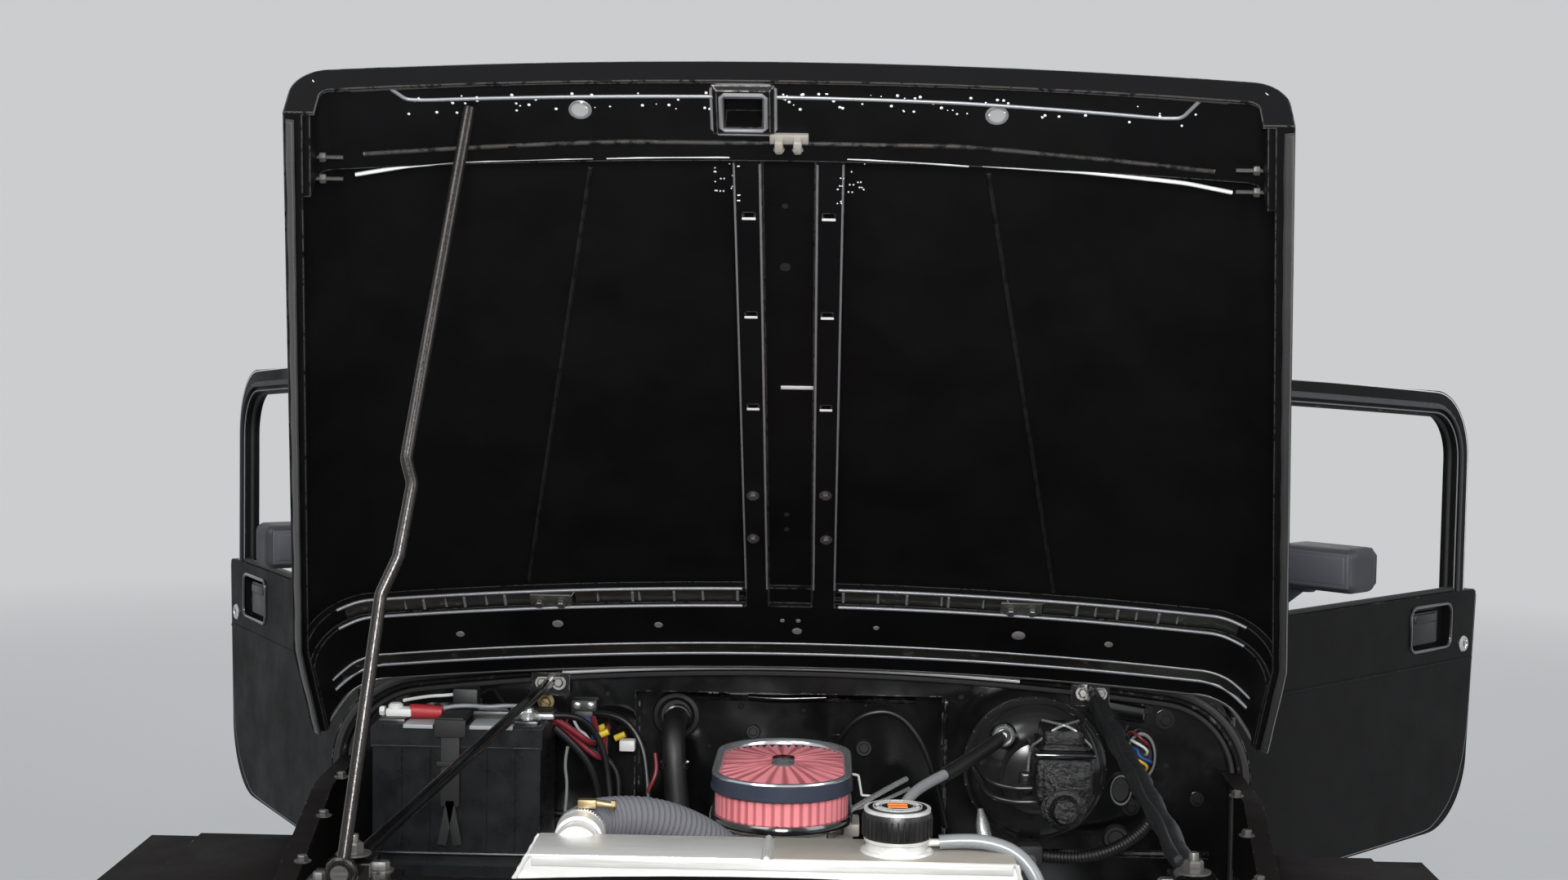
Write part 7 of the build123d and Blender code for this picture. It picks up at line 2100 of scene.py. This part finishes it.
@dataclass
class RoadWheel:
    """A steel wheel's cap, nuts and valve, and the moulded rings of its tyre's walls."""

    body: str
    centre: Point
    out: Point
    width: float = 0.262

    def build(self) -> None:
        """Makes the wheel's dressing."""
        on = Mount(self.body, STANDING @ Shop.stand(self.centre, self.out))
        name = self.body if self.body != "tailgate" else "spare"
        hub = 0.0 if name == "spare" else 0.076
        if hub:
            Shop.turned(f"hub_cap_{name}", GLOSS_BLACK, (((0, 0, hub), UP, (
                (0.0, 0.020), (0.016, 0.019), (0.030, 0.014), (0.037, 0.004), (0.039, 0.0), (0.046, -0.001))),),
                        on)
        rows = []
        for i in range(6):
            angle = math.tau * (i + 0.5) / 6
            rows.append((0.071 * math.cos(angle), 0.071 * math.sin(angle), 0.016, 0.022, 0.016, 0.014))
        Shop.bolts(f"wheel_nuts_{name}", WORN_STEEL, rows, UP, on)
        mesh = bmesh.new()
        Shop.add_tube(mesh, [(0.158, 0.0, 0.020), (0.163, 0.0, 0.052), (0.160, 0.0, 0.068)],
                      [0.0058, 0.0042, 0.0044], 12)
        Shop.piece(f"tyre_valve_{name}", mesh, STRAP_RUBBER, on)
        rings = []
        half = self.width / 2
        for face in (-1, 1):
            for radius, height in ((0.222, half - 0.0095), (0.262, half - 0.004), (0.286, half + 0.0002),
                                   (0.318, half - 0.0012)):
                rings.append(((0, 0, 0), (0, 0, face),
                              ((radius - 0.003, height - 0.002), (radius - 0.0015, height + 0.0022),
                               (radius + 0.0015, height + 0.0022), (radius + 0.003, height - 0.002))))
        Shop.turned(f"tyre_rings_{name}", TYRE, rings, on, 96)
        mesh = bmesh.new()
        for face in (-1, 1):
            for i in range(60):
                turn = Matrix.Rotation(math.tau * i / 60, 4, "Z") @ Matrix.Diagonal((1, 1, face, 1))
                Shop.add_block(mesh, (0.296, -0.0035, half - 0.0035, 0.314, 0.0035, half + 0.0010), 0.0, turn)
        Shop.piece(f"tyre_blocks_{name}", mesh, TYRE, on)


@dataclass
class Cushion:
    """A foam cushion under vinyl: crowned by simulation, with sewn channels and piped edges."""

    name: str
    corners: Row
    lean: float = 0.0
    pivot: Point = (0.0, 0.0, 0.0)
    channels: tuple[float, ...] = ()
    grip: float = 0.028
    slack: float = 0.014
    voxel: float = 0.008
    quick_voxel: float = 0.016
    frames: int = 20
    pressure: float = 4.0
    sewn_deep: float = 0.012
    sewn_wide: float = 0.009
    edge_wide: float = 0.05
    rounding: float = 0.040
    piping: float = 0.0055

    def build(self, mirrored: bool = False) -> None:
        """Makes the cushion, and its twin on the other side where there is one.

        Args:
            mirrored: whether it has a twin.
        """
        item = self.start()
        self.inflate(item)
        self.sew(item)
        self.finish(item)
        if mirrored:
            self.twin(item)

    def start(self) -> bpy.types.Object:
        """Returns the cushion's foam, cut a little small because it swells."""
        mesh = bmesh.new()
        low = [v + self.slack for v in self.corners[:3]]
        high = [v - self.slack for v in self.corners[3:]]
        Shop.add_block(mesh, (*low, *high), min(self.slack * 2.2, (high[2] - low[2]) * 0.42), segments=5)
        bmesh.ops.triangulate(mesh, faces=mesh.faces)
        data = bpy.data.meshes.new(self.name)
        mesh.to_mesh(data)
        mesh.free()
        item = bpy.data.objects.new(self.name, data)
        bpy.context.scene.collection.objects.link(item)
        remesh = item.modifiers.new("remesh", "REMESH")
        remesh.mode = "VOXEL"
        remesh.voxel_size = self.voxel
        self.bake(item)
        return item

    def bake(self, item: bpy.types.Object) -> None:
        """Takes what the modifiers show as the cushion's own mesh and drops them.

        Args:
            item: the cushion.
        """
        shown = item.evaluated_get(bpy.context.evaluated_depsgraph_get())
        data = bpy.data.meshes.new_from_object(shown)
        item.modifiers.clear()
        old, item.data = item.data, data
        bpy.data.meshes.remove(old)
        data.name = item.name

    def inflate(self, item: bpy.types.Object) -> None:
        """Blows the cover up against its foam for a few frames, and lets no point move further than its grip.

        Args:
            item: the cushion.
        """
        rest = [v.co.copy() for v in item.data.vertices]
        cloth = item.modifiers.new("cloth", "CLOTH")
        cloth.settings.use_pressure = True
        cloth.settings.uniform_pressure_force = self.pressure
        cloth.settings.effector_weights.gravity = 0.0
        cloth.settings.quality = 4
        scene = bpy.context.scene
        for step in range(1, self.frames + 1):
            scene.frame_set(step)
        self.bake(item)
        scene.frame_set(1)
        for vert, start in zip(item.data.vertices, rest):
            move = vert.co - start
            if move.length > self.grip:
                vert.co = start + move * (self.grip / move.length)

    def sew(self, item: bpy.types.Object) -> None:
        """Pulls the sewn channels in across the sitting face.

        Args:
            item: the cushion.
        """
        low, high = Vector(self.corners[:3]), Vector(self.corners[3:])
        middle = (low + high) / 2
        for vert in item.data.vertices:
            spot = vert.co
            gap = min((abs(spot.y - (low.y + (high.y - low.y) * share)) for share in self.channels),
                      default=1.0)
            if spot.z > middle.z:
                edge = min(spot.x - low.x, high.x - spot.x)
                shallow = min(1.0, max(0.0, edge / self.edge_wide))
                spot.z -= self.sewn_deep * math.exp(-(gap / self.sewn_wide) ** 2) * shallow
            spot.x = min(max(spot.x, low.x), high.x)
            spot.y = min(max(spot.y, low.y), high.y)
            spot.z = max(spot.z, low.z)

    def finish(self, item: bpy.types.Object) -> None:
        """Leans the cushion to its place, covers it, and pipes its upper edge.

        Args:
            item: the cushion.
        """
        place = STANDING @ self.turn()
        item.data.transform(place)
        item.data.shade_smooth()
        item.data.materials.append(SEAT_VINYL.material())
        soft = item.modifiers.new("soft", "SUBSURF")
        soft.levels = soft.render_levels = 1
        self.settle(item)
        x0, y0, z0, x1, y1, z1 = self.corners
        r, z, inset = self.rounding, z0 + (z1 - z0) * 0.72, self.slack * 0.62
        loop = [(x, y, z) for x, y in Shop.rounded_loop((x0, y0), (x1, y1), r, r - inset, 7)]
        mesh = bmesh.new()
        Shop.add_tube(mesh, loop, self.piping, 8, closed=True)
        Shop.piece(f"{self.name}_piping", mesh, PIPING, Mount("vehicle", place), 60.0)

    def turn(self) -> Matrix:
        """Returns the lean about the cushion's own pivot."""
        pin = Matrix.Translation(Vector(self.pivot))
        return pin @ Matrix.Rotation(math.radians(self.lean), 4,
                                     "X") @ pin.inverted() if self.lean else Matrix()

    def settle(self, item: bpy.types.Object) -> None:
        """Fixes the cushion to the vehicle, in place of its plain solid."""
        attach(item, "vehicle")
        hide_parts("seats")
        log.info("%s: %d faces in %s", item.name, len(item.data.polygons), SEAT_VINYL.name)

    def twin(self, item: bpy.types.Object) -> None:
        """Makes the same cushion for the other side.

        Args:
            item: the finished cushion.
        """
        for source in (item, bpy.data.objects[f"{self.name}_piping"]):
            mesh = bmesh.new()
            mesh.from_mesh(source.data)
            bmesh.ops.transform(mesh, matrix=STANDING @ FLIP @ STANDING.inverted(), verts=mesh.verts)
            bmesh.ops.reverse_faces(mesh, faces=mesh.faces)
            data = source.data.copy()
            mesh.to_mesh(data)
            mesh.free()
            other = bpy.data.objects.new(source.name.replace("left", "right"), data)
            bpy.context.scene.collection.objects.link(other)
            if source is item:
                soft = other.modifiers.new("soft", "SUBSURF")
                soft.levels = soft.render_levels = 1
                self.settle(other)
            else:
                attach(other, "vehicle")


@dataclass
class Cabin:
    """Seats, dashboard, steering wheel, levers, windscreen fittings and roll bar padding."""

    wheel_x: float = 0.345
    screen_foot: Point = (0.0, 0.318, 1.116)
    screen_lean: float = 12.0
    floor_top: float = 0.605

    def build(self) -> None:
        """Makes the cabin's pieces."""
        self.make_seats()
        self.make_dash()
        self.make_steering_wheel()
        self.make_levers()
        self.make_windscreen()
        self.make_roll_bar()

    def make_seats(self) -> None:
        """Pads the bucket seats and the bench, and stands them on their plinths."""
        Cushion("seat_left_cushion", (0.120, 0.640, 0.700, 0.570, 1.110, 0.830),
                channels=(0.25, 0.50, 0.75)).build(True)
        Cushion("seat_left_back", (0.130, 1.075, 0.660, 0.560, 1.596, 0.762), 77.4, (0.345, 1.000, 0.760),
                channels=(0.2, 0.4, 0.6, 0.8)).build(True)
        Cushion("bench_cushion", (-0.480, 1.560, 0.850, 0.480, 1.960, 0.960), channels=(0.33, 0.66)).build()
        Cushion("bench_back", (-0.480, 1.950, 0.815, 0.480, 2.296, 0.902), 80.07, (0.0, 1.890, 0.900),
                channels=(0.3, 0.6)).build()
        Shop.blocks("seat_plinths", TRIM, (
            (0.170, 0.700, 0.6055, 0.520, 1.050, 0.712), (-0.520, 0.700, 0.6055, -0.170, 1.050, 0.712),
            (-0.420, 1.590, 0.6905, 0.420, 1.890, 0.862)), 0.008, segments=3)
        rows = [(s * 0.345 + dx, y, 0.6055, 0.018, 0.009, 0.014) for s in (-1, 1) for dx in (-0.187, 0.187)
                for y in (0.740, 1.010)]
        Shop.bolts("plinth_bolts", WORN_STEEL, rows, UP)

    def make_dash(self) -> None:
        """Fits the dial, its ticks and needle, the switches, the vents and a grab rail."""
        x, y, z = self.wheel_x, 0.402, 1.000
        Shop.turned("dial_bezels", CHROME, (((x, y, z), REARWARD, (
            (0.052, 0.0), (0.060, 0.0), (0.060, 0.005), (0.056, 0.008), (0.0525, 0.004), (0.052, 0.001))),),
                    steps=48)
        mesh = bmesh.new()
        for i in range(27):
            wide = 0.0012 if i % 3 == 0 else 0.0006
            turn = Matrix.Translation((x, y, z)) @ Matrix.Rotation(math.radians(-130 + 10 * i), 4, "Y")
            Shop.add_block(mesh, (-wide, 0.0004, 0.040 if i % 3 == 0 else 0.044, wide, 0.0012, 0.049), 0.0,
                           turn)
        Shop.piece("dial_ticks", mesh, PALE_PRINT)
        mesh = bmesh.new()
        Shop.add_block(mesh, (-0.0012, 0.0016, -0.008, 0.0012, 0.0026, 0.040), 0.0005,
                       Matrix.Translation((x, y, z)) @ Matrix.Rotation(math.radians(-118), 4, "Y"))
        Shop.add_turned(mesh, ((0.0, 0.004), (0.005, 0.0035), (0.006, 0.0)), Shop.stand((x, y, z), REARWARD),
                        20)
        Shop.piece("dial_needle", mesh, ORANGE_PRINT)
        rows = [(-0.20 + 0.045 * i, 0.386, 0.955, -0.176 + 0.045 * i, 0.396, 0.980) for i in range(5)]
        rows += [(-0.590, 0.386, 0.930, -0.330, 0.3915, 1.030), (0.020, 0.386, 0.930, 0.200, 0.3915, 0.990)]
        Shop.blocks("dash_switches", GLOSS_BLACK, rows, 0.003)
        rows = []
        for cx in (-0.14, -0.06, 0.10):
            rows += [((cx, 0.386, 1.030 if cx < 0 else 1.020), REARWARD, (
                (0.028, 0.006), (0.031, 0.008), (0.034, 0.005), (0.035, 0.0)))]
            rows += [((cx, 0.386, 1.030 if cx < 0 else 1.020), REARWARD,
                      ((0.0, 0.006), (0.009, 0.006), (0.011, 0.0)))]
        Shop.turned("dash_vents", TRIM, rows)
        mesh = bmesh.new()
        rail = [(-0.560, 0.388, 0.985), (-0.556, 0.428, 0.985), (-0.460, 0.436, 0.985), (-0.364, 0.428, 0.985),
                (-0.360, 0.388, 0.985)]
        Shop.add_tube(mesh, Shop.smooth_path(rail, 0.008), 0.011, 14)
        Shop.piece("dash_grab_rail", mesh, STRAP_RUBBER, sharp=60.0)

    def make_steering_wheel(self) -> None:
        """Wraps the rim, bolts the spokes and caps the hub."""
        way = Vector((0.0, 0.285, 0.130)).normalized()
        centre = Vector((self.wheel_x, 0.637, 1.060)) + way * 0.0203
        on = Mount("steering_wheel", STANDING @ Shop.stand(centre, way))
        mesh = bmesh.new()
        ring = [(0.190 * math.cos(a), 0.190 * math.sin(a), 0.0)
                for a in (math.radians(3 * i) for i in range(120))]
        Shop.add_tube(mesh, ring, [0.0150 + 0.0008 * (i % 2) for i in range(120)], 14, closed=True)
        Shop.piece("steering_grip", mesh, STRAP_RUBBER, on, 60.0)
        Shop.turned("horn_pad", TRIM, (((0, 0, 0.010), UP, (
            (0.0, 0.018), (0.020, 0.0175), (0.034, 0.014), (0.044, 0.006), (0.046, 0.0), (0.044, -0.006))),),
                    on, 48)
        rows = []
        for i in range(3):
            angle = math.radians(90 + 120 * i)
            rows += [(0.058 * math.cos(angle), 0.058 * math.sin(angle), 0.004, 0.010, 0.004, 0.007)]
        Shop.bolts("spoke_bolts", WORN_STEEL, rows, UP, on)

    def make_levers(self) -> None:
        """Stands the gear and transfer levers in their rubber boots on the tunnel."""
        for name, x, y, top, lean in (("gear_lever", 0.000, 0.760, 0.985, 0.06),
                                      ("transfer_lever", -0.075, 0.840, 0.900, 0.04)):
            mesh = bmesh.new()
            low = self.floor_top
            Shop.add_tube(mesh, Shop.smooth_path([(x, y, low), (x, y + 0.01, low + 0.10),
                                                  (x + 0.01, y + lean, top)], 0.02),
                          0.006, 10)
            Shop.piece(f"{name}_rod", mesh, WORN_STEEL, sharp=60.0)
            Shop.turned(f"{name}_knob", GLOSS_BLACK, (((x + 0.01, y + lean, top - 0.006), (0, lean, 0.2), (
                (0.008, -0.006), (0.016, 0.004), (0.0215, 0.018), (0.0195, 0.032), (0.011, 0.040),
                (0.0, 0.042))),))
            Shop.turned(f"{name}_boot", SEAL_RUBBER, (((x, y, low - 0.004), UP, (
                (0.055, 0.0), (0.052, 0.010), (0.038, 0.016), (0.040, 0.024), (0.028, 0.032), (0.030, 0.040),
                (0.018, 0.048), (0.020, 0.056), (0.008, 0.064), (0.0, 0.065))),))

    def make_windscreen(self) -> None:
        """Seals the glass, and lays the wipers and the inside mirror on the frame."""
        place = (Matrix.Translation(Vector(self.screen_foot))
                 @ Matrix.Rotation(-math.radians(self.screen_lean), 4, "X"))
        on = Mount("vehicle", STANDING @ place)
        half, low, high, r = 0.657, 0.049, 0.483, 0.030
        loop = Shop.rounded_loop((-half, low), (half, high), r, r, 6)
        for name, y, finish, radius in (("screen_seal_front", -0.0175, SEAL_RUBBER, 0.0075),
                                        ("screen_seal_rear", 0.0175, SEAL_RUBBER, 0.0070)):
            mesh = bmesh.new()
            Shop.add_tube(mesh, [(x, y, z) for x, z in loop], radius, 10, closed=True)
            Shop.piece(name, mesh, finish, on)
        mesh = bmesh.new()
        for x, reach in ((-0.34, 0.30), (0.24, 0.30)):
            Shop.add_tube(mesh, [(x, -0.024, 0.020), (x + 0.10, -0.028, 0.060), (x + reach, -0.020, 0.075)],
                          [0.006, 0.004, 0.003], 10)
            Shop.add_block(mesh, (x + 0.02, -0.024, 0.069, x + 0.40, -0.012, 0.079), 0.002)
            Shop.add_turned(mesh, ((0.0, 0.012), (0.010, 0.010), (0.014, 0.0), (0.014, -0.008)),
                            Shop.stand((x, -0.020, 0.020), FORWARD), 20)
        Shop.piece("wipers", mesh, STRAP_RUBBER, on)
        Shop.blocks("inside_mirror", TRIM, ((-0.110, 0.040, 0.395, 0.110, 0.058, 0.450),
                                            (-0.010, 0.014, 0.440, 0.010, 0.048, 0.486)), 0.006, on, 3)
        Shop.blocks("inside_mirror_glass", CHROME, ((-0.102, 0.0575, 0.400, 0.102, 0.0590, 0.445),), 0.0006, on)

    def make_roll_bar(self) -> None:
        """Sleeves the hoop's top and sides in foam, ties the sleeves and bolts the feet."""
        rows = (
            ("hoop_padding_top", ((-0.46, 1.387, 1.610), (0.0, 1.387, 1.610), (0.46, 1.387, 1.610))),
            ("hoop_padding_left", ((0.610, 1.387, 1.450), (0.610, 1.387, 1.280), (0.610, 1.387, 1.110))),
            ("hoop_padding_right", ((-0.610, 1.387, 1.450), (-0.610, 1.387, 1.280), (-0.610, 1.387, 1.110))),
        )
        ties = bmesh.new()
        for name, route in rows:
            mesh = bmesh.new()
            path = Shop.smooth_path(route, 0.02)
            radii = [0.0345 + 0.0008 * math.sin(i * 2.1) for i in range(len(path))]
            radii[0] = radii[-1] = 0.030
            Shop.add_tube(mesh, path, radii, 20)
            pad = Shop.piece(name, mesh, FOAM_SLEEVE, sharp=60.0)
            for i in range(2, len(path) - 2, max(len(path) // 5, 3)):
                Shop.add_tube(ties, [path[i], path[i] + (path[i + 1] - path[i]).normalized() * 0.018], 0.0365,
                              20)
        Shop.piece("padding_ties", ties, STRAP_RUBBER)
        rows = [(s * 0.610 + dx, 1.387 + dy, 0.900, 0.016, 0.010, 0.012) for s in (-1, 1)
                for dx in (-0.038, 0.038)
                for dy in (-0.034, 0.034)]
        Shop.bolts("roll_bar_bolts", WORN_STEEL, rows, UP)
        Shop.blocks("roll_bar_feet", SATIN_PAINT,
                    [(s * 0.610 - 0.055, 1.335, 0.896, s * 0.610 + 0.055, 1.439, 0.9015)
                     for s in (-1, 1)], 0.002)


@dataclass
class Outside:
    """Lamps, grille, bumper bolts, tailgate fittings, filler cap and the lines of the body's sides."""

    headlamp: Point = (0.415, -1.198, 0.890)
    tail_lamp: Point = (0.682, 2.270, 0.930)

    def build(self) -> None:
        """Makes the outside's pieces."""
        self.make_lamps()
        self.make_grille()
        self.make_tailgate()
        self.make_sides()
        self.make_bumpers()

    def make_lamps(self) -> None:
        """Rings the head lamps with chrome, flutes their lenses, and colours the tail lamps."""
        x0, y, z = self.headlamp
        bezels, flutes, rings = [], bmesh.new(), []
        for x in (-x0, x0):
            bezels.append(((x, y, z), FORWARD,
                           ((0.0935, -0.004), (0.1010, -0.003), (0.1015, 0.004), (0.0965, 0.010),
                               (0.0900, 0.007), (0.0890, 0.001))))
            rings.append(((x, y, z), FORWARD,
                          ((0.0, 0.0085), (0.040, 0.0075), (0.070, 0.0045), (0.088, 0.001))))
            for i in range(-6, 7):
                reach = 0.082 * math.sqrt(1 - (i / 7.2) ** 2)
                Shop.add_block(flutes, (x + 0.0115 * i - 0.0022, y - 0.0082, z - reach, x + 0.0115 * i + 0.0022,
                                        y - 0.001, z + reach), 0.001, segments=1)
        Shop.turned("headlamp_bezels", CHROME, bezels, steps=64)
        Shop.turned("headlamp_lenses", LENS, rings, steps=48)
        Shop.piece("headlamp_flutes", flutes, LENS)
        Shop.turned("side_lamp_rings", RUBBED_EDGE_HIGHLIGHT, [((x, -1.204, 0.745), FORWARD, (
            (0.034, -0.006), (0.039, -0.004), (0.039, 0.002), (0.034, 0.005), (0.031, 0.001)))
                                                     for x in (-x0, x0)], steps=40)
        Shop.turned("side_lamp_lenses", AMBER_LENS, [((x, -1.204, 0.745), FORWARD, (
            (0.0, 0.006), (0.018, 0.005), (0.031, 0.001))) for x in (-x0, x0)], steps=36)
        x, y, z = self.tail_lamp
        red, amber, screws = [], [], []
        for s in (-1, 1):
            red.append((s * x - 0.056, y - 0.004, z - 0.064, s * x + 0.056, y + 0.008, z + 0.020))
            amber.append((s * x - 0.056, y - 0.004, z + 0.024, s * x + 0.056, y + 0.008, z + 0.064))
            screws += [(s * x + dx, y + 0.008, z + 0.022, 0.007, 0.002) for dx in (-0.046, 0.046)]
        Shop.blocks("tail_lenses_red", RED_LENS, red, 0.004, segments=3)
        Shop.blocks("tail_lenses_amber", AMBER_LENS, amber, 0.004, segments=3)
        Shop.bolts("tail_lens_screws", STAINLESS, screws, REARWARD)

    def make_grille(self) -> None:
        """Turns the slots' edges forward and bolts the panel down along its top."""
        mesh = bmesh.new()
        for i in range(-4, 5):
            x, half = 0.062 * i, 0.0175
            if abs(x) + half > self.headlamp[0] - 0.095:
                continue
            loop = [(x + half * math.cos(math.radians(a)), -1.1925, (0.943 if a <= 180 else 0.707)
                     + half * math.sin(math.radians(a))) for a in range(0, 360, 30)]
            loop.insert(7, (x - half, -1.1925, 0.707))
            loop.append((x + half, -1.1925, 0.707))
            Shop.add_tube(mesh, loop, 0.0030, 8, closed=True)
        Shop.piece("grille_slot_edges", mesh, BODY_PAINT)
        Shop.bolts("grille_bolts", WORN_STEEL, [(x, -1.072, 1.030, 0.014, 0.008, 0.011) for x in
                                                (-0.36, -0.22, 0.08, 0.26, 0.34)], UP)

    def make_tailgate(self) -> None:
        """Fits the tailgate's handle, hinge bolts, reinforcing ribs and the spare wheel's bracket nuts."""
        Shop.blocks("tailgate_handle", GLOSS_BLACK, ((0.330, 2.224, 0.985, 0.415, 2.234, 1.035),
                                                     (0.342, 2.231, 0.996, 0.404, 2.246, 1.022)), 0.004,
                    TAILGATE, 3)
        Shop.bolts("tailgate_hinge_bolts", WORN_STEEL,
                   [(x, 2.233, z - 0.010, 0.012, 0.005, 0.008) for z in (0.740, 1.000)
                    for x in (-0.420, -0.385, -0.350)], REARWARD, TAILGATE)
        Shop.blocks("tailgate_ribs", BODY_PAINT, [(x - 0.009, 2.224, 0.660, x + 0.009, 2.2285, 1.040)
                                                  for x in (-0.24, -0.17, 0.17, 0.24)], 0.002, TAILGATE)
        Shop.bolts("spare_plate_bolts", WORN_STEEL, [(x, 2.237, z, 0.016, 0.008, 0.012) for x in (-0.100, 0.100)
                                                     for z in (0.880, 1.020)], REARWARD, TAILGATE)

    def make_sides(self) -> None:
        """Presses a crease along each quarter panel, lays the top rail's capping and fits the filler cap."""
        for side in Side:
            s, name = side.value, side.name.lower()
            rows = (
                ("quarter_rail", [(s * 0.745, 1.335, 1.0855), (s * 0.745, 1.780, 1.0855),
                                  (s * 0.745, 2.215, 1.0855)], 0.0070),
                ("quarter_crease", [(s * 0.7560, 1.336, 0.978), (s * 0.7560, 1.780, 0.978),
                                    (s * 0.7560, 2.218, 0.978)],
                 0.0040),
            )
            for piece, route, radius in rows:
                Shop.hose(f"{piece}_{name}", BODY_PAINT, radius, route, sides=10)
        Shop.turned("filler_cap", GLOSS_BLACK, (((0.757, 2.020, 0.900), ACROSS, (
            (0.058, 0.0), (0.060, 0.003), (0.050, 0.005), (0.042, 0.004), (0.040, 0.014), (0.036, 0.017),
            (0.0, 0.017))),),
                    steps=48)

    def make_bumpers(self) -> None:
        """Bolts the bumpers on."""
        rows = [(x, -1.370, z, 0.020, 0.009, 0.016) for x in (-0.42, -0.34, 0.34, 0.42) for z in (0.485, 0.535)]
        Shop.bolts("front_bumper_bolts", WORN_STEEL, rows, FORWARD)
        rows = [(x, 2.280, 0.535, 0.020, 0.009, 0.016) for x in (-0.42, -0.34, 0.34, 0.42)]
        Shop.bolts("rear_bumper_bolts", WORN_STEEL, rows, REARWARD)


def dress_nodes() -> None:
    """Gives every CAD node its finish."""
    for name, item in frame["nodes"].items():
        item.data.materials.clear()
        item.data.materials.append(finish_for(name).material())


def main() -> None:
    """Builds the studio and dresses the vehicle."""
    logging.basicConfig(level=logging.INFO, format="%(name)s %(message)s")
    bpy.context.scene.view_settings.view_transform = "Standard"
    Studio().build()
    dress_nodes()
    wheels = [RoadWheel(f"wheel_{end}_{side.name.lower()}", (side.value * 0.715, y, 0.390), (side.value, 0, 0))
              for end, y in (("front", -0.750), ("rear", 1.625)) for side in Side]
    for part in (BonnetUnderside(), AirCleaner(), Radiator(), UpperHose(), Battery(), Bulkhead(), Booster(),
                 BayFrame(), Door(Side.LEFT), Door(Side.RIGHT, mirror_x=0.853), *wheels,
                 RoadWheel("tailgate", (0.0, 2.416, 0.950), REARWARD), Cabin(), Outside()):
        part.build()
        log.info("built %s", type(part).__name__)


if __name__ == "__main__":
    main()
